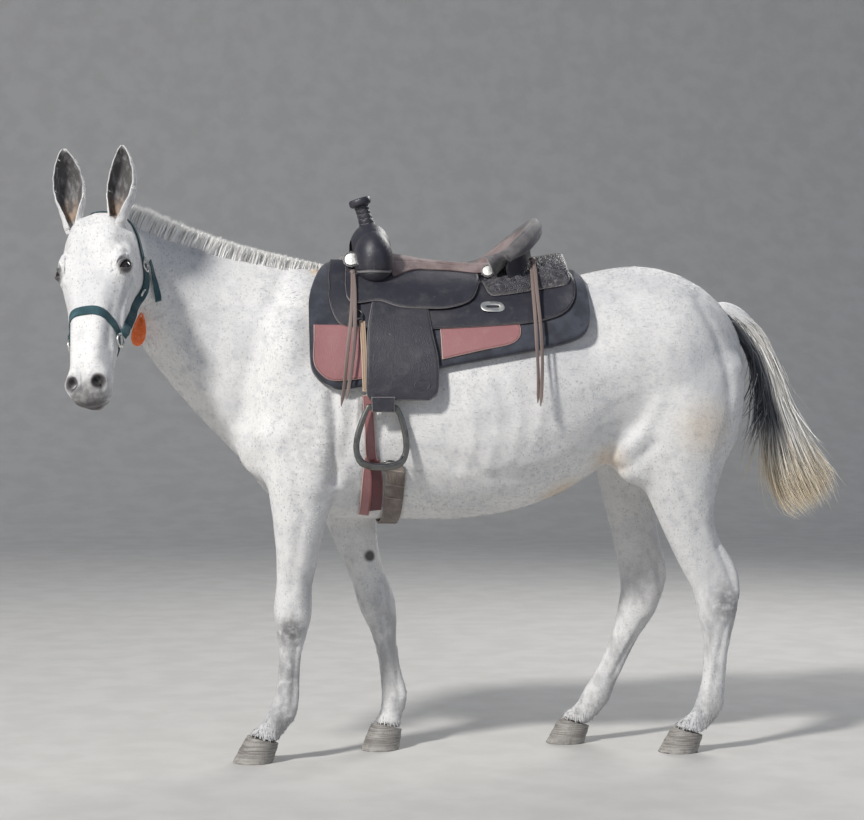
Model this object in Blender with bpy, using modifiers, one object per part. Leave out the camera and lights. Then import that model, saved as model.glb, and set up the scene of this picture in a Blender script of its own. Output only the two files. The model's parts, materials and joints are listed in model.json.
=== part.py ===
"""A saddled grey mule at life size, standing with its head turned to its left.

Units are metres. X runs towards the tail, Y towards the mule's right and Z up, so the mule's left is at -Y.
The flesh is modelled whole from lofts and muscle forms, fused, and then parted with thin cuts.
The saddle and the halter are laid on the finished flesh, each layer a little above the one below it.
"""

import math
import random

import bmesh
import bpy
import numpy as np
from mathutils import Matrix, Vector
from mathutils.bvhtree import BVHTree

GAP = 0.0004
LEFT, RIGHT = -1, 1

# The trunk, front to back: x, top z, bottom z, half width, height of the widest place as a share, and
# the roundness of the upper and of the lower half.
TRUNK = [
    (-0.545, 1.080, 0.860, 0.070, 0.50, 2.0, 2.0),
    (-0.500, 1.220, 0.770, 0.145, 0.50, 2.0, 2.0),
    (-0.420, 1.330, 0.690, 0.195, 0.48, 1.9, 2.0),
    (-0.320, 1.375, 0.668, 0.212, 0.48, 1.7, 2.1),
    (-0.200, 1.372, 0.664, 0.225, 0.48, 1.7, 2.2),
    (-0.050, 1.345, 0.660, 0.252, 0.47, 1.8, 2.2),
    (0.100, 1.330, 0.662, 0.272, 0.47, 1.9, 2.2),
    (0.240, 1.335, 0.686, 0.276, 0.47, 2.0, 2.2),
    (0.370, 1.352, 0.732, 0.264, 0.50, 2.0, 2.2),
    (0.480, 1.378, 0.800, 0.248, 0.53, 2.1, 2.2),
    (0.590, 1.392, 0.850, 0.240, 0.55, 2.2, 2.2),
    (0.700, 1.372, 0.880, 0.228, 0.55, 2.2, 2.2),
    (0.800, 1.318, 0.920, 0.190, 0.52, 2.1, 2.1),
    (0.870, 1.240, 0.970, 0.125, 0.50, 2.0, 2.0),
    (0.900, 1.170, 1.020, 0.060, 0.50, 2.0, 2.0),
]

# The neck, shoulders to throat: crest x, y, z, underline x, y, z, and half width.
NECK = [
    (-0.300, 0.000, 1.375, -0.490, 0.000, 0.780, 0.165),
    (-0.440, 0.000, 1.385, -0.600, -0.005, 0.885, 0.135),
    (-0.570, -0.010, 1.408, -0.684, -0.020, 0.975, 0.110),
    (-0.690, -0.040, 1.440, -0.760, -0.035, 1.065, 0.095),
    (-0.800, -0.100, 1.475, -0.828, -0.050, 1.160, 0.088),
    (-0.875, -0.165, 1.500, -0.862, -0.062, 1.265, 0.082),
    (-0.925, -0.215, 1.508, -0.882, -0.078, 1.350, 0.075),
]

# The head in its own frame (along the nose, to the mule's left, out of the face), poll to lips:
# x, top z, bottom z, half width, height of the widest place as a share, and the two roundnesses.
HEAD = [
    (-0.020, -0.045, -0.170, 0.055, 0.55, 2.0, 2.0),
    (0.010, -0.012, -0.215, 0.086, 0.60, 2.0, 2.0),
    (0.060, 0.000, -0.240, 0.101, 0.68, 2.3, 2.0),
    (0.110, 0.002, -0.248, 0.107, 0.72, 2.4, 1.8),
    (0.160, 0.000, -0.243, 0.106, 0.76, 2.4, 1.7),
    (0.220, -0.004, -0.226, 0.093, 0.74, 2.5, 1.7),
    (0.280, -0.008, -0.198, 0.076, 0.66, 2.5, 1.9),
    (0.340, -0.011, -0.168, 0.067, 0.60, 2.4, 2.0),
    (0.400, -0.013, -0.145, 0.062, 0.55, 2.3, 2.1),
    (0.450, -0.016, -0.132, 0.059, 0.52, 2.3, 2.2),
    (0.500, -0.024, -0.126, 0.058, 0.50, 2.3, 2.3),
    (0.532, -0.038, -0.120, 0.050, 0.50, 2.2, 2.2),
    (0.548, -0.058, -0.104, 0.030, 0.50, 2.0, 2.0),
]
POLL = Vector((-0.952, -0.240, 1.520))
HEAD_TURN = math.radians(68)
NOSE_DROP = math.radians(64)
HEAD_ROLL = math.radians(7)

# Radii of the leg, fore and aft and sideways, for each place on its line.
FORELEG_RADII = [
    (0.120, 0.075), (0.100, 0.070), (0.078, 0.062), (0.060, 0.050), (0.054, 0.044), (0.057, 0.047),
    (0.056, 0.046), (0.046, 0.038), (0.036, 0.028), (0.034, 0.026), (0.038, 0.029), (0.043, 0.034),
    (0.038, 0.030), (0.035, 0.029), (0.043, 0.039), (0.047, 0.043),
]
HINDLEG_RADII = [
    (0.190, 0.100), (0.185, 0.105), (0.165, 0.098), (0.132, 0.085), (0.096, 0.066), (0.074, 0.052),
    (0.073, 0.043), (0.075, 0.040), (0.066, 0.042), (0.058, 0.040), (0.043, 0.033), (0.038, 0.028),
    (0.039, 0.028), (0.045, 0.034), (0.038, 0.031), (0.036, 0.030), (0.043, 0.039), (0.047, 0.043),
]
LEG_LINES = {
    "foreleg_left": [
        (-0.385, -0.140, 0.86), (-0.385, -0.145, 0.76), (-0.390, -0.140, 0.66), (-0.397, -0.130, 0.56),
        (-0.403, -0.122, 0.49), (-0.406, -0.118, 0.44), (-0.408, -0.116, 0.40), (-0.410, -0.114, 0.355),
        (-0.414, -0.112, 0.30), (-0.418, -0.110, 0.23), (-0.424, -0.108, 0.175), (-0.430, -0.106, 0.145),
        (-0.447, -0.105, 0.115), (-0.467, -0.105, 0.088), (-0.487, -0.105, 0.062), (-0.500, -0.105, 0.040),
    ],
    "foreleg_right": [
        (-0.255, 0.140, 0.86), (-0.240, 0.142, 0.76), (-0.218, 0.136, 0.66), (-0.193, 0.126, 0.56),
        (-0.170, 0.120, 0.49), (-0.153, 0.116, 0.44), (-0.140, 0.113, 0.40), (-0.129, 0.111, 0.355),
        (-0.120, 0.109, 0.30), (-0.109, 0.106, 0.23), (-0.100, 0.102, 0.175), (-0.095, 0.099, 0.145),
        (-0.102, 0.090, 0.115), (-0.111, 0.080, 0.088), (-0.121, 0.071, 0.062), (-0.128, 0.065, 0.040),
    ],
    "hindleg_left": [
        (0.700, -0.125, 1.12), (0.698, -0.132, 1.00), (0.692, -0.135, 0.90), (0.694, -0.134, 0.81),
        (0.706, -0.130, 0.71), (0.728, -0.124, 0.62), (0.764, -0.120, 0.55), (0.798, -0.117, 0.49),
        (0.806, -0.115, 0.43), (0.807, -0.113, 0.38), (0.806, -0.111, 0.32), (0.801, -0.109, 0.25),
        (0.795, -0.108, 0.185), (0.787, -0.106, 0.135), (0.769, -0.105, 0.103), (0.748, -0.105, 0.080),
        (0.725, -0.105, 0.058), (0.712, -0.105, 0.040),
    ],
    "hindleg_right": [
        (0.680, 0.125, 1.12), (0.665, 0.132, 1.00), (0.645, 0.135, 0.90), (0.628, 0.134, 0.81),
        (0.615, 0.130, 0.71), (0.620, 0.124, 0.62), (0.634, 0.120, 0.55), (0.645, 0.117, 0.49),
        (0.638, 0.115, 0.43), (0.620, 0.112, 0.38), (0.594, 0.110, 0.32), (0.562, 0.108, 0.25),
        (0.530, 0.106, 0.185), (0.503, 0.105, 0.135), (0.480, 0.102, 0.105), (0.458, 0.100, 0.080),
        (0.437, 0.098, 0.058), (0.425, 0.097, 0.040),
    ],
}
TOE_TURN = {"foreleg_left": 4, "foreleg_right": 40, "hindleg_left": 0, "hindleg_right": 8}
FORELEG_TOP, HINDLEG_TOP = 0.70, 0.80
CORONET_SLOPE = 0.28
HOOF_REACH = 0.026
# Levels of a hoof, sole to coronet: share of the height, length before and behind, and half width.
HOOF_RINGS = [(0.0, 0.062, 0.052, 0.054), (0.5, 0.054, 0.048, 0.050), (1.0, 0.046, 0.042, 0.045)]

# Muscle and bone forms on the body, for the left side: centre, radii, and turn about Y in degrees.
BODY_FORMS = [
    ((-0.385, 0.112, 1.060), (0.105, 0.088, 0.220), -20),
    ((-0.400, 0.120, 0.880), (0.120, 0.088, 0.130), 20),
    ((-0.310, 0.140, 0.860), (0.085, 0.070, 0.130), -25),
    ((-0.490, 0.078, 0.890), (0.075, 0.072, 0.110), 0),
    ((0.630, 0.115, 1.130), (0.210, 0.130, 0.220), 15),
    ((0.800, 0.095, 1.040), (0.090, 0.082, 0.220), -4),
    ((0.590, 0.132, 0.880), (0.100, 0.078, 0.130), 20),
    ((0.440, 0.145, 1.262), (0.110, 0.056, 0.062), 20),
]
# Bone and muscle forms on the head, for the left side, in the head's frame: centre and radii.
HEAD_FORMS = [
    ((0.163, 0.083, -0.040), (0.050, 0.030, 0.036)),
    ((0.115, 0.060, -0.150), (0.090, 0.042, 0.085)),
    ((0.255, 0.070, -0.088), (0.080, 0.012, 0.014)),
    ((0.490, 0.041, -0.053), (0.042, 0.023, 0.034)),
    ((0.085, 0.032, -0.014), (0.075, 0.046, 0.022)),
    ((0.300, 0.022, -0.020), (0.190, 0.030, 0.018)),
]
HEAD_MIDDLE_FORMS = [
    ((0.528, 0.000, -0.066), (0.032, 0.048, 0.034)),
    ((0.515, 0.000, -0.122), (0.036, 0.038, 0.018)),
    ((0.475, 0.000, -0.134), (0.036, 0.036, 0.024)),
]
BODY_VOXEL = 0.0065
BODY_FACES = 3000
# Where the head and the neck part from the rest: points and normals pointing out.
HEAD_PLANES = [((-0.060, 0, -0.020), (-0.755, 0, -0.655)), ((0, 0, -0.268), (0, 0, -1))]
NECK_PLANES = [((-0.420, 0, 1.420), (0.938, 0, -0.347))]

# How far above the skin each layer of the saddle lies: its under side and its top.
PAD = (0.0075, 0.0222)
WEAR = (0.0236, 0.0256)
SKIRT = (0.0282, 0.0320)
REAR_JOCKEY = (0.0356, 0.0394)
FENDER = (0.0332, 0.0374)
SEAT_JOCKEY = (0.0388, 0.0434)
SEAT_LOW = 0.0448
# Outlines on the side of the saddle, front to back, as (x, z).
PAD_EDGE = [
    (-0.364, 1.270), (-0.364, 1.103), (-0.346, 1.066), (-0.315, 1.048), (-0.274, 1.034),
    (-0.013, 1.095), (0.223, 1.140), (0.350, 1.170), (0.398, 1.200), (0.411, 1.252),
]
SKIRT_EDGE = [
    (-0.305, 1.330), (-0.307, 1.280), (-0.290, 1.225), (-0.260, 1.212), (-0.027, 1.205),
    (0.245, 1.222), (0.320, 1.250), (0.354, 1.300), (0.362, 1.350),
]
FRONT_WEAR_EDGE = [(-0.356, 1.190), (-0.356, 1.112), (-0.336, 1.078), (-0.300, 1.060), (-0.215, 1.066)]
REAR_WEAR_EDGE = [(-0.008, 1.118), (0.100, 1.143), (0.185, 1.162), (0.210, 1.182), (0.214, 1.205)]
SEAT_JOCKEY_EDGE = [
    (-0.262, 1.330), (-0.258, 1.290), (-0.235, 1.276), (-0.172, 1.284), (-0.117, 1.265),
    (0.022, 1.263), (0.086, 1.288), (0.118, 1.340),
]
REAR_JOCKEY_EDGE = [
    (0.128, 1.340), (0.140, 1.303), (0.200, 1.300), (0.283, 1.316), (0.340, 1.335), (0.368, 1.360),
]
SEAT_EDGE = [(-0.125, 1.352), (-0.050, 1.376), (0.050, 1.372), (0.130, 1.366), (0.185, 1.372)]
FENDER_FRONT = [(-0.190, 1.282), (-0.207, 1.206), (-0.214, 1.120), (-0.216, 1.035), (-0.206, 1.006)]
FENDER_BACK = [(-0.040, 1.280), (-0.030, 1.190), (-0.019, 1.119), (-0.022, 1.046), (-0.046, 1.006)]
STIRRUP_LOOP = [
    (-0.206, 0.992), (-0.175, 0.994), (-0.144, 0.992), (-0.122, 0.955), (-0.104, 0.905), (-0.100, 0.865),
    (-0.112, 0.834), (-0.140, 0.818), (-0.175, 0.815), (-0.210, 0.818), (-0.238, 0.834), (-0.250, 0.865),
    (-0.246, 0.905), (-0.228, 0.955),
]
LATIGO_FRONT = [(-0.224, 1.020), (-0.218, 0.860), (-0.222, 0.780), (-0.226, 0.700)]
LATIGO_BACK = [(-0.196, 1.020), (-0.190, 0.860), (-0.165, 0.785), (-0.166, 0.705)]
FRONT_STRINGS = [
    [(-0.240, 1.345, 0.0520), (-0.247, 1.290, 0.0500), (-0.260, 1.180, 0.0460), (-0.286, 0.990, 0.0400)],
    [(-0.238, 1.345, 0.0520), (-0.239, 1.290, 0.0500), (-0.246, 1.180, 0.0460), (-0.268, 1.010, 0.0400)],
]
REAR_STRINGS = [
    [(0.252, 1.374, 0.0480), (0.247, 1.280, 0.0460), (0.238, 1.170, 0.0420), (0.222, 0.998, 0.0380)],
    [(0.254, 1.374, 0.0480), (0.257, 1.280, 0.0460), (0.253, 1.170, 0.0420), (0.250, 0.998, 0.0380)],
]
NOSEBAND_X = 0.305
CROWN_PATH = [
    (0.338, 0.09, -0.095), (0.285, 0.10, -0.140), (0.215, 0.12, -0.182), (0.150, 0.12, -0.165),
    (0.090, 0.12, -0.120), (0.030, 0.10, -0.090), (-0.020, 0.070, -0.070), (-0.045, 0.0, -0.030),
]
JAW_STRAP_PATH = ((0.345, 0, -0.20), (0.30, 0, -0.22), (0.248, 0, -0.26))
THROAT_PATH = [(0.214, 0.12, -0.212), (0.222, 0.080, -0.250), (0.226, 0.0, -0.270)]
STRAP_END = [
    (-0.806, -0.190, 1.385), (-0.799, -0.176, 1.350), (-0.785, -0.161, 1.310), (-0.779, -0.150, 1.280),
]
TAG_PLACE = (-0.828, -0.150, 1.200)
LATIGO = (0.0050, 0.0090)
PLATE_PLACE = (0.142, 1.262)
RIGGING_PLACE = (-0.236, 1.235)
CINCH_X = (-0.156, -0.104)
CINCH_TOP = 0.835
CINCH = (0.0050, 0.0130)

EYE_CENTRE = (0.167, 0.084, -0.033)
EYE_RADIUS = 0.0215
MOUTH_HEIGHT = -0.098
# Each ear's base, tip and turn, and its rows: share of the length, half width and half opening angle.
EARS = {
    "ear_left": ((-0.889, -0.256, 1.480), (-0.873, -0.262, 1.692), -10),
    "ear_right": ((-1.004, -0.212, 1.476), (-1.030, -0.210, 1.685), 10),
}
EAR_ROWS = [
    (0.00, 0.026, 160), (0.18, 0.033, 140), (0.36, 0.042, 118), (0.55, 0.043, 105),
    (0.72, 0.036, 100), (0.86, 0.024, 98), (0.95, 0.013, 96), (1.00, 0.005, 95),
]
EAR_THICKNESS = 0.0045
# The mane's roots along the crest, withers to poll, and its height.
MANE_LINE = [
    (-0.330, 0.000, 1.372, 0.034), (-0.420, 0.000, 1.378, 0.046), (-0.520, -0.006, 1.392, 0.054),
    (-0.620, -0.022, 1.415, 0.057), (-0.720, -0.052, 1.445, 0.060), (-0.800, -0.100, 1.470, 0.064),
    (-0.862, -0.150, 1.490, 0.060),
]
MANE_CORE = 0.40
MANE_LOCKS = 21
MANE_SEED = 5
# The tail, root to tip: x, y, z and half widths fore and aft and sideways.
TAIL_ROWS = [
    (0.860, 0.000, 1.272, 0.026, 0.028), (0.908, 0.000, 1.240, 0.034, 0.032),
    (0.952, -0.003, 1.165, 0.038, 0.035), (0.985, -0.006, 1.080, 0.044, 0.038),
    (1.008, -0.010, 0.990, 0.052, 0.042), (1.032, -0.013, 0.905, 0.066, 0.044),
    (1.060, -0.016, 0.820, 0.088, 0.042), (1.100, -0.018, 0.740, 0.095, 0.034),
    (1.150, -0.020, 0.680, 0.060, 0.014),
]
# The dock, root to tip, in the same columns.
DOCK_ROWS = [
    (0.860, 0.000, 1.272, 0.026, 0.028), (0.908, 0.000, 1.240, 0.032, 0.030),
    (0.948, -0.003, 1.170, 0.028, 0.026), (0.978, -0.006, 1.085, 0.024, 0.022),
    (1.000, -0.010, 0.995, 0.018, 0.016), (1.012, -0.012, 0.930, 0.008, 0.008),
]
DOCK_START = 0.20
TAIL_SEED = 8
TAIL_SWAY = -0.018
# How far back and how high each lock's tip is, from the lock nearest the tail's root on.
TAIL_TIPS = [
    (1.075, 0.900), (0.980, 0.930), (1.110, 0.850), (0.945, 0.880), (1.140, 0.790), (0.905, 0.830),
    (1.175, 0.735), (0.965, 0.770), (1.202, 0.690), (1.025, 0.715), (1.222, 0.655), (1.075, 0.672),
    (1.150, 0.660),
]


def remove_all():
    """Clears the scene's objects."""
    for obj in list(bpy.data.objects):
        bpy.data.objects.remove(obj, do_unlink=True)


def collection(name, hidden=False):
    """A new collection in the scene."""
    made = bpy.data.collections.new(name)
    made.hide_render = hidden
    bpy.context.scene.collection.children.link(made)
    return made


remove_all()
MULE = collection("mule")
CUTTERS = collection("cutters", hidden=True)
LOCKS = collection("locks", hidden=True)
ROOT = bpy.data.objects.new("mule_origin", None)
MULE.objects.link(ROOT)


def material(name, colour, roughness, metallic=0.0):
    """A Principled material."""
    made = bpy.data.materials.new(name)
    made.use_nodes = True
    shader = made.node_tree.nodes["Principled BSDF"]
    shader.inputs["Base Color"].default_value = (*colour, 1)
    shader.inputs["Roughness"].default_value = roughness
    shader.inputs["Metallic"].default_value = metallic
    made.diffuse_color = (*colour, 1)
    return made


COAT = material("white_coat", (0.78, 0.76, 0.74), 0.8)
EAR_SKIN = material("ear_lining", (0.45, 0.40, 0.38), 0.85)
MANE_HAIR = material("mane_hair", (0.80, 0.77, 0.72), 0.8)
TAIL_HAIR = material("tail_hair", (0.55, 0.46, 0.36), 0.8)
HOOF_HORN = material("hoof_horn", (0.30, 0.25, 0.21), 0.6)
EYE = material("dark_eye", (0.02, 0.015, 0.012), 0.1)
PAD_FELT = material("saddle_pad_felt", (0.05, 0.05, 0.055), 0.95)
BLACK_LEATHER = material("black_leather", (0.035, 0.033, 0.035), 0.55)
BROWN_LEATHER = material("red_brown_leather", (0.24, 0.07, 0.05), 0.6)
SUEDE = material("brown_suede", (0.16, 0.09, 0.07), 0.95)
THONG = material("string_leather", (0.33, 0.27, 0.25), 0.75)
STEEL = material("bright_steel", (0.62, 0.62, 0.60), 0.35, 1.0)
MOHAIR = material("cinch_mohair", (0.62, 0.52, 0.40), 0.95)
NYLON = material("halter_nylon", (0.03, 0.16, 0.16), 0.7)
TAG = material("orange_tag", (0.85, 0.20, 0.05), 0.5)


def new_object(name, mesh, finish=None, home=None):
    """An object of this mesh, in the mule's collection unless home says another."""
    obj = bpy.data.objects.new(name, mesh)
    (home or MULE).objects.link(obj)
    if finish is not None:
        mesh.materials.clear()
        mesh.materials.append(finish)
    return obj


def mesh_of(bm, name):
    """The mesh of a bmesh, with its faces pointing out."""
    bmesh.ops.recalc_face_normals(bm, faces=bm.faces)
    mesh = bpy.data.meshes.new(name)
    bm.to_mesh(mesh)
    bm.free()
    return mesh


def smooth_rows(rows, steps):
    """The rows with steps - 1 rows more between each two, on Catmull-Rom curves through every column."""
    table = np.array(rows, float)
    padded = np.vstack([2 * table[0] - table[1], table, 2 * table[-1] - table[-2]])
    found = []
    for i in range(1, len(padded) - 2):
        p0, p1, p2, p3 = padded[i - 1 : i + 3]
        for k in range(steps):
            t = k / steps
            found.append(
                p1
                + 0.5 * t * (p2 - p0)
                + t * t * (p0 - 2.5 * p1 + 2 * p2 - 0.5 * p3)
                + t**3 * (1.5 * (p1 - p2) + 0.5 * (p3 - p0))
            )
    return np.array(found + [table[-1]])


def loft(bm, rings):
    """Adds to bm a closed surface through rings of like point counts."""
    loops = [[bm.verts.new(p) for p in ring] for ring in rings]
    count = len(loops[0])
    for a, b in zip(loops, loops[1:]):
        for i in range(count):
            j = (i + 1) % count
            bm.faces.new((a[i], a[j], b[j], b[i]))
    bm.faces.new(loops[0][::-1])
    bm.faces.new(loops[-1])


def bulge(value, power):
    """A superellipse coordinate: value is a sine or cosine, and power 2 gives the plain ellipse."""
    return math.copysign(abs(value) ** (2 / power), value)


def trunk_ring(row, sides=24):
    """Points of an upright section (x, top, bottom, half width, widest share, two roundnesses)."""
    x, top, bottom, half, share, upper, lower = row
    middle = bottom + (top - bottom) * share
    points = []
    for i in range(sides):
        angle = 2 * math.pi * i / sides
        across, rise = math.sin(angle), math.cos(angle)
        power = upper if rise > 0 else lower
        reach = (top - middle) if rise > 0 else (middle - bottom)
        points.append((x, half * bulge(across, power), middle + reach * bulge(rise, power)))
    return points


def neck_ring(row, along, sides=24):
    """Points of a neck section between its crest and its underline."""
    crest, under, half = Vector(row[0:3]), Vector(row[3:6]), row[6]
    middle, rise = (crest + under) / 2, (crest - under) / 2
    side = along.cross(rise).normalized()
    points = []
    for i in range(sides):
        angle = 2 * math.pi * i / sides
        lift = math.cos(angle)
        narrow = 1 - 0.35 * max(lift, 0) ** 2
        points.append(middle + rise * lift + side * half * narrow * math.sin(angle))
    return points


def leg_rings(line, radii, sides=16):
    """Rings square to a leg's line, each an ellipse of its own two radii."""
    rows = smooth_rows([(*p, *r) for p, r in zip(line, radii)], 3)
    rings = []
    for i, row in enumerate(rows):
        before, after = rows[max(i - 1, 0)], rows[min(i + 1, len(rows) - 1)]
        along = (Vector(after[:3]) - Vector(before[:3])).normalized()
        side = Vector((0, 1, 0))
        side = (side - along * side.dot(along)).normalized()
        fore = side.cross(along)
        middle = Vector(row[:3])
        rings.append([
            middle + fore * row[3] * math.cos(a) + side * row[4] * math.sin(a)
            for a in (2 * math.pi * k / sides for k in range(sides))
        ])
    return rings


def ellipsoid(bm, centre, radii, turn=0.0, frame=None):
    """Adds an ellipsoid, turned about Y in degrees, in the given frame."""
    place = (
        (frame or Matrix.Identity(4))
        @ Matrix.Translation(centre)
        @ Matrix.Rotation(math.radians(turn), 4, "Y")
        @ Matrix.Diagonal((*radii, 1))
    )
    bmesh.ops.create_uvsphere(bm, u_segments=20, v_segments=12, radius=1, matrix=place)


def head_frame():
    """The matrix from the head's own frame (along the nose, left, out of the face) to the model's."""
    forward, left, up = Vector((-1, 0, 0)), Vector((0, -1, 0)), Vector((0, 0, 1))
    nose = forward * math.cos(NOSE_DROP) - up * math.sin(NOSE_DROP)
    face = forward * math.sin(NOSE_DROP) + up * math.cos(NOSE_DROP)
    base = Matrix((nose, left, face)).transposed().to_4x4()
    facing = Vector((-math.cos(HEAD_TURN), -math.sin(HEAD_TURN), 0))
    roll = Matrix.Rotation(HEAD_ROLL, 4, facing)
    return Matrix.Translation(POLL) @ roll @ Matrix.Rotation(HEAD_TURN, 4, "Z") @ base


HEAD_FRAME = head_frame()


def evaluated_mesh(obj):
    """A new mesh of the object as its modifiers leave it."""
    bpy.context.view_layer.update()
    graph = bpy.context.evaluated_depsgraph_get()
    return bpy.data.meshes.new_from_object(obj.evaluated_get(graph))


def apply_modifiers(obj):
    """Makes the object's evaluated mesh its own."""
    mesh = evaluated_mesh(obj)
    obj.modifiers.clear()
    obj.data = mesh
    return obj


def keep_largest(obj):
    """Keeps the object's largest closed surface."""
    bm = bmesh.new()
    bm.from_mesh(obj.data)
    bmesh.ops.remove_doubles(bm, verts=bm.verts, dist=1e-6)
    left, groups = set(bm.verts), []
    while left:
        stack, group = [left.pop()], []
        while stack:
            vert = stack.pop()
            group.append(vert)
            for edge in vert.link_edges:
                other = edge.other_vert(vert)
                if other in left:
                    left.remove(other)
                    stack.append(other)
        groups.append(group)
    groups.sort(key=lambda g: spread(g), reverse=True)
    for group in groups[1:]:
        bmesh.ops.delete(bm, geom=group, context="VERTS")
    bm.to_mesh(obj.data)
    bm.free()
    return obj


def spread(verts):
    """The diagonal of the box round these vertices."""
    points = np.array([v.co for v in verts])
    return float(np.linalg.norm(points.max(0) - points.min(0)))


def boolean(obj, other, operation, solver="EXACT"):
    """Applies a Boolean with another object."""
    modifier = obj.modifiers.new("join", "BOOLEAN")
    modifier.operation = operation
    modifier.solver = solver
    modifier.object = other
    return keep_largest(apply_modifiers(obj))


def softness(point):
    """How much of the smoothing a place takes: all of it on the trunk, little on the head and lower legs."""
    if point.x < -0.84:
        return max(0.07, 1 - (-0.84 - point.x) / 0.04)
    return min(1.0, max(0.06, (point.z - 0.55) / 0.25))


def fuse(bm, name, voxel, smoothing, faces, softness_at=None):
    """One closed skin round all the forms in bm: voxel remesh, smoothing, then fewer faces."""
    obj = new_object(name, mesh_of(bm, name))
    remesh = obj.modifiers.new("skin", "REMESH")
    remesh.mode = "VOXEL"
    remesh.voxel_size = voxel
    apply_modifiers(obj)
    smooth = obj.modifiers.new("soften", "SMOOTH")
    smooth.factor = 0.5
    smooth.iterations = smoothing
    if softness_at is not None:
        group = obj.vertex_groups.new(name="softness")
        for vert in obj.data.vertices:
            group.add([vert.index], softness_at(vert.co), "REPLACE")
        smooth.vertex_group = group.name
    apply_modifiers(obj)
    obj.vertex_groups.clear()
    fewer = obj.modifiers.new("fewer", "DECIMATE")
    fewer.ratio = faces / (2 * len(obj.data.polygons))
    apply_modifiers(obj)
    return keep_largest(obj)


def body_forms(bm):
    """Adds the trunk, neck and legs as rough closed forms."""
    loft(bm, [trunk_ring(row) for row in smooth_rows(TRUNK, 3)])
    rows = smooth_rows(NECK, 3)
    middles = [(Vector(r[0:3]) + Vector(r[3:6])) / 2 for r in rows]
    loft(bm, [
        neck_ring(row, middles[min(i + 1, len(rows) - 1)] - middles[max(i - 1, 0)])
        for i, row in enumerate(rows)
    ])
    for name, line in LEG_LINES.items():
        loft(bm, leg_rings(line, FORELEG_RADII if "fore" in name else HINDLEG_RADII))
    for (x, y, z), radii, turn in BODY_FORMS:
        for side in (LEFT, RIGHT):
            ellipsoid(bm, (x, side * y, z), radii, turn)


def head_forms(bm):
    """Adds the head's rough closed forms."""
    rings = [trunk_ring(row) for row in smooth_rows(HEAD, 3)]
    loft(bm, [[HEAD_FRAME @ Vector(p) for p in ring] for ring in rings])
    for (x, y, z), radii in HEAD_FORMS:
        for side in (1, -1):
            ellipsoid(bm, (x, side * y, z), radii, frame=HEAD_FRAME)
    for centre, radii in HEAD_MIDDLE_FORMS:
        ellipsoid(bm, centre, radii, frame=HEAD_FRAME)


def cell(name, planes, grow):
    """A convex block: a large cube cut by planes (point, normal pointing out), each moved out by grow."""
    bm = bmesh.new()
    bmesh.ops.create_cube(bm, size=8.0)
    for point, normal in planes:
        normal = Vector(normal).normalized()
        geom = bm.verts[:] + bm.edges[:] + bm.faces[:]
        cut = bmesh.ops.bisect_plane(
            bm, geom=geom, plane_co=Vector(point) + normal * grow, plane_no=normal, clear_outer=True
        )
        edges = [e for e in cut["geom_cut"] if isinstance(e, bmesh.types.BMEdge)]
        bmesh.ops.contextual_create(bm, geom=edges)
    return new_object(name, mesh_of(bm, name), home=CUTTERS)


def copy_of(obj, name, home=None):
    """A copy of the object with a mesh of its own."""
    return new_object(name, obj.data.copy(), home=home)


def discard(*objects):
    """Removes helper objects."""
    for obj in objects:
        bpy.data.objects.remove(obj, do_unlink=True)


def part_off(source, name, planes, finish):
    """Takes the block bounded by planes out of source as an object of its own, with a gap between."""
    inner, outer = cell(name + "_inner", planes, -GAP / 2), cell(name + "_outer", planes, GAP / 2)
    piece = copy_of(source, name)
    boolean(piece, inner, "INTERSECT")
    boolean(source, outer, "DIFFERENCE")
    discard(inner, outer)
    piece.data.materials.clear()
    piece.data.materials.append(finish)
    return piece


def tree_of(*objects):
    """A search tree over the meshes of these objects."""
    points, faces = [], []
    for obj in objects:
        start = len(points)
        points += [v.co.copy() for v in obj.data.vertices]
        faces += [[start + i for i in p.vertices] for p in obj.data.polygons]
    return BVHTree.FromPolygons(points, faces)


def grown(obj, distance):
    """A helper copy of the object, its vertices moved out along their normals."""
    made = copy_of(obj, obj.name + "_grown", home=CUTTERS)
    bm = bmesh.new()
    bm.from_mesh(made.data)
    bmesh.ops.recalc_face_normals(bm, faces=bm.faces)
    bm.normal_update()
    moves = [v.normal * distance for v in bm.verts]
    for vert, move in zip(bm.verts, moves):
        vert.co += move
    bm.to_mesh(made.data)
    bm.free()
    return made


def trim(obj, *others, gap=GAP):
    """Cuts the object clear of others."""
    for other in others:
        cutter = grown(other, gap)
        boolean(obj, cutter, "DIFFERENCE")
        discard(cutter)
    return obj


def head_plane(point, normal):
    """A plane given in the head's frame, as a point and an outward normal."""
    turn = HEAD_FRAME.to_3x3()
    return HEAD_FRAME @ Vector(point), turn @ Vector(normal)


def hoof_frame(name):
    """The middle of a hoof's coronet and the way its toe points."""
    line = LEG_LINES[name]
    turn = math.radians(TOE_TURN[name])
    return Vector(line[-2]), Vector((-math.cos(turn), -math.sin(turn), 0))


def leg_planes(name):
    """The planes that bound a leg: across its top, along the middle of the body and round its coronet."""
    side = LEFT if name.endswith("left") else RIGHT
    level = FORELEG_TOP if "fore" in name else HINDLEG_TOP
    middle = LEG_LINES[name][3 if "fore" in name else 5][0]
    coronet, toe = hoof_frame(name)
    return [
        ((0, side * 0.14, level), (0, -0.9 * side, 1)),
        ((0, side * 0.006, 0), (0, -side, 0)),
        ((middle - 0.22, 0, 0), (-1, 0, 0)),
        ((middle + 0.22, 0, 0), (1, 0, 0)),
        (coronet, toe * CORONET_SLOPE - Vector((0, 0, 1))),
    ]


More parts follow.
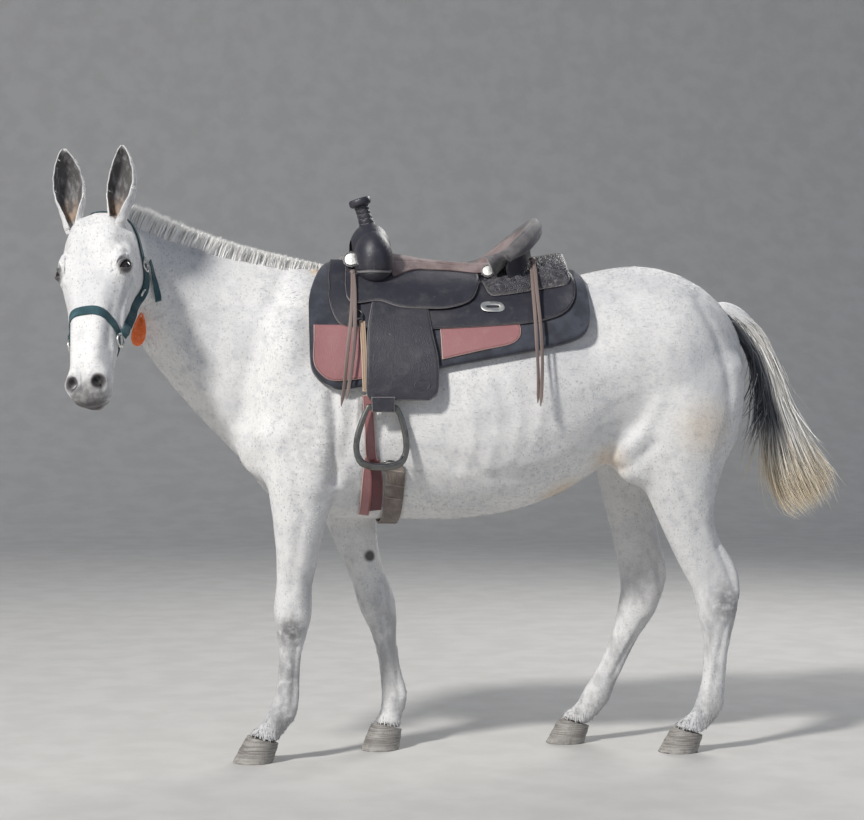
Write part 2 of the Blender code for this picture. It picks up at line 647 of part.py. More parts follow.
def hoof(name, leg):
    """A hoof below its leg's coronet, flat on the ground."""
    coronet, toe = hoof_frame(leg)
    side = Vector((-toe.y, toe.x, 0))
    rings = []
    for share, front, back, half in HOOF_RINGS:
        middle = coronet + toe * HOOF_REACH * (1 - share)
        ring = []
        for i in range(18):
            angle = 2 * math.pi * i / 18
            ahead = math.cos(angle) * (front if math.cos(angle) > 0 else back)
            point = middle + toe * ahead + side * half * math.sin(angle)
            top = coronet.z - GAP + CORONET_SLOPE * (point - coronet).dot(toe)
            ring.append((point.x, point.y, top * share))
        rings.append(ring)
    bm = bmesh.new()
    loft(bm, rings)
    return new_object(name, mesh_of(bm, name), HOOF_HORN)


def local_ellipsoid(name, centre, radii, turn=0.0):
    """A helper ellipsoid in the head's frame."""
    bm = bmesh.new()
    ellipsoid(bm, centre, radii, turn, HEAD_FRAME)
    return new_object(name, mesh_of(bm, name), home=CUTTERS)


def carve(obj, cutter):
    """Cuts a helper out of the object and removes the helper."""
    boolean(obj, cutter, "DIFFERENCE")
    discard(cutter)


def ring_slab(bm, outer, inner):
    """A closed flat ring between two pairs of loops: outer and inner are each (lower loop, upper loop)."""
    loops = [[bm.verts.new(p) for p in loop] for loop in (*outer, *inner)]
    outer_low, outer_high, inner_low, inner_high = loops
    count = len(outer_low)
    for i in range(count):
        j = (i + 1) % count
        bm.faces.new((outer_low[i], outer_low[j], outer_high[j], outer_high[i]))
        bm.faces.new((inner_low[j], inner_low[i], inner_high[i], inner_high[j]))
        bm.faces.new((outer_high[i], outer_high[j], inner_high[j], inner_high[i]))
        bm.faces.new((outer_low[j], outer_low[i], inner_low[i], inner_low[j]))


def mouth_cutter():
    """The thin curved groove between the lips."""
    loops = []
    for length, half in ((0.075, 0.075), (0.052, 0.040)):
        for lift in (-0.0012, 0.0012):
            loops.append([
                HEAD_FRAME @ Vector((
                    0.490 + length * math.cos(a),
                    half * math.sin(a),
                    MOUTH_HEIGHT + lift + 0.012 * (1 - math.cos(a)),
                ))
                for a in (2 * math.pi * i / 24 for i in range(24))
            ])
    bm = bmesh.new()
    ring_slab(bm, loops[:2], loops[2:])
    return new_object("mouth_cutter", mesh_of(bm, "mouth_cutter"), home=CUTTERS)


def make_eye(name, side):
    """An eyeball in the head's frame."""
    bm = bmesh.new()
    x, y, z = EYE_CENTRE
    place = HEAD_FRAME @ Matrix.Translation((x, side * y, z))
    bmesh.ops.create_uvsphere(bm, u_segments=12, v_segments=8, radius=EYE_RADIUS, matrix=place)
    return new_object(name, mesh_of(bm, name), EYE)


def detail_head(head):
    """Cuts the eye sockets, lid openings, nostrils and mouth line."""
    x, y, z = EYE_CENTRE
    reach = EYE_RADIUS + 0.0006
    for side in (1, -1):
        carve(head, local_ellipsoid("lids", (x, side * (y + 0.016), z + 0.006), (0.020, 0.032, 0.0120), 12))
        carve(head, local_ellipsoid("socket", (x, side * y, z), (reach, reach, reach)))
        carve(head, local_ellipsoid("nostril", (0.503, side * 0.042, -0.038), (0.013, 0.017, 0.020), -25))
    carve(head, mouth_cutter())


def slab(bm, inner, outer):
    """A closed sheet between two grids of points of like size."""
    rows, columns = len(inner), len(inner[0])
    low = [[bm.verts.new(p) for p in row] for row in inner]
    high = [[bm.verts.new(p) for p in row] for row in outer]
    for i in range(rows - 1):
        for j in range(columns - 1):
            bm.faces.new((low[i][j], low[i][j + 1], low[i + 1][j + 1], low[i + 1][j]))
            bm.faces.new((high[i][j], high[i + 1][j], high[i + 1][j + 1], high[i][j + 1]))
    rim = [(0, j) for j in range(columns)] + [(i, columns - 1) for i in range(1, rows)]
    rim += [(rows - 1, j) for j in range(columns - 2, -1, -1)] + [(i, 0) for i in range(rows - 2, 0, -1)]
    for (a, b), (c, d) in zip(rim, rim[1:] + rim[:1]):
        bm.faces.new((low[a][b], low[c][d], high[c][d], high[a][b]))


def make_ear(name, base, tip, lean):
    """A cupped ear that opens the way the face looks, turned about its own line by lean degrees."""
    base, tip = Vector(base), Vector(tip)
    along = (tip - base).normalized()
    front = HEAD_FRAME.to_3x3() @ Vector((0, 0, 1))
    front = (front - along * front.dot(along)).normalized()
    front = Matrix.Rotation(math.radians(lean), 3, along) @ front
    side = along.cross(front)
    inner, outer = [], []
    for share, half, opening in EAR_ROWS:
        middle = base.lerp(tip, share) - front * 0.012 * math.sin(math.pi * share)
        rows = []
        for thickness in (EAR_THICKNESS, 0.0):
            reach = max(half - thickness, 0.35 * half)
            row = []
            for k in range(-3, 4):
                angle = math.radians(opening) * k / 3
                row.append(middle + side * reach * math.sin(angle) - front * 0.8 * reach * math.cos(angle))
            rows.append(row)
        inner.append(rows[0])
        outer.append(rows[1])
    bm = bmesh.new()
    slab(bm, inner, outer)
    return new_object(name, mesh_of(bm, name), EAR_SKIN)


def lock(line, out, width, thickness):
    """A flat tapered lock along a line of points, ending in a point; out is the way its flat side faces."""
    bm = bmesh.new()
    loops = []
    for i, point in enumerate(line[:-1]):
        share = i / (len(line) - 1)
        along = (line[i + 1] - line[max(i - 1, 0)]).normalized()
        across = along.cross(out).normalized()
        facing = across.cross(along)
        half = width / 2 * (1 - 0.55 * share * share)
        deep = thickness / 2 * (1 - 0.5 * share)
        steps = (across * half, facing * deep, across * -half, facing * -deep)
        loops.append([bm.verts.new(point + step) for step in steps])
    tip = bm.verts.new(line[-1])
    bm.faces.new(loops[0])
    for low, high in zip(loops, loops[1:]):
        for j in range(4):
            bm.faces.new((low[j], low[j - 1], high[j - 1], high[j]))
    for j in range(4):
        bm.faces.new((loops[-1][j], loops[-1][j - 1], tip))
    bmesh.ops.triangulate(bm, faces=bm.faces)
    LOCKS.objects.link(bpy.data.objects.new("lock", mesh_of(bm, "lock")))


def fuse_locks(obj):
    """Joins every lock made so far to the object and removes the locks."""
    modifier = obj.modifiers.new("locks", "BOOLEAN")
    modifier.operation = "UNION"
    modifier.solver = "EXACT"
    modifier.operand_type = "COLLECTION"
    modifier.collection = LOCKS
    keep_largest(apply_modifiers(obj))
    discard(*LOCKS.objects)
    return obj


def curve_through(points, steps):
    """Points along the smooth curve through these, steps to each stretch."""
    return [Vector(row) for row in smooth_rows([tuple(p) for p in points], steps)]


def crest_frames():
    """Places along the crest, withers to poll: root, ways along, across and up, and the hair's height."""
    rows = smooth_rows(MANE_LINE, 4)
    frames = []
    for i, row in enumerate(rows):
        before, after = rows[max(i - 1, 0)], rows[min(i + 1, len(rows) - 1)]
        along = (Vector(after[:3]) - Vector(before[:3])).normalized()
        side = along.cross(Vector((0, 0, 1))).normalized()
        frames.append((Vector(row[:3]), along, side, side.cross(along), row[3]))
    return frames


def mane_core(name):
    """The low ridge under the mane's locks."""
    rings = []
    for root, _, side, up, height in crest_frames()[::2]:
        rings.append([
            root + side * across + up * lift
            for across, lift in (
                (0.016, -0.030), (0.011, 0.002), (0.004, height * MANE_CORE),
                (-0.004, height * MANE_CORE), (-0.011, 0.002), (-0.016, -0.030),
            )
        ])
    bm = bmesh.new()
    loft(bm, rings)
    return new_object(name, mesh_of(bm, name), MANE_HAIR)


def mane_locks():
    """Upright locks in two rows along the crest, leaning a little outwards and back."""
    draw = random.Random(MANE_SEED)
    frames = crest_frames()
    for i in range(MANE_LOCKS):
        place = (i + 0.5 + draw.uniform(-0.2, 0.2)) / MANE_LOCKS * (len(frames) - 1)
        root, along, side, up, height = frames[min(int(place), len(frames) - 1)]
        root = root.lerp(frames[min(int(place) + 1, len(frames) - 1)][0], place - int(place))
        lean = (1 if i % 2 else -1) * draw.uniform(0.10, 0.28)
        height *= draw.uniform(0.86, 1.08)
        back = draw.uniform(-0.05, 0.35)
        foot = root + side * (1 if i % 2 else -1) * 0.005
        line = [foot + up * height * t + (side * lean - along * back) * height * max(t, 0) ** 2
                for t in (-0.55, 0.0, 0.35, 0.70, 1.0)]
        lock(line, side, draw.uniform(0.040, 0.050), draw.uniform(0.011, 0.014))


def tail_frames(rows):
    """For each row of the tail: its middle and its half widths fore and aft and sideways."""
    frames = []
    for i, row in enumerate(rows):
        before, after = rows[max(i - 1, 0)], rows[min(i + 1, len(rows) - 1)]
        along = (Vector(after[:3]) - Vector(before[:3])).normalized()
        frames.append((Vector(row[:3]), Vector((0, 1, 0)).cross(along).normalized(), row[3], row[4]))
    return frames


def make_tail(name):
    """The dock: the fleshy root of the tail, out of which the long locks grow."""
    rings = []
    for middle, across, ahead, wide in tail_frames(smooth_rows(DOCK_ROWS, 2)):
        rings.append([
            middle + across * ahead * math.cos(a) + Vector((0, 1, 0)) * wide * math.sin(a)
            for a in (2 * math.pi * k / 12 for k in range(12))
        ])
    bm = bmesh.new()
    loft(bm, rings)
    return new_object(name, mesh_of(bm, name), TAIL_HAIR)


def tail_at(height):
    """The tail's middle and half widths at a height: x, y, fore and aft, and sideways."""
    heights = [-row[2] for row in TAIL_ROWS]
    return [float(np.interp(-height, heights, [row[k] for row in TAIL_ROWS])) for k in (0, 1, 3, 4)]


def tail_locks():
    """Long locks from all round the dock, together down the tail and fanned at the end."""
    draw = random.Random(TAIL_SEED)
    dock = smooth_rows(DOCK_ROWS, 6)
    for i, (reach, drop) in enumerate(TAIL_TIPS):
        angle = 2 * math.pi * (i * 0.382 + draw.uniform(-0.04, 0.04))
        start = DOCK_START + (1 - DOCK_START) * (i + 0.5) / len(TAIL_TIPS)
        row = dock[int(start * (len(dock) - 1))]
        root = Vector(row[:3])
        outward = Vector((math.cos(angle), math.sin(angle), 0))
        first = root + Vector((outward.x * row[3] * 0.55, outward.y * row[4] * 0.55, 0))
        tip = Vector((reach, TAIL_SWAY + 0.030 * outward.y + draw.uniform(-0.008, 0.008), drop))
        line = [first]
        for share in (0.25, 0.5, 0.75):
            height = first.z + (tip.z - first.z) * share
            x, y, ahead, wide = tail_at(height)
            spot = Vector((x + outward.x * ahead * 0.55, y + outward.y * wide * 0.60, height))
            line.append(spot.lerp(first.lerp(tip, share), share * share))
        line.append(tip)
        lock(curve_through(line, 3)[::2], outward, draw.uniform(0.050, 0.064), draw.uniform(0.017, 0.023))


body_bm = bmesh.new()
body_forms(body_bm)
head_forms(body_bm)
torso = fuse(body_bm, "torso", BODY_VOXEL, 110, BODY_FACES, softness)
torso.data.materials.append(COAT)
WHOLE = tree_of(torso)

head = part_off(torso, "head", [head_plane(*p) for p in HEAD_PLANES], COAT)
neck = part_off(torso, "neck", NECK_PLANES, COAT)
legs = {name: part_off(torso, name, leg_planes(name), COAT) for name in LEG_LINES}
for name in LEG_LINES:
    hoof("hoof_" + name.replace("leg", ""), name)
detail_head(head)
make_eye("eye_left", 1)
make_eye("eye_right", -1)
mane = mane_core("mane")
boolean(neck, mane, "UNION")
discard(mane)
mane_locks()
fuse_locks(neck)
trim(neck, torso, head)
ears = [make_ear(name, *EARS[name]) for name in EARS]
for ear in ears:
    trim(ear, head, neck)
tail = make_tail("tail")
tail_locks()
trim(fuse_locks(tail), torso)


AXIS_HEIGHT = 1.05
TABLE_X = np.arange(-0.50, 0.57, 0.02)
TABLE_ANGLES = np.radians(np.arange(0, 181, 5))


def reach_table(side):
    """How far the skin lies from the line at AXIS_HEIGHT, for each x and each angle down from the top."""
    table = np.zeros((len(TABLE_X), len(TABLE_ANGLES)))
    for i, x in enumerate(TABLE_X):
        start = Vector((x, 0, AXIS_HEIGHT))
        for j, angle in enumerate(TABLE_ANGLES):
            hit = WHOLE.ray_cast(start, Vector((0, side * math.sin(angle), math.cos(angle))))[0]
            table[i, j] = (hit - start).length
    for _ in range(2):
        table[1:-1] = (table[:-2] + 2 * table[1:-1] + table[2:]) / 4
        table[:, 1:-1] = (table[:, :-2] + 2 * table[:, 1:-1] + table[:, 2:]) / 4
    return table


REACHES = {side: reach_table(side) for side in (LEFT, RIGHT)}


def back_point(x, angle, offset, side=LEFT):
    """A point this far above the skin: angle runs from the top down the given side."""
    place = (x - TABLE_X[0]) / 0.02
    i = min(max(int(place), 0), len(TABLE_X) - 2)
    table = REACHES[side if math.sin(angle) >= 0 else -side]
    row = table[i] * (1 - place + i) + table[i + 1] * (place - i)
    reach = float(np.interp(math.acos(math.cos(angle)), TABLE_ANGLES, row)) + offset
    return Vector((x, side * reach * math.sin(angle), AXIS_HEIGHT + reach * math.cos(angle)))


def angle_at(x, z, offset, side=LEFT):
    """The angle at which a surface this far above the skin passes through height z."""
    angles = np.radians(np.arange(0, 180.5, 1.5))
    heights = [back_point(x, a, offset, side).z for a in angles]
    return float(np.interp(-z, [-h for h in heights], angles))


def resample(line, count):
    """count points at even steps along a line of points."""
    points = np.array(line, float)
    lengths = np.concatenate([[0], np.cumsum(np.linalg.norm(np.diff(points, axis=0), axis=1))])
    steps = np.linspace(0, lengths[-1], count)
    return [tuple(np.interp(s, lengths, points[:, k]) for k in range(points.shape[1])) for s in steps]


def add_sheet(name, finish, top, edge, layer, size, side=None):
    """A sheet on the back from a line near the top down to an edge; with no side it covers both sides."""
    rows, columns = size
    low, high = layer[0], layer[1] if callable(layer[1]) else lambda share: layer[1]
    inner, outer = [], []
    for (xt, zt), (xb, zb) in zip(resample(top, rows), resample(edge, rows)):
        start = 0.0 if side is None else max(angle_at(xt, zt, high(0), side), 0.02)
        end = angle_at(xb, zb, high(1))
        shares = [k / columns for k in range(-columns if side is None else 0, columns + 1)]
        places = [(xt + (xb - xt) * abs(t), (end * t if side is None else start + (end - start) * t))
                  for t in shares]
        inner.append([back_point(x, a, low, side or LEFT) for x, a in places])
        outer.append([back_point(x, a, high(t), side or LEFT) for t, (x, a) in zip(shares, places)])
    bm = bmesh.new()
    slab(bm, inner, outer)
    return new_object(name, mesh_of(bm, name), finish)


def side_point(x, z, offset, side, hug=False):
    """A point at (x, z) this far out from the side of the body; below its widest it hangs straight."""
    point = back_point(x, angle_at(x, z if hug else max(z, 1.0), offset, side), offset, side)
    return Vector((x, point.y, z))


def add_panel(name, finish, front, back, layer, size, side, hug=False):
    """A flat-hanging piece between its front and back edges, each listed from the top down."""
    rows, columns = size
    grids = []
    for offset in layer:
        grid = []
        for (xf, zf), (xb, zb) in zip(resample(front, rows), resample(back, rows)):
            grid.append([
                side_point(xf + (xb - xf) * k / columns, zf + (zb - zf) * k / columns, offset, side, hug)
                for k in range(columns + 1)
            ])
        grids.append(grid)
    bm = bmesh.new()
    slab(bm, grids[0], grids[1])
    return new_object(name, mesh_of(bm, name), finish)


def back_block(offset):
    """A helper solid that fills the body out to this far above the skin."""
    rings = []
    for x in np.arange(-0.48, 0.54, 0.03):
        rings.append([back_point(x, math.radians(a), offset) for a in range(0, 360, 12)])
    bm = bmesh.new()
    loft(bm, rings)
    return new_object("back_block", mesh_of(bm, "back_block"), home=CUTTERS)


def add_loop(name, finish, loop, layer, side, scale):
    """An upright flat ring on the side, from its outer loop of (x, z) and the scale of its hole."""
    middle = np.mean(np.array(loop), axis=0)
    loops = []
    for share in (1.0, scale):
        for offset in layer:
            y = side_point(middle[0], middle[1], offset, side).y
            loops.append([
                (middle[0] + (x - middle[0]) * share, y, middle[1] + (z - middle[1]) * share) for x, z in loop
            ])
    bm = bmesh.new()
    ring_slab(bm, loops[:2], loops[2:])
    return new_object(name, mesh_of(bm, name), finish)


def surface_frame(point, out, along):
    """The transform to point, with Z along out and X as near as it can be to along."""
    out = out.normalized()
    first = (along - out * along.dot(out)).normalized()
    return Matrix.Translation(point) @ Matrix((first, out.cross(first), out)).transposed().to_4x4()


def add_disc(name, finish, x, angle, offset, radii, thickness, side, hole=None):
    """A round or oval plate square to the saddle's surface, with an oval hole if asked."""
    point = back_point(x, angle, offset, side)
    out = (back_point(x, angle, offset + 0.01, side) - point).normalized()
    place = surface_frame(point, out, Vector((1, 0, 0)))
    bm = bmesh.new()
    loops = []
    for share in ((radii, hole) if hole else (radii,)):
        for lift in (0.0, thickness):
            loops.append([
                place @ Vector((share[0] * math.cos(a), share[1] * math.sin(a), lift))
                for a in (2 * math.pi * i / 16 for i in range(16))
            ])
    if hole:
        ring_slab(bm, loops[:2], loops[2:])
    else:
        loft(bm, loops)
    return new_object(name, mesh_of(bm, name), finish)


def add_strings(name, tracks, side):
    """Leather strings that hang from one place on the saddle, fused at their top."""
    fused = None
    for track in tracks:
        rows = smooth_rows(track, 4)
        inner = [[side_point(x + w, z, o, side) for w in (-0.0035, 0.0035)] for x, z, o in rows]
        outer = [[side_point(x + w, z, o + 0.0028, side) for w in (-0.0035, 0.0035)] for x, z, o in rows]
        bm = bmesh.new()
        slab(bm, inner, outer)
        strip = new_object(name + "_strip", mesh_of(bm, name), THONG, home=CUTTERS if fused else None)
        if fused is None:
            fused = strip
        else:
            boolean(fused, strip, "UNION")
            discard(strip)
    fused.name = name
    return fused


def make_fork():
    """The saddle's swell and the horn's root, seated on the jockeys, with an open gullet below."""
    bm = bmesh.new()
    ellipsoid(bm, (-0.178, 0, 1.425), (0.060, 0.105, 0.080))
    for side in (LEFT, RIGHT):
        ellipsoid(bm, (-0.178, side * 0.085, 1.395), (0.056, 0.075, 0.082))
    fork = fuse(bm, "saddle_fork", 0.008, 6, 450)
    fork.data.materials.append(BLACK_LEATHER)
    carve(fork, back_block(SEAT_LOW + 0.0028))
    bm = bmesh.new()
    ellipsoid(bm, (-0.20, 0, 1.400), (0.16, 0.050, 0.058))
    carve(fork, new_object("gullet", mesh_of(bm, "gullet"), home=CUTTERS))
    return fork


def make_horn():
    """The horn: a neck that leans forward and a flat round cap."""
    rings = []
    lean = Vector((-0.32, 0, 1)).normalized()
    across = Vector((0, 1, 0))
    ahead = across.cross(lean)
    for along, radius in (
        (-0.012, 0.024), (0.010, 0.021), (0.035, 0.019), (0.055, 0.021), (0.062, 0.031), (0.070, 0.034),
        (0.078, 0.031),
    ):
        middle = Vector((-0.186, 0, 1.500)) + lean * along
        ring = []
        for i in range(16):
            angle = 2 * math.pi * i / 16
            ring.append(middle + ahead * radius * math.cos(angle) + across * radius * math.sin(angle))
        rings.append(ring)
    bm = bmesh.new()
    loft(bm, rings)
    return new_object("saddle_horn", mesh_of(bm, "saddle_horn"), BLACK_LEATHER)


def make_cantle():
    """The cantle: a dished wall that leans back, with a thicker rolled rim."""
    inner, outer = [], []
    out = Vector((0.61, 0, -0.79))
    for k in range(-6, 7):
        angle = math.radians(78) * k / 6
        wrap = 1 - math.cos(angle)
        base = Vector((0.172 - 0.080 * wrap, 0.172 * math.sin(angle), 1.375))
        rim = Vector((0.292 - 0.140 * wrap, 0.182 * math.sin(angle), 1.524 - 0.135 * wrap))
        low, high = [], []
        for share, thick in ((0.0, 0.026), (0.35, 0.024), (0.72, 0.026), (0.86, 0.046), (1.0, 0.036)):
            point = base.lerp(rim, share)
            low.append(point)
            high.append(point + out * thick)
        inner.append(low)
        outer.append(high)
    bm = bmesh.new()
    slab(bm, inner, outer)
    cantle = new_object("cantle", mesh_of(bm, "cantle"), BLACK_LEATHER)
    carve(cantle, back_block(SEAT_JOCKEY[1] + 0.0030))
    return cantle


def make_cinch():
    """The cinch: a band from ring to ring under the belly."""
    grids = []
    start = angle_at(-0.13, CINCH_TOP, 0.01)
    for offset in CINCH:
        grids.append([
            [back_point(x, start + (2 * math.pi - 2 * start) * k / 22, offset) for k in range(23)]
            for x in np.linspace(*CINCH_X, 3)
        ])
    bm = bmesh.new()
    slab(bm, grids[0], grids[1])
    return new_object("cinch", mesh_of(bm, "cinch"), MOHAIR)


def ribbon(name, points, width, low=0.0030, high=0.0058):
    """A strap laid on the skin through points in the model's frame."""
    rows = [Vector(r) for r in resample(smooth_rows(points, 4), 3 * (len(points) - 1))]
    inner, outer = [], []
    for i, row in enumerate(rows):
        along = (rows[min(i + 1, len(rows) - 1)] - rows[max(i - 1, 0)]).normalized()
        out = WHOLE.find_nearest(row)[1]
        across = out.cross(along).normalized() * width / 2
        low_row, high_row = [], []
        for k in (-1, 0, 1):
            place, normal = WHOLE.find_nearest(row + across * k)[:2]
            normal = (normal + out).normalized()
            low_row.append(place + normal * low)
            high_row.append(place + normal * high)
        inner.append(low_row)
        outer.append(high_row)
    bm = bmesh.new()
    slab(bm, inner, outer)
    return new_object(name, mesh_of(bm, name), NYLON)


def make_noseband():
    """The halter's noseband: a closed band round the nose."""
    turn = HEAD_FRAME.to_3x3()
    loops = [[], [], [], []]
    edges = ((-0.0125, 0.006), (0.0125, 0.006), (-0.0125, 0.003), (0.0125, 0.003))
    for i in range(32):
        angle = 2 * math.pi * i / 32
        slant = 0.050 * min(1 - math.cos(angle), 1.3)
        for k, (shift, lift) in enumerate(edges):
            start = HEAD_FRAME @ Vector((NOSEBAND_X + slant + shift, 0, -0.085))
            way = turn @ Vector((0, math.sin(angle), math.cos(angle)))
            loops[k].append(WHOLE.ray_cast(start, way)[0] + way * lift)
    bm = bmesh.new()
    ring_slab(bm, loops[:2], loops[2:])
    return new_object("halter_noseband", mesh_of(bm, "halter_noseband"), NYLON)


def head_points(*points):
    """Points of the head's frame in the model's."""
    return [HEAD_FRAME @ Vector(p) for p in points]


def both_sides(path):
    """A strap's points from one side of the head over the middle and down the other."""
    return head_points(*path, *[(x, -y, z) for x, y, z in path[-2::-1]])


def halter_ring(name, centre):
    """A steel ring that lies on the cheek at a strap's end."""
    place, out = WHOLE.find_nearest(HEAD_FRAME @ Vector(centre))[:2]
    place = surface_frame(place + out * 0.0080, out, Vector((0, 0, 1)))
    angles = [2 * math.pi * i / 14 for i in range(14)]
    loops = [
        [place @ Vector((r * math.cos(a), r * math.sin(a), h)) for a in angles]
        for r in (0.016, 0.0115) for h in (0.0, 0.004)
    ]
    bm = bmesh.new()
    ring_slab(bm, loops[:2], loops[2:])
    return new_object(name, mesh_of(bm, name), STEEL)


def make_tag():
    """The orange tag: a drop-shaped plate that hangs by the throat."""
    loops = []
    for y in (TAG_PLACE[1], TAG_PLACE[1] - 0.003):
        loop = []
        for i in range(16):
            angle = 2 * math.pi * i / 16
            lift = math.cos(angle)
            half = 0.015 * math.sin(angle) * (1 - 0.45 * lift)
            loop.append((TAG_PLACE[0] + half + 0.006 * lift, y, TAG_PLACE[2] + 0.042 * lift))
        loops.append(loop)
    bm = bmesh.new()
    loft(bm, loops)
    return new_object("ear_tag", mesh_of(bm, "ear_tag"), TAG)


pad = add_sheet("saddle_pad", PAD_FELT, [(-0.306, 1.5), (0.405, 1.5)], PAD_EDGE, PAD, (12, 8))
trim(pad, torso)
for side, label in ((LEFT, "left"), (RIGHT, "right")):
    add_sheet("wear_leather_front_" + label, BROWN_LEATHER, [(-0.354, 1.24), (-0.215, 1.24)],
              FRONT_WEAR_EDGE, WEAR, (6, 5), side)
    add_sheet("wear_leather_rear_" + label, BROWN_LEATHER, [(-0.008, 1.24), (0.205, 1.24)],
              REAR_WEAR_EDGE, WEAR, (7, 4), side)
    skirt = add_sheet("skirt_" + label, BLACK_LEATHER, [(-0.292, 1.5), (0.352, 1.5)],
                      SKIRT_EDGE, SKIRT, (10, 6), side)
    trim(skirt, pad, gap=0.0020)
    add_sheet("seat_jockey_" + label, BLACK_LEATHER, [(-0.252, 1.400), (0.125, 1.395)],
              SEAT_JOCKEY_EDGE, SEAT_JOCKEY, (12, 4), side)
    add_panel("fender_" + label, BLACK_LEATHER, FENDER_FRONT, FENDER_BACK, FENDER, (9, 4), side)
    add_panel("stirrup_keeper_" + label, BLACK_LEATHER, [(-0.204, 1.016), (-0.202, 0.974)],
              [(-0.140, 1.016), (-0.142, 0.974)], (0.0445, 0.0485), (3, 2), side)
    add_loop("stirrup_" + label, STEEL, STIRRUP_LOOP, (0.0130, 0.0385), side, 0.85)
    add_panel("latigo_" + label, BROWN_LEATHER, LATIGO_FRONT, LATIGO_BACK, LATIGO, (9, 2), side, True)
    add_disc("front_concho_" + label, STEEL, -0.238, math.radians(20), 0.0485, (0.013, 0.013), 0.005, side)
    add_disc("rear_concho_" + label, STEEL, 0.150, math.radians(24), 0.0420, (0.011, 0.011), 0.012, side)
    plate_angle = angle_at(PLATE_PLACE[0], PLATE_PLACE[1], 0.03, side)
    add_disc("skirt_plate_" + label, STEEL, PLATE_PLACE[0], plate_angle, 0.0350, (0.029, 0.0125),
             0.003, side, (0.017, 0.0045))
    ring_angle = angle_at(RIGGING_PLACE[0], RIGGING_PLACE[1], 0.03, side)
    add_disc("rigging_ring_" + label, STEEL, RIGGING_PLACE[0], ring_angle, 0.0378, (0.018, 0.020),
             0.0036, side, (0.013, 0.015))
    add_strings("front_strings_" + label, FRONT_STRINGS, side)
    add_strings("rear_strings_" + label, REAR_STRINGS, side)
add_sheet("rear_jockey", BLACK_LEATHER, [(0.180, 1.5), (0.366, 1.5)], REAR_JOCKEY_EDGE, REAR_JOCKEY, (6, 6))
fork = make_fork()
horn = make_horn()
trim(horn, fork)
cantle = make_cantle()
seat = add_sheet("saddle_seat", SUEDE, [(-0.145, 1.5), (0.200, 1.5)], SEAT_EDGE,
                 (SEAT_LOW, lambda t: 0.0475 + 0.021 * math.cos(t * math.pi / 2)), (10, 6))
trim(seat, fork, cantle, gap=0.0016)
trim(make_cinch(), torso, legs["foreleg_right"])

make_noseband()
ribbon("halter_crown", both_sides(CROWN_PATH), 0.025)
ribbon("halter_throat", both_sides(THROAT_PATH), 0.022)
ribbon("halter_jaw_strap", head_points(*JAW_STRAP_PATH), 0.022)
ribbon("halter_strap_end", STRAP_END, 0.017, low=0.0105, high=0.0135)
for side, label in ((1, "left"), (-1, "right")):
    halter_ring("halter_ring_" + label, (0.352, 0.09 * side, -0.092))
make_tag()


def settle():
    """Moves the whole mule so that its box stands centred on the origin, with its soles at zero."""
    bpy.context.view_layer.update()
    points = np.array([v.co for obj in MULE.objects if obj.type == "MESH" for v in obj.data.vertices])
    low, high = points.min(0), points.max(0)
    for obj in MULE.objects:
        if obj is not ROOT:
            obj.parent = ROOT
    ROOT.location = (-(low[0] + high[0]) / 2, -(low[1] + high[1]) / 2, -low[2])
    discard(*CUTTERS.objects)


settle()
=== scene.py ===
"""A saddled mule standing with its head turned: its visual model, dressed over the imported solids.

Every size is in metres, in the solids' own frame: the body faces -X, the mule's left is -Y and the
ground is z = 0.
"""

import json
import logging
import math
from collections.abc import Callable, Sequence
from dataclasses import dataclass, field
from enum import Enum
from typing import Any

import bmesh
import bpy
import numpy as np
from mathutils import Matrix, Vector
from mathutils.bvhtree import BVHTree
from mathutils.kdtree import KDTree

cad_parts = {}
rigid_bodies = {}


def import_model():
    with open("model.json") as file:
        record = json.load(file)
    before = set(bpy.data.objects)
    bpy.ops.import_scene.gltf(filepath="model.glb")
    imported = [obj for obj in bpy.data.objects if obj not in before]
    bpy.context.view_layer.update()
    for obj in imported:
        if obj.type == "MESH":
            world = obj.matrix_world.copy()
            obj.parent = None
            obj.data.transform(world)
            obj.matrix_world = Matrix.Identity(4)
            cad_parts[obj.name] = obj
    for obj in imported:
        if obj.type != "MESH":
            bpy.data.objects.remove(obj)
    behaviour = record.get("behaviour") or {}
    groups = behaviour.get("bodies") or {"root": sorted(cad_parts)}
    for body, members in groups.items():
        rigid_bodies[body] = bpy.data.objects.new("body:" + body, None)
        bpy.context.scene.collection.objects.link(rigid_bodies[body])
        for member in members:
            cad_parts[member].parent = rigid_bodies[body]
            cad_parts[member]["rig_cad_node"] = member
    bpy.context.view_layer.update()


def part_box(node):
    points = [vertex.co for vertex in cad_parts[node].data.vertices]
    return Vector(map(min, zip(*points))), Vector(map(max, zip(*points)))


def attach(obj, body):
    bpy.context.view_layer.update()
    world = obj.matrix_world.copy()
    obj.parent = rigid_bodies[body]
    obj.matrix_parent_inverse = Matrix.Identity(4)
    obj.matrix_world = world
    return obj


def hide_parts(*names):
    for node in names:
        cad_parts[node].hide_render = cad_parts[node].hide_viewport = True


LOG = logging.getLogger("mule")

Colour = tuple[float, float, float]
Point = tuple[float, float, float]
Point2 = tuple[float, float]
# A place on the coat: its centre, radius and strength.
Spot = tuple[Point, float, float]
# The scale of a pattern that isn't stretched.
EVEN: Point = (1, 1, 1)
# The left eye's middle in the head's frame: along the nose, to the mule's left and out of the face.
EYE: Point = (0.172, 0.084, -0.033)


class Side(Enum):
    """A side of the mule, by its name and the sign of its Y."""

    LEFT = ("left", -1)
    RIGHT = ("right", 1)

    @property
    def label(self) -> str:
        """The side's name, as the solids' names end."""
        return self.value[0]

    @property
    def sign(self) -> int:
        """-1 on the mule's left and 1 on its right."""
        return self.value[1]


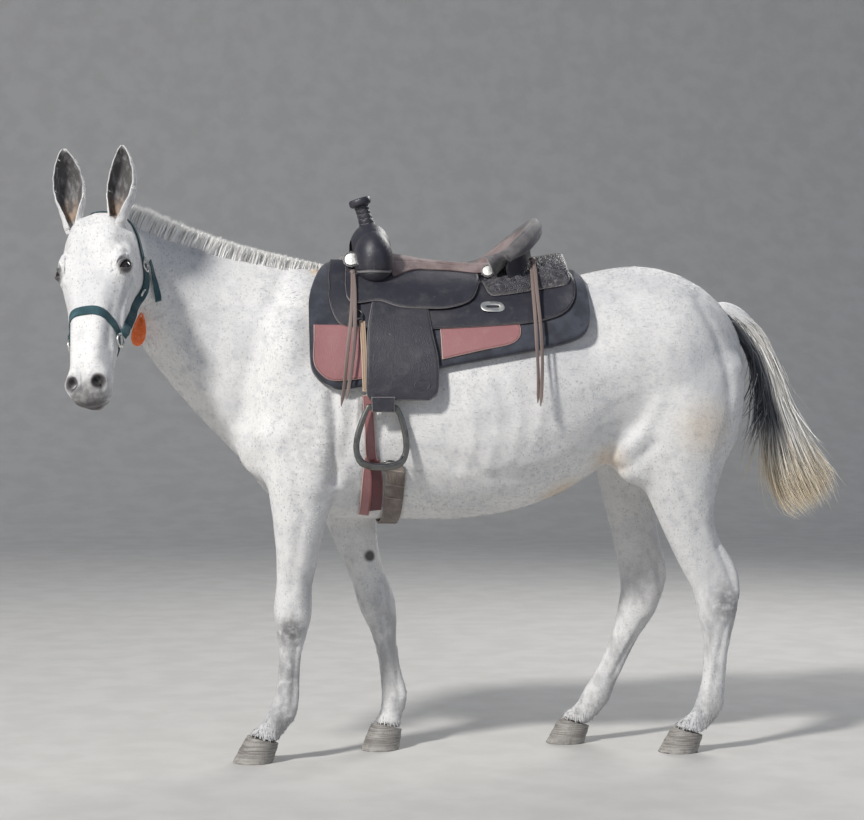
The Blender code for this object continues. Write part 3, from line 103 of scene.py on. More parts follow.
class Slot(Enum):
    """The record's material slots."""

    COAT = "coat"
    HORN = "hoof_horn"
    EYE = "dark_eye"
    TAIL = "tail_hair"
    FELT = "pad_felt"
    BROWN = "red_brown_leather"
    BLACK = "black_leather"
    SUEDE = "suede"
    STRING = "string_leather"
    STEEL = "steel"
    MOHAIR = "mohair"
    NYLON = "halter_nylon"
    TAG = "orange_tag"


class Wire:
    """One output socket of a shader tree; Python's operators on it add Math nodes."""

    def __init__(self, shader: "Shader", socket: bpy.types.NodeSocket) -> None:
        self.shader = shader
        self.socket = socket

    def _math(self, operation: str, first: Any, second: Any = None) -> "Wire":
        """Adds one Math node.

        Args:
            operation: Blender's name of the operation.
            first: a wire or number.
            second: a wire or number, where the operation takes two.

        Returns:
            The result's wire.
        """
        inputs = {0: first} if second is None else {0: first, 1: second}
        return self.shader.add("ShaderNodeMath", {"operation": operation}, inputs)

    def __add__(self, other: Any) -> "Wire":
        """self + other."""
        return self._math("ADD", self, other)

    def __radd__(self, other: Any) -> "Wire":
        """other + self."""
        return self._math("ADD", other, self)

    def __sub__(self, other: Any) -> "Wire":
        """self - other."""
        return self._math("SUBTRACT", self, other)

    def __rsub__(self, other: Any) -> "Wire":
        """other - self."""
        return self._math("SUBTRACT", other, self)

    def __mul__(self, other: Any) -> "Wire":
        """self * other."""
        return self._math("MULTIPLY", self, other)

    def __rmul__(self, other: Any) -> "Wire":
        """other * self."""
        return self._math("MULTIPLY", other, self)

    def peak(self, other: Any) -> "Wire":
        """The greater of the two."""
        return self._math("MAXIMUM", self, other)

    def sine(self) -> "Wire":
        """The sine of an angle in radians."""
        return self._math("SINE", self)

    def magnitude(self) -> "Wire":
        """Without its sign."""
        return self._math("ABSOLUTE", self)

    def band(self, low: float, high: float, start: float = 0.0, end: float = 1.0) -> "Wire":
        """A smooth step from start at low to end at high.

        Args:
            low: where the step starts.
            high: where it ends.
            start: the value before it.
            end: the value after it.

        Returns:
            The stepped wire.
        """
        settings = {"interpolation_type": "SMOOTHSTEP"}
        inputs = {"Value": self, "From Min": low, "From Max": high, "To Min": start, "To Max": end}
        return self.shader.add("ShaderNodeMapRange", settings, inputs)


class Shader:
    """A material under construction: one Principled surface and the nodes that feed it."""

    def __init__(self, name: str) -> None:
        self.material = bpy.data.materials.new(name)
        self.material.use_nodes = True
        self.tree = self.material.node_tree
        self.surface = self.tree.nodes["Principled BSDF"]
        self._place: Wire | None = None

    def add(self, kind: str, settings: dict[str, Any] | None = None,
            inputs: dict[Any, Any] | None = None, output: Any = 0) -> Wire:
        """Adds a node of any type.

        Args:
            kind: the node's type.
            settings: its properties.
            inputs: a value or wire for each socket named or numbered.
            output: the name or number of the socket wanted.

        Returns:
            That output's wire.
        """
        node = self.tree.nodes.new(kind)
        for key, value in (settings or {}).items():
            setattr(node, key, value)
        for key, value in (inputs or {}).items():
            self.feed(node.inputs[key], value)
        return Wire(self, node.outputs[output])

    def feed(self, socket: bpy.types.NodeSocket, value: Any) -> None:
        """Links a wire to a socket, or sets the socket's own value.

        Args:
            socket: the input.
            value: a wire, a number, a vector or a colour.
        """
        if isinstance(value, Wire):
            self.tree.links.new(value.socket, socket)
        elif socket.type == "RGBA" and len(value) == 3:
            socket.default_value = (*value, 1)
        else:
            socket.default_value = value

    def place(self) -> Wire:
        """The point's own coordinates, in metres."""
        if self._place is None:
            self._place = self.add("ShaderNodeTexCoord", output="Object")
        return self._place

    def vector(self, operation: str, first: Any, second: Any, output: Any = 0) -> Wire:
        """Adds one Vector Math node; an output that is a number is named "Value"."""
        return self.add("ShaderNodeVectorMath", {"operation": operation}, {0: first, 1: second}, output)

    def stretched(self, scale: Point) -> Wire:
        """The coordinates times a scale for each axis."""
        return self.place() if scale == EVEN else self.vector("MULTIPLY", self.place(), scale)

    def noise(self, scale: float, detail: float = 3.0, stretch: Point = EVEN,
              roughness: float = 0.55) -> Wire:
        """Noise of this many features a metre.

        Args:
            scale: features a metre.
            detail: octaves.
            stretch: the scale's share along each axis.
            roughness: how strong the finer octaves are.

        Returns:
            Its value, about 0.5 on average.
        """
        inputs = {"Vector": self.stretched(stretch), "Scale": scale, "Detail": detail, "Roughness": roughness}
        return self.add("ShaderNodeTexNoise", None, inputs)

    def cells(self, scale: float, stretch: Point = EVEN) -> Wire:
        """The distance from the middle of the nearest of this many cells a metre."""
        inputs = {"Vector": self.stretched(stretch), "Scale": scale}
        return self.add("ShaderNodeTexVoronoi", {"feature": "F1"}, inputs)

    def near(self, centre: Point, radius: float, soft: float = 1.0) -> Wire:
        """1 at a place, fading to 0 at a radius from it.

        Args:
            centre: the place.
            radius: where the mask ends.
            soft: the share of the radius over which it fades.

        Returns:
            The mask's wire.
        """
        gap = self.vector("DISTANCE", self.place(), centre, "Value")
        return gap.band(radius * (1 - soft), radius, 1.0, 0.0)

    def axis(self, index: int) -> Wire:
        """One of the point's coordinates, by its number."""
        return self.add("ShaderNodeSeparateXYZ", None, {0: self.place()}, index)

    def mark(self, name: str) -> Wire:
        """A value stored on the mesh under this name."""
        return self.add("ShaderNodeAttribute", {"attribute_name": name}, None, "Fac")

    def mix(self, share: Any, first: Any, second: Any) -> Wire:
        """A mix of two colours.

        Args:
            share: how much of the second.
            first: a colour or wire.
            second: a colour or wire.

        Returns:
            The mixed colour's wire.
        """
        settings = {"data_type": "RGBA", "clamp_factor": True}
        return self.add("ShaderNodeMix", settings, {0: share, 6: first, 7: second}, 2)

    def spots(self, colour: Wire, places: Sequence[Spot], soft: float, tint: Colour,
              breakup: Wire | None = None) -> Wire:
        """Tints a colour at places.

        Args:
            colour: the colour so far.
            places: centre, radius and strength of each.
            soft: the share of each radius over which it fades.
            tint: the colour there.
            breakup: a mask that breaks the places up, if any.

        Returns:
            The tinted colour's wire.
        """
        for centre, radius, strength in places:
            mask = self.near(centre, radius, soft)
            if breakup is not None:
                mask = mask * breakup
            colour = self.mix(mask * strength, colour, tint)
        return colour

    def bump(self, height: Wire, depth: float, normal: Wire | None = None) -> Wire:
        """Relief of this depth, over another relief where one is given.

        Args:
            height: the relief, 0 to 1.
            depth: its depth in metres.
            normal: relief below it.

        Returns:
            The normal's wire.
        """
        inputs: dict[Any, Any] = {"Height": height, "Distance": depth, "Strength": 1.0}
        if normal is not None:
            inputs["Normal"] = normal
        return self.add("ShaderNodeBump", None, inputs, "Normal")

    def finish(self, **sockets: Any) -> bpy.types.Material:
        """Feeds the surface and returns the material.

        Args:
            sockets: a value or wire for each of the surface's sockets, with _ for a space.

        Returns:
            The material.
        """
        for name, value in sockets.items():
            self.feed(self.surface.inputs[name.replace("_", " ")], value)
        return self.material


@dataclass(frozen=True)
class Coat:
    """The white flea-bitten coat: skin and hair carry the same markings, by place on the body, with painted
    shade inside the nostrils and, in part, round the eyes and nostrils.
    """

    name: str = "flea_bitten_coat"
    white: Colour = (0.77, 0.76, 0.745)
    cool: Colour = (0.50, 0.505, 0.53)
    fleck: Colour = (0.24, 0.235, 0.235)
    grey: Colour = (0.20, 0.195, 0.20)
    muzzle: Colour = (0.085, 0.078, 0.080)
    # deep: painted shade for the insides of the nostrils.
    deep: Colour = (0.012, 0.010, 0.010)
    stain: Colour = (0.62, 0.43, 0.22)
    lining: Colour = (0.050, 0.045, 0.046)
    lining_warm: Colour = (0.34, 0.235, 0.155)
    fur_depth: float = 0.0011
    greys: tuple[Spot, ...] = ()
    # darks: dark skin at the muzzle, round the eyes and nostrils and on the chestnuts; round the eyes and
    # nostrils it is spread wide enough to hold painted shade as well.
    darks: tuple[Spot, ...] = ()
    # hollows: places of painted shade, where the nostrils open.
    hollows: tuple[Spot, ...] = ()
    stains: tuple[Spot, ...] = ()
    head: Point = (0, 0, 0)

    def make(self) -> bpy.types.Material:
        """Builds the material.

        Returns:
            The coat's material, for the skin and for its tufts.
        """
        sh = Shader(self.name)
        clouds = sh.noise(5.0, 4.0)
        mottle = sh.noise(38.0, 4.0)
        streaks = sh.noise(1.0, 4.0, (90, 420, 260))
        colour = sh.mix(clouds.band(0.42, 0.70) * 0.45, self.white, self.cool)
        colour = sh.mix(mottle.band(0.48, 0.74) * 0.50, colour, self.cool)
        colour = sh.mix(streaks.band(0.46, 0.72) * 0.40, colour, self.cool)
        legs = sh.axis(2).band(0.70, 0.34)
        patches = sh.noise(22.0, 6.0, (1, 1, 0.40)).band(0.43, 0.66)
        colour = sh.mix(legs * patches * 0.42, colour, self.grey)
        colour = sh.spots(colour, self.stains, 0.9, self.stain, mottle.band(0.10, 0.45))
        colour = sh.spots(colour, self.greys, 0.8, self.grey, sh.noise(60.0, 4.0).band(0.25, 0.62))
        chosen = sh.noise(95.0, 2.0).band(0.44, 0.58)
        flecks = sh.cells(165.0, (1.0, 0.8, 0.55)).band(0.42, 0.16) * chosen
        crowd = sh.near(self.head, 0.75, 0.9).peak(sh.noise(3.2, 2.0).band(0.36, 0.60) * 0.90)
        colour = sh.mix(flecks * (crowd * 0.42 + 0.08), colour, self.fleck)
        lining = sh.mark("lining")
        pied = sh.noise(70.0, 5.0, (1, 1, 0.4))
        inside = sh.mix(pied.band(0.46, 0.66), self.lining, self.grey)
        inside = sh.mix(sh.mark("lining_root") * pied.band(0.30, 0.60), inside, self.lining_warm)
        colour = sh.mix(lining * 0.93, colour, inside)
        # Dark skin, partly painted shade round the eyes and nostrils.
        colour = sh.spots(colour, self.darks, 0.55, self.muzzle)
        # Painted shade: the nostrils' insides darkened to near black.
        colour = sh.spots(colour, self.hollows, 0.45, self.deep)
        fur = sh.noise(1.0, 3.0, (260, 1100, 800)) * 0.6 + sh.noise(1.0, 3.0, (1100, 1100, 240)) * 0.4
        normal = sh.bump(fur, self.fur_depth)
        return sh.finish(Base_Color=colour, Roughness=mottle.band(0.3, 0.7, 0.62, 0.80), Normal=normal,
                         Sheen_Weight=0.12, Sheen_Roughness=0.5, Specular_IOR_Level=0.3)


@dataclass(frozen=True)
class Hair:
    """Long hair whose colour changes with height, strand by strand."""

    name: str
    light: Colour
    dark: Colour
    tip: Colour
    tip_low: float = 0.0
    tip_high: float = -1.0
    inner: Colour = (0.05, 0.055, 0.07)
    inner_share: float = 0.0
    inner_low: float = 0.80
    inner_high: float = 0.96

    def make(self) -> bpy.types.Material:
        """Builds the material.

        Returns:
            The hair's material; it reads each lock's "shade" and "inner" marks.
        """
        sh = Shader(self.name)
        shade = sh.mark("shade")
        streaks = sh.noise(1.0, 3.0, (700, 700, 60))
        colour = sh.mix(shade * 0.75 + streaks.band(0.40, 0.70) * 0.35, self.light, self.dark)
        fade = sh.axis(2).band(self.tip_high, self.tip_low)
        if self.inner_share:
            inside = sh.mark("inner") * sh.axis(2).band(self.inner_low, self.inner_high)
            colour = sh.mix(inside * self.inner_share, colour, self.inner)
        colour = sh.mix(fade * (shade * 0.45 + 0.50), colour, self.tip)
        normal = sh.bump(streaks, 0.0006)
        return sh.finish(Base_Color=colour, Roughness=streaks.band(0.3, 0.7, 0.48, 0.62), Normal=normal,
                         Sheen_Weight=0.1)


@dataclass(frozen=True)
class Horn:
    """Dull hoof horn with growth rings, chips and dust."""

    name: str = "hoof_wall"
    horn: Colour = (0.185, 0.170, 0.155)
    pale: Colour = (0.345, 0.325, 0.300)
    dust: Colour = (0.46, 0.44, 0.41)

    def make(self) -> bpy.types.Material:
        """Builds the material.

        Returns:
            The hoof's material.
        """
        sh = Shader(self.name)
        rings = sh.noise(1.0, 2.0, (14, 14, 300))
        fibres = sh.noise(1.0, 3.0, (420, 420, 24))
        colour = sh.mix(rings.band(0.38, 0.62), self.horn, self.pale)
        colour = sh.mix(fibres.band(0.45, 0.70) * 0.6, colour, self.horn)
        grime = sh.axis(2).band(0.030, 0.002) * sh.noise(70.0, 4.0).band(0.30, 0.60)
        colour = sh.mix(grime * 0.55, colour, self.dust)
        normal = sh.bump(fibres, 0.0005, sh.bump(rings, 0.0022))
        return sh.finish(Base_Color=colour, Roughness=grime * 0.3 + 0.52, Normal=normal)


@dataclass(frozen=True)
class Eyeball:
    """A wet dark eye: brown iris, a wide low pupil, and a clear coat."""

    name: str
    centre: Point
    gaze: Point
    up: Point
    iris: Colour = (0.016, 0.009, 0.006)
    rim: Colour = (0.006, 0.004, 0.003)
    pupil: Colour = (0.002, 0.002, 0.004)

    def make(self) -> bpy.types.Material:
        """Builds the material.

        Returns:
            The eye's material.
        """
        sh = Shader(self.name)
        arm = sh.vector("SUBTRACT", sh.place(), self.centre)
        gaze = Vector(self.gaze).normalized()
        across = gaze.cross(Vector(self.up)).normalized()
        lift = across.cross(gaze)
        level, height = (sh.vector("DOT_PRODUCT", arm, way, "Value") for way in (across, lift))
        radius = (level * level + height * height) * 3000.0
        colour = sh.mix(radius.band(0.55, 0.80), self.iris, self.rim)
        wide = level * level * 12000.0 + height * height * 52000.0
        colour = sh.mix(wide.band(1.25, 0.85), colour, self.pupil)
        rays = sh.noise(900.0, 2.0)
        colour = sh.mix(rays.band(0.55, 0.75) * 0.25, colour, (0.09, 0.045, 0.02))
        return sh.finish(Base_Color=colour, Roughness=0.12, Coat_Weight=1.0, Coat_Roughness=0.03)


@dataclass(frozen=True)
class Leather:
    """Oiled saddle leather with pebbled grain, creases, worn edges, and dust in the hollows."""

    name: str
    colour: Colour
    worn: Colour
    dust: Colour = (0.30, 0.275, 0.25)
    roughness: float = 0.42
    grain: float = 420.0
    grain_depth: float = 0.0005
    wear: float = 0.8
    tooling: float = 0.0

    def make(self) -> bpy.types.Material:
        """Builds the material.

        Returns:
            The leather's material; it reads the "edge" mark, which runs from 1 at a piece's edge to 0.
        """
        sh = Shader(self.name)
        edge = sh.mark("edge")
        pebbles = sh.cells(self.grain)
        creases = sh.noise(34.0, 6.0, roughness=0.65)
        scuffs = sh.noise(90.0, 5.0, (1, 1, 0.5))
        colour = sh.mix(creases.band(0.50, 0.80) * 0.10, self.colour, self.worn)
        rub = edge.band(0.70, 0.84) * scuffs.band(0.15, 0.50, 0.60, 1.0)
        colour = sh.mix(rub * self.wear, colour, self.worn)
        dusty = sh.noise(11.0, 5.0).band(0.50, 0.80) * 0.10
        colour = sh.mix(dusty, colour, self.dust)
        scratches = sh.noise(1.0, 2.0, (148, 148, 18)).band(0.67, 0.73) * scuffs.band(0.45, 0.6)
        colour = sh.mix(scratches * 0.22, colour, self.worn)
        normal = sh.bump(creases, 0.0010)
        normal = sh.bump(pebbles, self.grain_depth, normal)
        line = (edge - 0.62).magnitude().band(0.07, 0.0)
        normal = sh.bump(1.0 - line, 0.0012, normal)
        if self.tooling:
            petals = sh.cells(62.0)
            stamps = sh.cells(300.0)
            carved = (petals * 26.0).sine() * 0.35 + petals.band(0.32, 0.50) * 0.4
            carved = carved + stamps.band(0.2, 0.5) * 0.2
            normal = sh.bump(carved, self.tooling, normal)
            colour = sh.mix(carved.band(0.25, 0.60) * 0.22, colour, self.worn)
        rough = creases * 0.28 + rub * 0.15 + dusty * 0.5 + (self.roughness - 0.12)
        return sh.finish(Base_Color=colour, Roughness=rough, Normal=normal, Coat_Weight=0.12,
                         Coat_Roughness=0.35)


@dataclass(frozen=True)
class Nap:
    """Suede, felt or fleece: matt, with a brushed nap and blotches."""

    name: str
    colour: Colour
    brushed: Colour
    dust: Colour = (0.42, 0.36, 0.30)
    fibre: float = 900.0
    depth: float = 0.0008
    dusting: float = 0.25

    def make(self) -> bpy.types.Material:
        """Builds the material.

        Returns:
            The napped material.
        """
        sh = Shader(self.name)
        brush = sh.noise(24.0, 5.0, (1, 0.6, 1))
        nap = sh.noise(self.fibre, 3.0)
        colour = sh.mix(brush.band(0.38, 0.66), self.colour, self.brushed)
        colour = sh.mix(nap.band(0.42, 0.72) * 0.45, colour, self.brushed)
        colour = sh.mix(sh.noise(8.0, 5.0).band(0.48, 0.74) * self.dusting, colour, self.dust)
        normal = sh.bump(nap, self.depth, sh.bump(brush, 0.0015))
        return sh.finish(Base_Color=colour, Roughness=nap.band(0.3, 0.7, 0.85, 0.98), Normal=normal,
                         Sheen_Weight=0.35, Sheen_Roughness=0.45)


@dataclass(frozen=True)
class Metal:
    """Worn bright metal with fine scratches, dull patches and dirt."""

    name: str
    colour: Colour = (0.42, 0.42, 0.40)
    dull: Colour = (0.20, 0.195, 0.18)
    roughness: float = 0.36

    def make(self) -> bpy.types.Material:
        """Builds the material.

        Returns:
            The metal's material.
        """
        sh = Shader(self.name)
        cloud = sh.noise(45.0, 5.0)
        scratch = sh.noise(1.0, 2.0, (220, 220, 900))
        colour = sh.mix(cloud.band(0.45, 0.70) * 0.7, self.colour, self.dull)
        rough = cloud.band(0.35, 0.70, self.roughness - 0.08, self.roughness + 0.22)
        normal = sh.bump(scratch, 0.0002, sh.bump(cloud, 0.0005))
        return sh.finish(Base_Color=colour, Roughness=rough, Metallic=cloud.band(0.60, 0.80, 1.0, 0.7),
                         Normal=normal)


@dataclass(frozen=True)
class Webbing:
    """Woven or corded strapping, with painted shade in its grooves; the mesh's "run" and "span" marks hold
    the distance along and across it.
    """

    name: str
    colour: Colour
    # dark: painted shade in the weave's grooves.
    dark: Colour
    faded: Colour
    pitch: float = 0.0022
    cords: float = 0.0022
    depth: float = 0.0007

    def make(self) -> bpy.types.Material:
        """Builds the material.

        Returns:
            The strap's material.
        """
        sh = Shader(self.name)
        turn = 2 * math.pi
        run, span = sh.mark("run"), sh.mark("span")
        ribs = (span * (turn / self.cords)).sine() * 0.5 + 0.5
        picks = ((run * (turn / self.pitch))
                 + (span * (turn / self.cords / 2)).sine() * 2.0).sine() * 0.5 + 0.5
        weave = ribs * 0.5 + picks * 0.5
        fuzz = sh.noise(1400.0, 2.0)
        age = sh.noise(30.0, 5.0)
        # Painted shade: darker where the weave sinks, between the cords and the picks.
        colour = sh.mix(weave.band(0.55, 0.15), self.colour, self.dark)
        colour = sh.mix(age.band(0.42, 0.72) * 0.5, colour, self.faded)
        normal = sh.bump(weave * 0.8 + fuzz * 0.2, self.depth)
        return sh.finish(Base_Color=colour, Roughness=fuzz.band(0.3, 0.7, 0.70, 0.90), Normal=normal,
                         Sheen_Weight=0.2, Sheen_Roughness=0.4)


@dataclass(frozen=True)
class Plastic:
    """Flat moulded plastic, scuffed and a little chalky."""

    name: str = "tag_plastic"
    colour: Colour = (0.90, 0.16, 0.03)
    pale: Colour = (0.95, 0.42, 0.24)

    def make(self) -> bpy.types.Material:
        """Builds the material.

        Returns:
            The plastic's material.
        """
        sh = Shader(self.name)
        scuff = sh.noise(160.0, 5.0)
        colour = sh.mix(scuff.band(0.50, 0.75) * 0.5, self.colour, self.pale)
        return sh.finish(Base_Color=colour, Roughness=scuff.band(0.35, 0.65, 0.38, 0.58),
                         Normal=sh.bump(scuff, 0.0003))


def curve_rows(rows: Sequence[Sequence[float]], steps: int) -> np.ndarray:
    """Rows on Catmull-Rom curves through every column.

    Args:
        rows: the rows to pass through.
        steps: rows made for each stretch between two of them.

    Returns:
        The rows as an array.
    """
    table = np.array(rows, float)
    padded = np.vstack([2 * table[0] - table[1], table, 2 * table[-1] - table[-2]])
    t = (np.arange(steps) / steps)[:, None]
    found = []
    for p0, p1, p2, p3 in zip(padded, padded[1:], padded[2:], padded[3:]):
        found.append(
            p1 + 0.5 * t * (p2 - p0) + t**2 * (p0 - 2.5 * p1 + 2 * p2 - 0.5 * p3)
            + t**3 * (1.5 * (p1 - p2) + 0.5 * (p3 - p0))
        )
    return np.vstack([*found, table[-1:]])


def distances(line: np.ndarray) -> np.ndarray:
    """How far along a line each of its points is."""
    return np.concatenate([[0], np.cumsum(np.linalg.norm(np.diff(line, axis=0), axis=1))])


def even_rows(rows: np.ndarray, count: int) -> np.ndarray:
    """Rows at even steps along a line, by its first three columns or fewer.

    Args:
        rows: the line.
        count: how many rows are wanted.

    Returns:
        The rows.
    """
    run = distances(rows[:, :3])
    steps = np.linspace(0, run[-1], count)
    return np.stack([np.interp(steps, run, rows[:, k]) for k in range(rows.shape[1])], axis=1)


def unit(vectors: np.ndarray) -> np.ndarray:
    """Rows of vectors at length 1."""
    return vectors / np.maximum(np.linalg.norm(vectors, axis=-1, keepdims=True), 1e-12)


def step(value: np.ndarray, low: float, high: float) -> np.ndarray:
    """A smooth step from 0 at low to 1 at high."""
    t = np.clip((value - low) / (high - low), 0, 1)
    return t * t * (3 - 2 * t)


def around(count: int) -> np.ndarray:
    """Even angles round a circle, the last one short of the first."""
    return np.linspace(0, 2 * math.pi, count, endpoint=False)


def blend(first: np.ndarray, second: np.ndarray, share: np.ndarray) -> np.ndarray:
    """What lies at a share of the way from the first to the second."""
    return first * (1 - share) + second * share


def stand(name: str, data: bpy.types.ID) -> bpy.types.Object:
    """A new object with this data, in the scene."""
    obj = bpy.data.objects.new(name, data)
    bpy.context.scene.collection.objects.link(obj)
    return obj


def arrays(shape: bmesh.types.BMesh) -> tuple[np.ndarray, list[list[int]]]:
    """A shape's points and faces; the shape is freed."""
    points = np.array([v.co for v in shape.verts])
    faces = [[v.index for v in f.verts] for f in shape.faces]
    shape.free()
    return points, faces


def solid(name: str) -> bpy.types.Object:
    """The solid of this node, as the frame brings it."""
    return next(obj for obj in bpy.data.objects if obj.get("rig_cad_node") == name)


class Piece:
    """One mesh of the visual model, made from arrays and set on the still body."""

    @staticmethod
    def make(name: str, points: Any, faces: Any, slot: Slot,
             material: bpy.types.Material) -> bpy.types.Object:
        """Makes a piece.

        Args:
            name: its name.
            points: its vertices.
            faces: its faces, as lists of vertex numbers.
            slot: the record's slot.
            material: its material.

        Returns:
            The object.
        """
        mesh = bpy.data.meshes.new(name)
        mesh.from_pydata(np.asarray(points, float).tolist(), [], [list(map(int, f)) for f in faces])
        mesh.update()
        obj = stand(name, mesh)
        Piece.dress(obj, slot, material)
        return obj

    @staticmethod
    def dress(obj: bpy.types.Object, slot: Slot, material: bpy.types.Material,
              sharp: float | None = None) -> None:
        """Sets a piece's material, shading and body.

        Args:
            obj: the piece.
            slot: not used.
            material: its material.
            sharp: the angle in degrees over which an edge is sharp, or None for all smooth.
        """
        obj.data.materials.clear()
        obj.data.materials.append(material)
        obj.data.polygons.foreach_set("use_smooth", [True] * len(obj.data.polygons))
        if sharp is not None:
            obj.data.set_sharp_from_angle(angle=math.radians(sharp))
        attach(obj, "root")
        LOG.info("%s: %d faces", obj.name, len(obj.data.polygons))

    @staticmethod
    def mark(obj: bpy.types.Object, name: str, values: np.ndarray) -> None:
        """Stores a value on each vertex for the shaders.

        Args:
            obj: the piece.
            name: the mark's name.
            values: one number for each vertex.
        """
        layer = obj.data.attributes.new(name, "FLOAT", "POINT")
        layer.data.foreach_set("value", np.asarray(values, np.float32))

    @staticmethod
    def _vectors(source: Any, key: str) -> np.ndarray:
        """One vector of each of a mesh's vertices, as an array."""
        flat = np.empty(len(source) * 3, np.float32)
        source.foreach_get(key, flat)
        return flat.reshape(-1, 3).astype(float)

    @staticmethod
    def points(obj: bpy.types.Object) -> np.ndarray:
        """The piece's vertices as an array."""
        return Piece._vectors(obj.data.vertices, "co")

    @staticmethod
    def normals(obj: bpy.types.Object) -> np.ndarray:
        """The piece's vertex normals as an array."""
        return Piece._vectors(obj.data.vertex_normals, "vector")

    @staticmethod
    def triangles(obj: bpy.types.Object) -> np.ndarray:
        """The vertex numbers of the piece's triangles, in rows of three."""
        obj.data.calc_loop_triangles()
        corners = np.empty(len(obj.data.loop_triangles) * 3, np.int32)
        obj.data.loop_triangles.foreach_get("vertices", corners)
        return corners.reshape(-1, 3)

    @staticmethod
    def move(obj: bpy.types.Object, points: np.ndarray) -> None:
        """Sets the piece's vertices from an array."""
        obj.data.vertices.foreach_set("co", points.astype(np.float32).ravel())
        obj.data.update()

    @staticmethod
    def settle(obj: bpy.types.Object) -> None:
        """Makes the piece's evaluated mesh its own and clears its modifiers."""
        graph = bpy.context.evaluated_depsgraph_get()
        mesh = bpy.data.meshes.new_from_object(obj.evaluated_get(graph))
        obj.modifiers.clear()
        old, obj.data = obj.data, mesh
        bpy.data.meshes.remove(old)

    @staticmethod
    def remesh(obj: bpy.types.Object, voxel: float, factor: float, rounds: int) -> None:
        """Makes the piece one closed skin of small even faces.

        Args:
            obj: the piece.
            voxel: the size of the faces.
            factor: how strongly they are smoothed.
            rounds: how often.
        """
        closer = obj.modifiers.new("remesh", "REMESH")
        closer.mode, closer.voxel_size = "VOXEL", voxel
        smoother = obj.modifiers.new("smooth", "SMOOTH")
        smoother.factor, smoother.iterations = factor, rounds
        Piece.settle(obj)

    @staticmethod
    def combine(obj: bpy.types.Object, other: bpy.types.Object, operation: str) -> None:
        """Joins another object to the piece, or cuts it out, and removes the other."""
        change = obj.modifiers.new("combine", "BOOLEAN")
        change.operation, change.object, change.solver = operation, other, "MANIFOLD"
        Piece.settle(obj)
        bpy.data.objects.remove(other)


class Plan:
    """Where the source's own drawing lies in the solids' frame, and the head's own frame in it."""

    POLL = (-0.952, -0.240, 1.520)
    HEAD_TURN, NOSE_DROP, HEAD_ROLL = 68.0, 64.0, 7.0
    # A hoof's lowest corner in the source's drawing.
    HOOF_CORNER = (-0.575, -0.160)

    def __init__(self) -> None:
        low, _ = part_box("hoof_fore_left")
        self.shift = Vector((low.x - self.HOOF_CORNER[0], low.y - self.HOOF_CORNER[1], 0))
        turn, drop = math.radians(self.HEAD_TURN), math.radians(self.NOSE_DROP)
        forward, left, up = Vector((-1, 0, 0)), Vector((0, -1, 0)), Vector((0, 0, 1))
        nose = forward * math.cos(drop) - up * math.sin(drop)
        face = forward * math.sin(drop) + up * math.cos(drop)
        base = Matrix((nose, left, face)).transposed().to_4x4()
        facing = Vector((-math.cos(turn), -math.sin(turn), 0))
        roll = Matrix.Rotation(math.radians(self.HEAD_ROLL), 4, facing)
        place = Matrix.Translation(Vector(self.POLL) + self.shift)
        self.head = place @ roll @ Matrix.Rotation(turn, 4, "Z") @ base

    def at(self, x: float, y: float, z: float) -> tuple[float, float, float]:
        """A point of the source's drawing, in the solids' frame."""
        return (x + self.shift.x, y + self.shift.y, z)

    def on_head(self, x: float, y: float, z: float) -> tuple[float, float, float]:
        """A point of the head's own frame, in the solids'."""
        return tuple(self.head @ Vector((x, y, z)))

    def head_view(self, points: np.ndarray) -> np.ndarray:
        """Points of the solids' frame in the head's own.

        Args:
            points: an array of points.

        Returns:
            The same points along the nose, to the mule's left and out of the face.
        """
        back = np.array(self.head.inverted())
        return points @ back[:3, :3].T + back[:3, 3]

    def head_out(self, vectors: np.ndarray) -> np.ndarray:
        """Directions of the head's own frame in the solids'."""
        return vectors @ np.array(self.head)[:3, :3].T


@dataclass(frozen=True)
class Stroke:
    """A ridge or groove pressed into the skin along a line, as seen from the side."""

    line: tuple[tuple[float, float], ...]
    height: float
    width: float
    side: int = 0
    low: float = -9.0
    high: float = 9.0

    def press(self, flat: np.ndarray, sideways: np.ndarray) -> np.ndarray:
        """How far each vertex moves out along its normal.

        Args:
            flat: each vertex's two coordinates in the side view.
            sideways: its distance from the middle plane, with the side's sign.

        Returns:
            The distances.
        """
        line = curve_rows(self.line, 6) if len(self.line) > 1 else np.array(self.line)
        gap = np.full(len(flat), 9.0)
        if len(line) == 1:
            gap = np.linalg.norm(flat - line[0], axis=1)
        for a, b in zip(line[:-1], line[1:]):
            ab = b - a
            t = np.clip(((flat - a) @ ab) / max(ab @ ab, 1e-12), 0, 1)
            gap = np.minimum(gap, np.linalg.norm(flat - a - t[:, None] * ab, axis=1))
        moved = self.height * np.exp(-((gap / self.width) ** 2))
        if self.side:
            moved *= step(sideways * self.side, 0.0, 0.012)
        return moved * ((sideways > self.low) & (sideways < self.high))


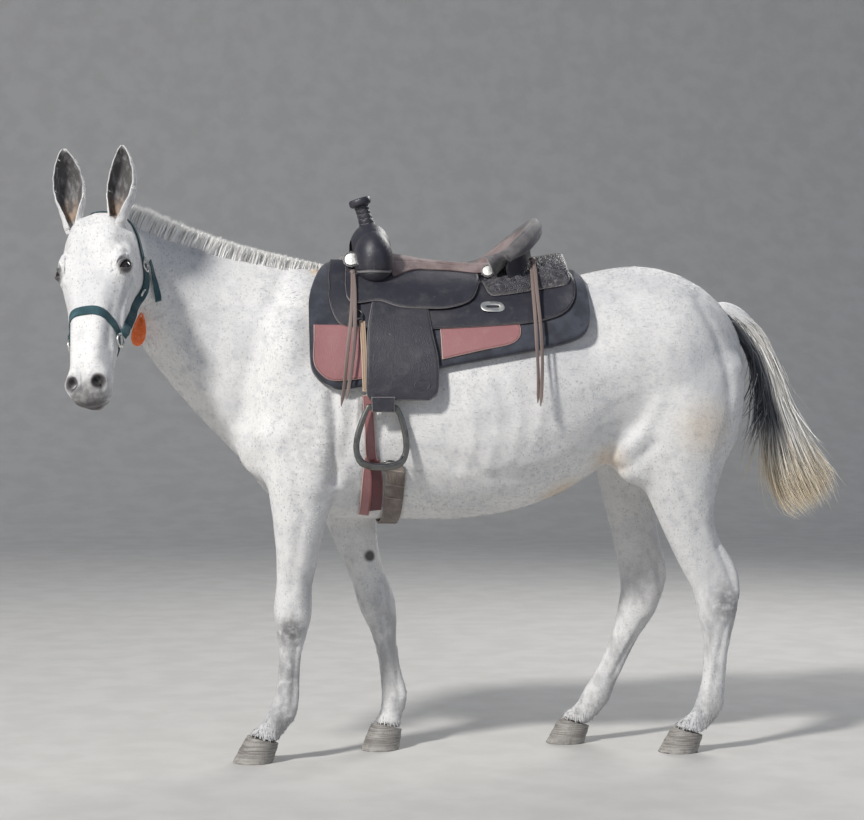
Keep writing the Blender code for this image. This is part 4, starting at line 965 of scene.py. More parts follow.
# Muscle, bone and tendon as seen from the side, in the source's drawing: line, height, width and side.
BODY_STROKES = (
    Stroke(((-0.306, 1.020), (-0.298, 0.940), (-0.300, 0.860), (-0.292, 0.775)), -0.0100, 0.0130, -1),
    Stroke(((-0.336, 1.010), (-0.330, 0.930), (-0.336, 0.850)), 0.0050, 0.0220, -1),
    Stroke(((-0.379, 1.342), (-0.418, 1.199), (-0.467, 1.048), (-0.495, 0.919)), 0.007, 0.034),
    Stroke(((-0.422, 1.370), (-0.493, 1.199), (-0.546, 1.020), (-0.513, 0.841)), -0.006, 0.022),
    Stroke(((-0.330, 1.320), (-0.350, 1.190), (-0.390, 1.060)), -0.004, 0.022),
    Stroke(((-0.793, 1.199), (-0.690, 1.028), (-0.586, 0.896), (-0.509, 0.774)), -0.006, 0.020),
    Stroke(((-0.800, 1.262), (-0.700, 1.110), (-0.600, 0.975)), 0.004, 0.030),
    Stroke(((-0.283, 1.158), (-0.250, 1.007), (-0.269, 0.869), (-0.333, 0.738)), -0.007, 0.022),
    Stroke(((-0.390, 1.050), (-0.330, 0.930), (-0.345, 0.800)), 0.007, 0.045),
    Stroke(((-0.320, 0.756),), 0.010, 0.026),
    Stroke(((-0.480, 0.905),), 0.008, 0.040),
    Stroke(((-0.430, 0.880), (-0.400, 0.790), (-0.395, 0.720)), -0.004, 0.018),
    Stroke(((0.474, 1.283),), 0.008, 0.036),
    Stroke(((0.422, 1.170),), -0.014, 0.070),
    Stroke(((0.440, 0.812), (0.500, 0.840), (0.560, 0.905), (0.610, 1.000)), 0.006, 0.020),
    Stroke(((0.470, 0.790), (0.535, 0.818), (0.600, 0.885)), -0.005, 0.016),
    Stroke(((0.736, 1.286), (0.800, 1.139), (0.822, 0.976), (0.790, 0.829)), -0.006, 0.018),
    Stroke(((0.660, 1.180), (0.700, 1.040), (0.700, 0.900)), 0.005, 0.060),
    Stroke(((0.560, 0.893),), 0.007, 0.036),
    Stroke(((0.640, 0.830), (0.690, 0.740), (0.735, 0.640)), -0.004, 0.014),
    Stroke(((0.180, 1.080), (0.205, 0.960), (0.185, 0.840)), 0.0022, 0.014),
    Stroke(((0.120, 1.080), (0.145, 0.950), (0.120, 0.820)), 0.0022, 0.014),
    Stroke(((0.055, 1.060), (0.080, 0.930), (0.055, 0.800)), 0.0020, 0.014),
    Stroke(((0.240, 1.100), (0.265, 0.990), (0.250, 0.880)), 0.0022, 0.014),
    Stroke(((-0.020, 0.860), (0.120, 0.800), (0.280, 0.800), (0.380, 0.850)), -0.003, 0.020),
    Stroke(((-0.380, 0.700), (-0.400, 0.600), (-0.412, 0.480)), -0.0035, 0.010, -1),
    Stroke(((-0.420, 0.372),), 0.004, 0.024, -1),
    Stroke(((-0.398, 0.325), (-0.404, 0.250), (-0.408, 0.165)), -0.0050, 0.0065, -1),
    Stroke(((-0.385, 0.315), (-0.390, 0.230), (-0.397, 0.150)), 0.0030, 0.0070, -1),
    Stroke(((-0.418, 0.122),), 0.0035, 0.018, -1),
    Stroke(((-0.225, 0.630), (-0.190, 0.520), (-0.165, 0.430)), -0.0035, 0.010, 1),
    Stroke(((-0.132, 0.345),), 0.004, 0.024, 1),
    Stroke(((-0.098, 0.295), (-0.090, 0.220), (-0.084, 0.150)), -0.0050, 0.0065, 1),
    Stroke(((-0.084, 0.285), (-0.076, 0.210), (-0.070, 0.145)), 0.0030, 0.0070, 1),
    Stroke(((0.805, 0.470), (0.830, 0.440)), -0.0050, 0.014, -1),
    Stroke(((0.862, 0.448),), 0.0045, 0.016, -1),
    Stroke(((0.820, 0.600), (0.850, 0.520), (0.866, 0.465)), 0.0040, 0.010, -1),
    Stroke(((0.800, 0.590), (0.832, 0.515), (0.846, 0.475)), -0.0055, 0.010, -1),
    Stroke(((0.822, 0.360), (0.806, 0.270), (0.790, 0.180)), -0.0050, 0.0065, -1),
    Stroke(((0.662, 0.600), (0.695, 0.520), (0.712, 0.470)), 0.0040, 0.010, 1),
    Stroke(((0.642, 0.590), (0.676, 0.515), (0.690, 0.475)), -0.0050, 0.010, 1),
    Stroke(((0.640, 0.355), (0.590, 0.270), (0.545, 0.190)), -0.0050, 0.0065, 1),
)
# The same on the head, from its side: along the nose and out of the face.
HEAD_STROKES = (
    Stroke(((0.190, -0.072), (0.260, -0.076), (0.330, -0.084)), 0.0068, 0.0085),
    Stroke(((0.200, -0.098), (0.270, -0.104), (0.340, -0.108)), -0.0050, 0.0110),
    Stroke(((0.120, -0.020), (0.145, -0.010), (0.175, -0.006)), 0.0055, 0.0080, low=0.072),
    Stroke(((0.060, -0.060), (0.110, -0.078), (0.160, -0.088)), 0.0045, 0.0100),
    Stroke(((0.100, -0.022),), -0.0060, 0.0180),
    Stroke(((0.215, -0.030), (0.300, -0.038), (0.390, -0.046)), -0.0030, 0.0110),
    Stroke(((0.220, -0.180), (0.160, -0.228), (0.080, -0.228)), 0.0040, 0.0160),
    Stroke(((0.240, -0.150), (0.190, -0.180), (0.120, -0.185)), -0.0030, 0.0140),
    Stroke(((0.330, -0.130), (0.400, -0.118), (0.455, -0.112)), -0.0025, 0.0100),
    Stroke(((0.380, -0.060), (0.430, -0.072), (0.468, -0.078)), 0.0025, 0.0060),
    Stroke(((0.300, -0.100), (0.345, -0.080), (0.400, -0.068)), 0.0018, 0.0035),
    Stroke(((0.345, -0.080), (0.400, -0.092), (0.450, -0.094)), 0.0015, 0.0030),
    Stroke(((0.520, -0.086), (0.540, -0.080)), 0.0030, 0.0100),
    Stroke(((0.500, -0.118), (0.525, -0.112)), 0.0030, 0.0090),
    Stroke(((0.455, -0.128), (0.490, -0.132)), 0.0030, 0.0120),
)


@dataclass
class Skin:
    """The mule's whole skin in one closed mesh, from the flesh solids, with its forms pressed in."""

    plan: Plan
    voxel: float = 0.0092
    coat_depth: float = 0.0018
    eye_centre: Point = EYE
    eye_slant: float = 32.0
    nostril_slant: float = 34.0
    eye_radius: float = 0.0215
    lid_half_length: float = 0.0205
    lid_half_height: float = 0.0108
    lid_tilt: float = 56.0
    nostril: Point = (0.503, 0.0385, -0.034)
    mouth_height: float = -0.098
    crest: tuple[Point, ...] = (
        (-0.330, 0.000, 1.372), (-0.420, 0.000, 1.378), (-0.520, -0.006, 1.392), (-0.620, -0.022, 1.415),
        (-0.720, -0.052, 1.445), (-0.800, -0.100, 1.470), (-0.862, -0.150, 1.490),
    )
    flesh: tuple[str, ...] = (
        "torso", "neck", "head", "foreleg_left", "foreleg_right", "hindleg_left", "hindleg_right",
    )
    obj: bpy.types.Object = field(init=False)

    def build(self, ears: Sequence[tuple[np.ndarray, list]]) -> bpy.types.Object:
        """Builds the skin.

        Args:
            ears: each ear's points and faces, to be grown out of the head.

        Returns:
            The skin, not yet dressed.
        """
        obj = self._flesh_in_one()
        self.obj = obj
        Piece.remesh(obj, self.voxel, 0.5, 7)
        self._join_ears(ears)
        self._refine()
        points = Piece.points(obj)
        view = self.plan.head_view(points)
        close = (np.abs(view) < [0.30, 0.20, 0.35]).all(axis=1)
        on_ears = close & (view[:, 2] > -0.045) & ~self._off_ears(view)
        points[~on_ears] -= Piece.normals(obj)[~on_ears] * self.coat_depth
        Piece.move(obj, points)
        self._press_strokes()
        for side in (1, -1):
            self._eyelids(side)
            self._nostril(side)
        self._mouth()
        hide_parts(*self.flesh, "ear_left", "ear_right")
        return obj

    def _flesh_in_one(self) -> bpy.types.Object:
        # Dark skin round the nostrils, laid twice to darken their insides: partly painted shade.
        """Joins the flesh solids in one mesh, its mane laid flat and its eye sockets filled."""
        whole = Build()
        # Dark skin round the eyes, spread wide to take in the shade under the brow: partly painted shade.
        crest = curve_rows([self.plan.at(*p) for p in self.crest], 8)
        for name in self.flesh:
            shape = bmesh.new()
            shape.from_mesh(solid(name).data)
            bmesh.ops.remove_doubles(shape, verts=shape.verts, dist=1e-6)
            part, faces = arrays(shape)
            # Painted shade inside the nostrils.
            if name == "neck":
                gap = np.linalg.norm(part[:, None, :2] - crest[None, :, :2], axis=2)
                top = crest[gap.argmin(1), 2] + 0.003
                hair = (gap.min(1) < 0.034) & (part[:, 2] > top)
                part[hair, 2] = top[hair]
            whole.add(part, faces)
        for side in (1, -1):
            x, y, z = self.eye_centre
            ball = bmesh.new()
            place = self.plan.head @ Matrix.Translation((x, side * (y - 0.002), z - 0.001))
            bmesh.ops.create_uvsphere(ball, u_segments=24, v_segments=16, radius=self.eye_radius + 0.0016,
                                      matrix=place)
            whole.add(*arrays(ball))
        mesh = bpy.data.meshes.new("skin")
        mesh.from_pydata(np.vstack(whole.points).tolist(), [], whole.faces)
        return stand("skin", mesh)

    def _join_ears(self, ears: Sequence[tuple[np.ndarray, list]]) -> None:
        """Fuses the ears to the head.

        Args:
            ears: each ear's points and faces.
        """
        for points, faces in ears:
            mesh = bpy.data.meshes.new("ear")
            mesh.from_pydata(points.tolist(), [], faces)
            Piece.combine(self.obj, stand("ear", mesh), "UNION")

    def _refine(self) -> None:
        """Divides the head's faces, those round the eyes, nostrils and mouth twice, and softens them."""
        mesh = bmesh.new()
        mesh.from_mesh(self.obj.data)
        for area in (self._head_area, self._detail_area):
            view = self.plan.head_view(np.array([v.co for v in mesh.verts]))
            chosen = area(view)
            mesh.verts.ensure_lookup_table()
            edges = [e for e in mesh.edges if chosen[e.verts[0].index] and chosen[e.verts[1].index]
                     and e.calc_length() > 0.0028]
            bmesh.ops.subdivide_edges(mesh, edges=edges, cuts=1, use_grid_fill=True, smooth=0.0)
            mesh.verts.index_update()
            view = self.plan.head_view(np.array([v.co for v in mesh.verts]))
            soft = [v for v, inside in zip(mesh.verts, area(view) & self._off_ears(view)) if inside]
            for _ in range(3):
                bmesh.ops.smooth_vert(mesh, verts=soft, factor=0.5, use_axis_x=True, use_axis_y=True,
                                      use_axis_z=True)
        mesh.to_mesh(self.obj.data)
        mesh.free()

    def _head_area(self, view: np.ndarray) -> np.ndarray:
        """Which points, seen in the head's frame, belong to the head."""
        x, y, z = view.T
        return (x > -0.05) & (x < 0.6) & (np.abs(y) < 0.14) & (z > -0.30) & (z < 0.035)

    def _off_ears(self, view: np.ndarray) -> np.ndarray:
        """Which points of the head lie off the ears."""
        return (view[:, 2] < 0.010) & ((view[:, 0] > 0.045) | (view[:, 2] < -0.045))

    def _detail_area(self, view: np.ndarray) -> np.ndarray:
        """Which points lie round the eyes, nostrils and mouth."""
        x, y, z = view.T
        folded = view * [1, 0, 1] + [0, 1, 0] * np.abs(view)
        eye = np.linalg.norm(folded - np.array(self.eye_centre), axis=1) < 0.046
        return eye | ((x > 0.440) & (x < 0.6) & (z > -0.150) & (z < 0.0) & (np.abs(y) < 0.1))

    def _press_strokes(self) -> None:
        """Presses the muscles, tendons and bones of body and head into the skin."""
        points, normals = Piece.points(self.obj), Piece.normals(self.obj)
        drawn = points - np.array(self.plan.shift)
        view = self.plan.head_view(points)
        on_head = step(view[:, 0], -0.02, 0.02) * (np.abs(view[:, 1]) < 0.15) * (view[:, 2] > -0.28)
        moved = np.zeros(len(points))
        facing = step(np.abs(normals[:, 1]), 0.15, 0.55)
        for stroke in BODY_STROKES:
            moved += stroke.press(drawn[:, [0, 2]], drawn[:, 1]) * facing * (1 - on_head)
        aside = np.abs(view[:, 1])
        for stroke in HEAD_STROKES:
            moved += stroke.press(view[:, [0, 2]], aside) * step(aside, 0.006, 0.025) * on_head
        Piece.move(self.obj, points + normals * moved[:, None])

    def _eyelids(self, side: int) -> None:
        """Shapes an eye's lids: an almond opening in front of the eyeball, a rolled edge, and folds about it.

        Args:
            side: 1 for the head's left and -1 for its right.
        """
        points = Piece.points(self.obj)
        view = self.plan.head_view(points)
        centre = np.array(self.eye_centre) * [1, side, 1]
        turn = self._slanted(self.eye_slant, side)
        arm = (view - centre) @ turn
        tilt = math.radians(self.lid_tilt)
        along = arm[:, 0] * math.cos(tilt) + arm[:, 2] * math.sin(tilt)
        up = -arm[:, 0] * math.sin(tilt) + arm[:, 2] * math.cos(tilt)
        out = arm[:, 1]
        spread = np.hypot(along, up)
        near = (spread < 0.050) & (out > -0.012)
        a, b = self.lid_half_length, self.lid_half_height
        arch = np.maximum(1 - (along / a) ** 2, 0.0)
        top, bottom = b * 1.10 * arch**0.8, -b * 0.85 * arch**0.9
        edge = np.where(up > 0, up - top, bottom - up)
        edge = np.where(arch <= 0, spread - a + 0.0005, edge)
        reach = self.eye_radius + 0.0026
        dome = np.sqrt(np.maximum(reach**2 - spread**2, 0.0))
        lid = np.where(spread < reach, dome, 0.0)
        share = 1 - step(spread, 0.017, 0.034)
        height = out * (1 - share) + np.maximum(lid, out * 0.4) * share
        height += 0.0030 * np.exp(-((edge - 0.0030) / 0.0028) ** 2)
        height -= 0.0028 * np.exp(-((edge - 0.0095) / 0.0024) ** 2) * (up > -0.004)
        height += 0.0022 * np.exp(-((edge - 0.0150) / 0.0036) ** 2) * (up > 0)
        for fold in (0.0095, 0.0145):
            height -= 0.0011 * np.exp(-((edge - fold) / 0.0016) ** 2) * (up < 0)
        inside = edge < 0
        behind = np.sqrt(np.maximum((self.eye_radius - 0.0040) ** 2 - spread**2, 0.0))
        height = np.where(inside, np.minimum(behind, height), height)
        arm[:, 1] = height
        moved = centre + arm @ turn.T
        view[near] = moved[near]
        world = self.plan.head_out(view) + np.array(self.plan.head.translation)
        points[near] = world[near]
        Piece.move(self.obj, points)

    @staticmethod
    def _slanted(slant: float, side: int) -> np.ndarray:
        """The axes of a place that faces partly to the side and partly out of the face.

        Args:
            slant: how far it is turned up out of the side, in degrees.
            side: 1 for the head's left and -1 for its right.

        Returns:
            Its axes as columns: along the nose, out, and up the face.
        """
        c, s = math.cos(math.radians(slant)), math.sin(math.radians(slant))
        return np.array([[1.0, 0.0, 0.0], [0.0, side * c, -side * s], [0.0, s, c]])

    def _nostril(self, side: int) -> None:
        """Opens a nostril: a slanting comma with a raised rim.

        Args:
            side: 1 for the head's left and -1 for its right.
        """
        points, normals = Piece.points(self.obj), Piece.normals(self.obj)
        view = self.plan.head_view(points)
        arm = (view - np.array(self.nostril) * [1, side, 1]) @ self._slanted(self.nostril_slant, side)
        tilt = math.radians(-28)
        along = arm[:, 0] * math.sin(tilt) + arm[:, 2] * math.cos(tilt)
        across = arm[:, 0] * math.cos(tilt) - arm[:, 2] * math.sin(tilt) + 14.0 * along**2 * np.sign(along)
        out = arm[:, 1]
        radius = np.hypot(across / 0.0140, along / 0.0230)
        near = (radius < 3) & (out > -0.03) & (view[:, 1] * side > 0.008)
        push = -0.020 * step(-radius, -0.95, -0.35) + 0.0035 * np.exp(-((radius - 1.30) / 0.30) ** 2)
        points[near] += normals[near] * push[near, None]
        Piece.move(self.obj, points)

    def _mouth(self) -> None:
        """Presses the line between the lips, which turns down at its corner."""
        points, normals = Piece.points(self.obj), Piece.normals(self.obj)
        view = self.plan.head_view(points)
        x, y, z = view.T
        line = self.mouth_height + 0.010 * step(-x, -0.50, -0.43) - 0.004 * step(x, 0.51, 0.545)
        inside = step(x, 0.438, 0.452) * (np.abs(y) < 0.09) * (z > -0.16)
        push = -0.0055 * np.exp(-(((z - line) / 0.0024) ** 2))
        push += 0.0016 * np.exp(-(((np.abs(z - line) - 0.0075) / 0.0040) ** 2))
        points += normals * (push * inside)[:, None]
        Piece.move(self.obj, points)


@dataclass
class Ears:
    """The two long ears: cupped, thin at the rim, opening the way each is turned."""

    plan: Plan
    thickness: float = 0.0042
    columns: int = 26
    rows: tuple[Point, ...] = (
        (-0.10, 0.024, 165), (0.00, 0.026, 160), (0.18, 0.033, 140), (0.36, 0.042, 118), (0.55, 0.043, 105),
        (0.72, 0.036, 100), (0.86, 0.024, 98), (0.95, 0.013, 96), (0.992, 0.0045, 95),
    )
    places: tuple[tuple[Point, Point, float], ...] = (
        ((-0.889, -0.256, 1.480), (-0.873, -0.262, 1.692), -10),
        ((-1.004, -0.212, 1.476), (-1.030, -0.210, 1.685), 10),
    )

    def shells(self) -> list[tuple[np.ndarray, list]]:
        """Each ear's closed shell.

        Returns:
            Points and faces of each.
        """
        return [self._shell(*place) for place in self.places]

    def lining(self, points: np.ndarray, normals: np.ndarray) -> tuple[np.ndarray, np.ndarray]:
        """How far each point is on the lining of an ear, and how near the lining's root.

        Args:
            points: places on the skin.
            normals: the skin's ways out there.

        Returns:
            A share for the lining, and a share for its root.
        """
        lined, root = np.zeros(len(points)), np.zeros(len(points))
        for place in self.places:
            foot, length, front, across = self.frame(*place)
            arm = points - foot
            share = arm @ length / (length @ length)
            off = np.stack([arm @ across, arm @ front + 0.012 * np.sin(math.pi * np.clip(share, 0, 1))],
                           axis=1)
            reach = np.hypot(off[:, 0], off[:, 1] / 0.8)
            facing = -(off[:, 0] * (normals @ across) + off[:, 1] * (normals @ front))
            facing /= np.maximum(reach, 1e-4)
            near = (reach < 0.055) * step(share, -0.02, 0.10) * step(-share, -1.0, -0.93)
            inside = near * step(facing, 0.05, 0.45)
            lined = np.maximum(lined, inside)
            root = np.maximum(root, inside * step(-share, -0.42, -0.10))
        return lined, root

    def frame(self, base: Point, tip: Point, lean: float) -> tuple[np.ndarray, ...]:
        """An ear's own frame.

        Args:
            base: the middle of its base, in the source's drawing.
            tip: its tip.
            lean: how far it is turned about its own line, in degrees.

        Returns:
            Its base, the vector to its tip, the way it opens, and the way across.
        """
        foot, top = Vector(self.plan.at(*base)), Vector(self.plan.at(*tip))
        along = (top - foot).normalized()
        front = self.plan.head.to_3x3() @ Vector((0, 0, 1))
        front = (front - along * front.dot(along)).normalized()
        front = Matrix.Rotation(math.radians(lean), 3, along) @ front
        return np.array(foot), np.array(top - foot), np.array(front), np.array(along.cross(front))

    def _shell(self, base: Point, tip: Point, lean: float) -> tuple[np.ndarray, list]:
        """One ear's points and faces.

        Args:
            base: the middle of its base.
            tip: its tip.
            lean: its turn in degrees.

        Returns:
            Points and faces of the closed shell.
        """
        foot, length, front, across = self.frame(base, tip, lean)
        rows = curve_rows(self.rows, 5)
        rings = []
        for share, half, opening in rows:
            middle = foot + length * share - front * 0.012 * math.sin(math.pi * max(share, 0))
            wall = min(self.thickness, 0.45 * half)
            angles = np.radians(opening) * np.linspace(-1, 1, self.columns)
            loop = []
            for reach, turns in ((half, angles), (half - wall, angles[::-1])):
                wave = 1 + 0.02 * np.sin(share * 40 + turns * 3)
                loop.append(middle + reach * (wave * np.sin(turns))[:, None] * across
                            - 0.8 * reach * np.cos(turns)[:, None] * front)
            rings.append(np.vstack(loop))
        points = np.vstack(rings)
        count = 2 * self.columns
        faces = []
        for i in range(len(rings) - 1):
            for j in range(count):
                k = (j + 1) % count
                faces.append([i * count + j, (i + 1) * count + j, (i + 1) * count + k, i * count + k])
        for start, turned in ((0, False), ((len(rings) - 1) * count, True)):
            for j in range(self.columns - 1):
                quad = [start + j, start + j + 1, start + count - 2 - j, start + count - 1 - j]
                faces.append(quad[::-1] if turned else quad)
        return points, faces


@dataclass
class Eyes:
    """The two eyeballs, set in their sockets."""

    plan: Plan
    centre: Point = EYE
    radius: float = 0.0211

    def build(self) -> None:
        """Builds and dresses both eyes."""
        for label, side in (("left", 1), ("right", -1)):
            x, y, z = self.centre
            middle = self.plan.on_head(x, side * y, z)
            gaze = np.array(self.plan.head.to_3x3() @ Vector((0.16, side, 0.52)))
            up = np.array(self.plan.head.to_3x3() @ Vector((-0.24, 0, 1)))
            ball = bmesh.new()
            bmesh.ops.create_uvsphere(ball, u_segments=48, v_segments=32, radius=self.radius,
                                      matrix=Matrix.Translation(middle))
            points, faces = arrays(ball)
            arm = points - np.array(middle)
            facing = unit(arm) @ unit(gaze)
            points += unit(arm) * (0.0010 * step(facing, 0.80, 1.0))[:, None]
            material = Eyeball(f"eyeball_{label}", middle, tuple(gaze), tuple(up)).make()
            obj = Piece.make(f"eyeball_{label}", points, faces, Slot.EYE, material)
            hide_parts(f"eye_{label}")


@dataclass
class Unwrap:
    """An unwrap of the skin's own shape, from which each tuft takes the place of its patch."""

    faces: int = 9000
    tree: BVHTree = field(init=False)
    corners: np.ndarray = field(init=False)
    places: np.ndarray = field(init=False)

    def build(self, skin: bpy.types.Object) -> None:
        """Unwraps a coarse copy of the skin.

        Args:
            skin: the finished skin.
        """
        coarse = stand("coarse", skin.data.copy())
        fewer = coarse.modifiers.new("fewer", "DECIMATE")
        fewer.ratio = self.faces / (2 * len(coarse.data.polygons))
        triangles = coarse.modifiers.new("triangles", "TRIANGULATE")
        triangles.quad_method = "BEAUTY"
        Piece.settle(coarse)
        coarse.data.uv_layers.new(name="unwrap")
        bpy.context.view_layer.objects.active = coarse
        coarse.select_set(True)
        bpy.ops.object.mode_set(mode="EDIT")
        bpy.ops.mesh.select_all(action="SELECT")
        bpy.ops.uv.smart_project(angle_limit=math.radians(66), island_margin=0.004)
        bpy.ops.object.mode_set(mode="OBJECT")
        mesh = coarse.data
        count = len(mesh.polygons)
        corners = np.empty(count * 3, np.int32)
        mesh.loops.foreach_get("vertex_index", corners)
        places = np.empty(count * 6, np.float32)
        mesh.uv_layers["unwrap"].data.foreach_get("uv", places)
        self.places = places.reshape(count, 3, 2).astype(float)
        self.corners = Piece.points(coarse)[corners.reshape(count, 3)]
        self.tree = BVHTree.FromPolygons(Piece.points(coarse).tolist(), corners.reshape(count, 3).tolist())
        bpy.data.objects.remove(coarse)

    def find(self, roots: np.ndarray) -> np.ndarray:
        """The place on the unwrap of each root.

        Args:
            roots: points on or near the skin.

        Returns:
            Two coordinates for each.
        """
        found = [self.tree.find_nearest(Vector(root)) for root in roots]
        index = np.array([hit[2] for hit in found])
        hits = np.array([hit[0] for hit in found])
        a, b, c = np.moveaxis(self.corners[index], 1, 0)
        ab, ac, ap = b - a, c - a, hits - a
        d00, d01, d11 = (ab * ab).sum(1), (ab * ac).sum(1), (ac * ac).sum(1)
        d20, d21 = (ap * ab).sum(1), (ap * ac).sum(1)
        below = np.maximum(d00 * d11 - d01 * d01, 1e-18)
        v = np.clip((d11 * d20 - d01 * d21) / below, 0, 1)
        w = np.clip((d00 * d21 - d01 * d20) / below, 0, 1 - v)
        place = self.places[index]
        return place[:, 0] * (1 - v - w)[:, None] + place[:, 1] * v[:, None] + place[:, 2] * w[:, None]


class Tufts:
    """Hair as solid mesh: flat tapered blades, all of one number of rows, made from arrays."""

    # The size of a blade's patch on the unwrap, and how far its middle is raised, as a share of its width.
    PATCH, RIDGE = 0.003, 0.25

    @staticmethod
    def blades(name: str, lines: np.ndarray, flat: np.ndarray, widths: np.ndarray, uv: np.ndarray,
               material: bpy.types.Material, slot: Slot, marks: dict[str, np.ndarray]) -> bpy.types.Object:
        """Makes blades along lines.

        Args:
            name: the piece's name.
            lines: for each blade, its points from root to tip.
            flat: for each blade and point, the way across it.
            widths: for each blade, its width.
            uv: for each blade, its root's place on the unwrap.
            material: the hair's material.
            slot: the record's slot.
            marks: values for each blade, for the shader.

        Returns:
            The piece.
        """
        count, rows, _ = lines.shape
        share = np.linspace(0, 1, rows)
        taper = (1 - share**2.2)[None, :, None] * (0.55 + 0.45 * np.minimum(share * 4, 1))[None, :, None]
        half = widths[:, None, None] / 2 * taper
        along = unit(np.gradient(lines, axis=1))
        facing = np.cross(flat, along)
        left = lines[:, :-1] - (flat * half)[:, :-1]
        right = lines[:, :-1] + (flat * half)[:, :-1]
        middle = lines[:, :-1] + (facing * half * 2 * Tufts.RIDGE)[:, :-1]
        body = np.stack([left, middle, right], axis=2).reshape(count, -1, 3)
        points = np.concatenate([body, lines[:, -1:]], axis=1)
        size = points.shape[1]
        quads = [[a, a + 1, a + 4, a + 3] for i in range(rows - 2) for a in (i * 3, i * 3 + 1)]
        last = (rows - 2) * 3
        tips = [[last, last + 1, size - 1], [last + 1, last + 2, size - 1]]
        mesh = bpy.data.meshes.new(name)
        starts = np.arange(count)[:, None, None] * size
        quad_list = (starts + np.array(quads)[None]).reshape(-1, 4)
        tip_list = (starts + np.array(tips)[None]).reshape(-1, 3)
        corners = np.concatenate([quad_list.ravel(), tip_list.ravel()]).astype(np.int32)
        mesh.vertices.add(count * size)
        mesh.vertices.foreach_set("co", points.reshape(-1).astype(np.float32))
        mesh.loops.add(len(corners))
        mesh.loops.foreach_set("vertex_index", corners)
        mesh.polygons.add(len(quad_list) + len(tip_list))
        quad_starts, tip_starts = np.arange(len(quad_list)) * 4, np.arange(len(tip_list)) * 3
        begins = np.concatenate([quad_starts, len(quad_list) * 4 + tip_starts])
        mesh.polygons.foreach_set("loop_start", begins.astype(np.int32))
        mesh.update(calc_edges=True)
        layer = mesh.uv_layers.new(name="OFBake")
        across = np.tile([0.0, 0.5, 1.0], rows - 1)
        up = np.repeat(np.arange(rows - 1) / (rows - 1), 3)
        local = np.concatenate([np.stack([across, up], axis=1), [[0.5, 1.0]]]) - 0.5
        spots = (uv[:, None, :] + local[None] * Tufts.PATCH).reshape(-1, 2)
        layer.data.foreach_set("uv", spots[corners].astype(np.float32).ravel())
        obj = stand(name, mesh)
        for mark, values in marks.items():
            Piece.mark(obj, mark, np.repeat(values, size))
        Piece.dress(obj, slot, material)
        return obj


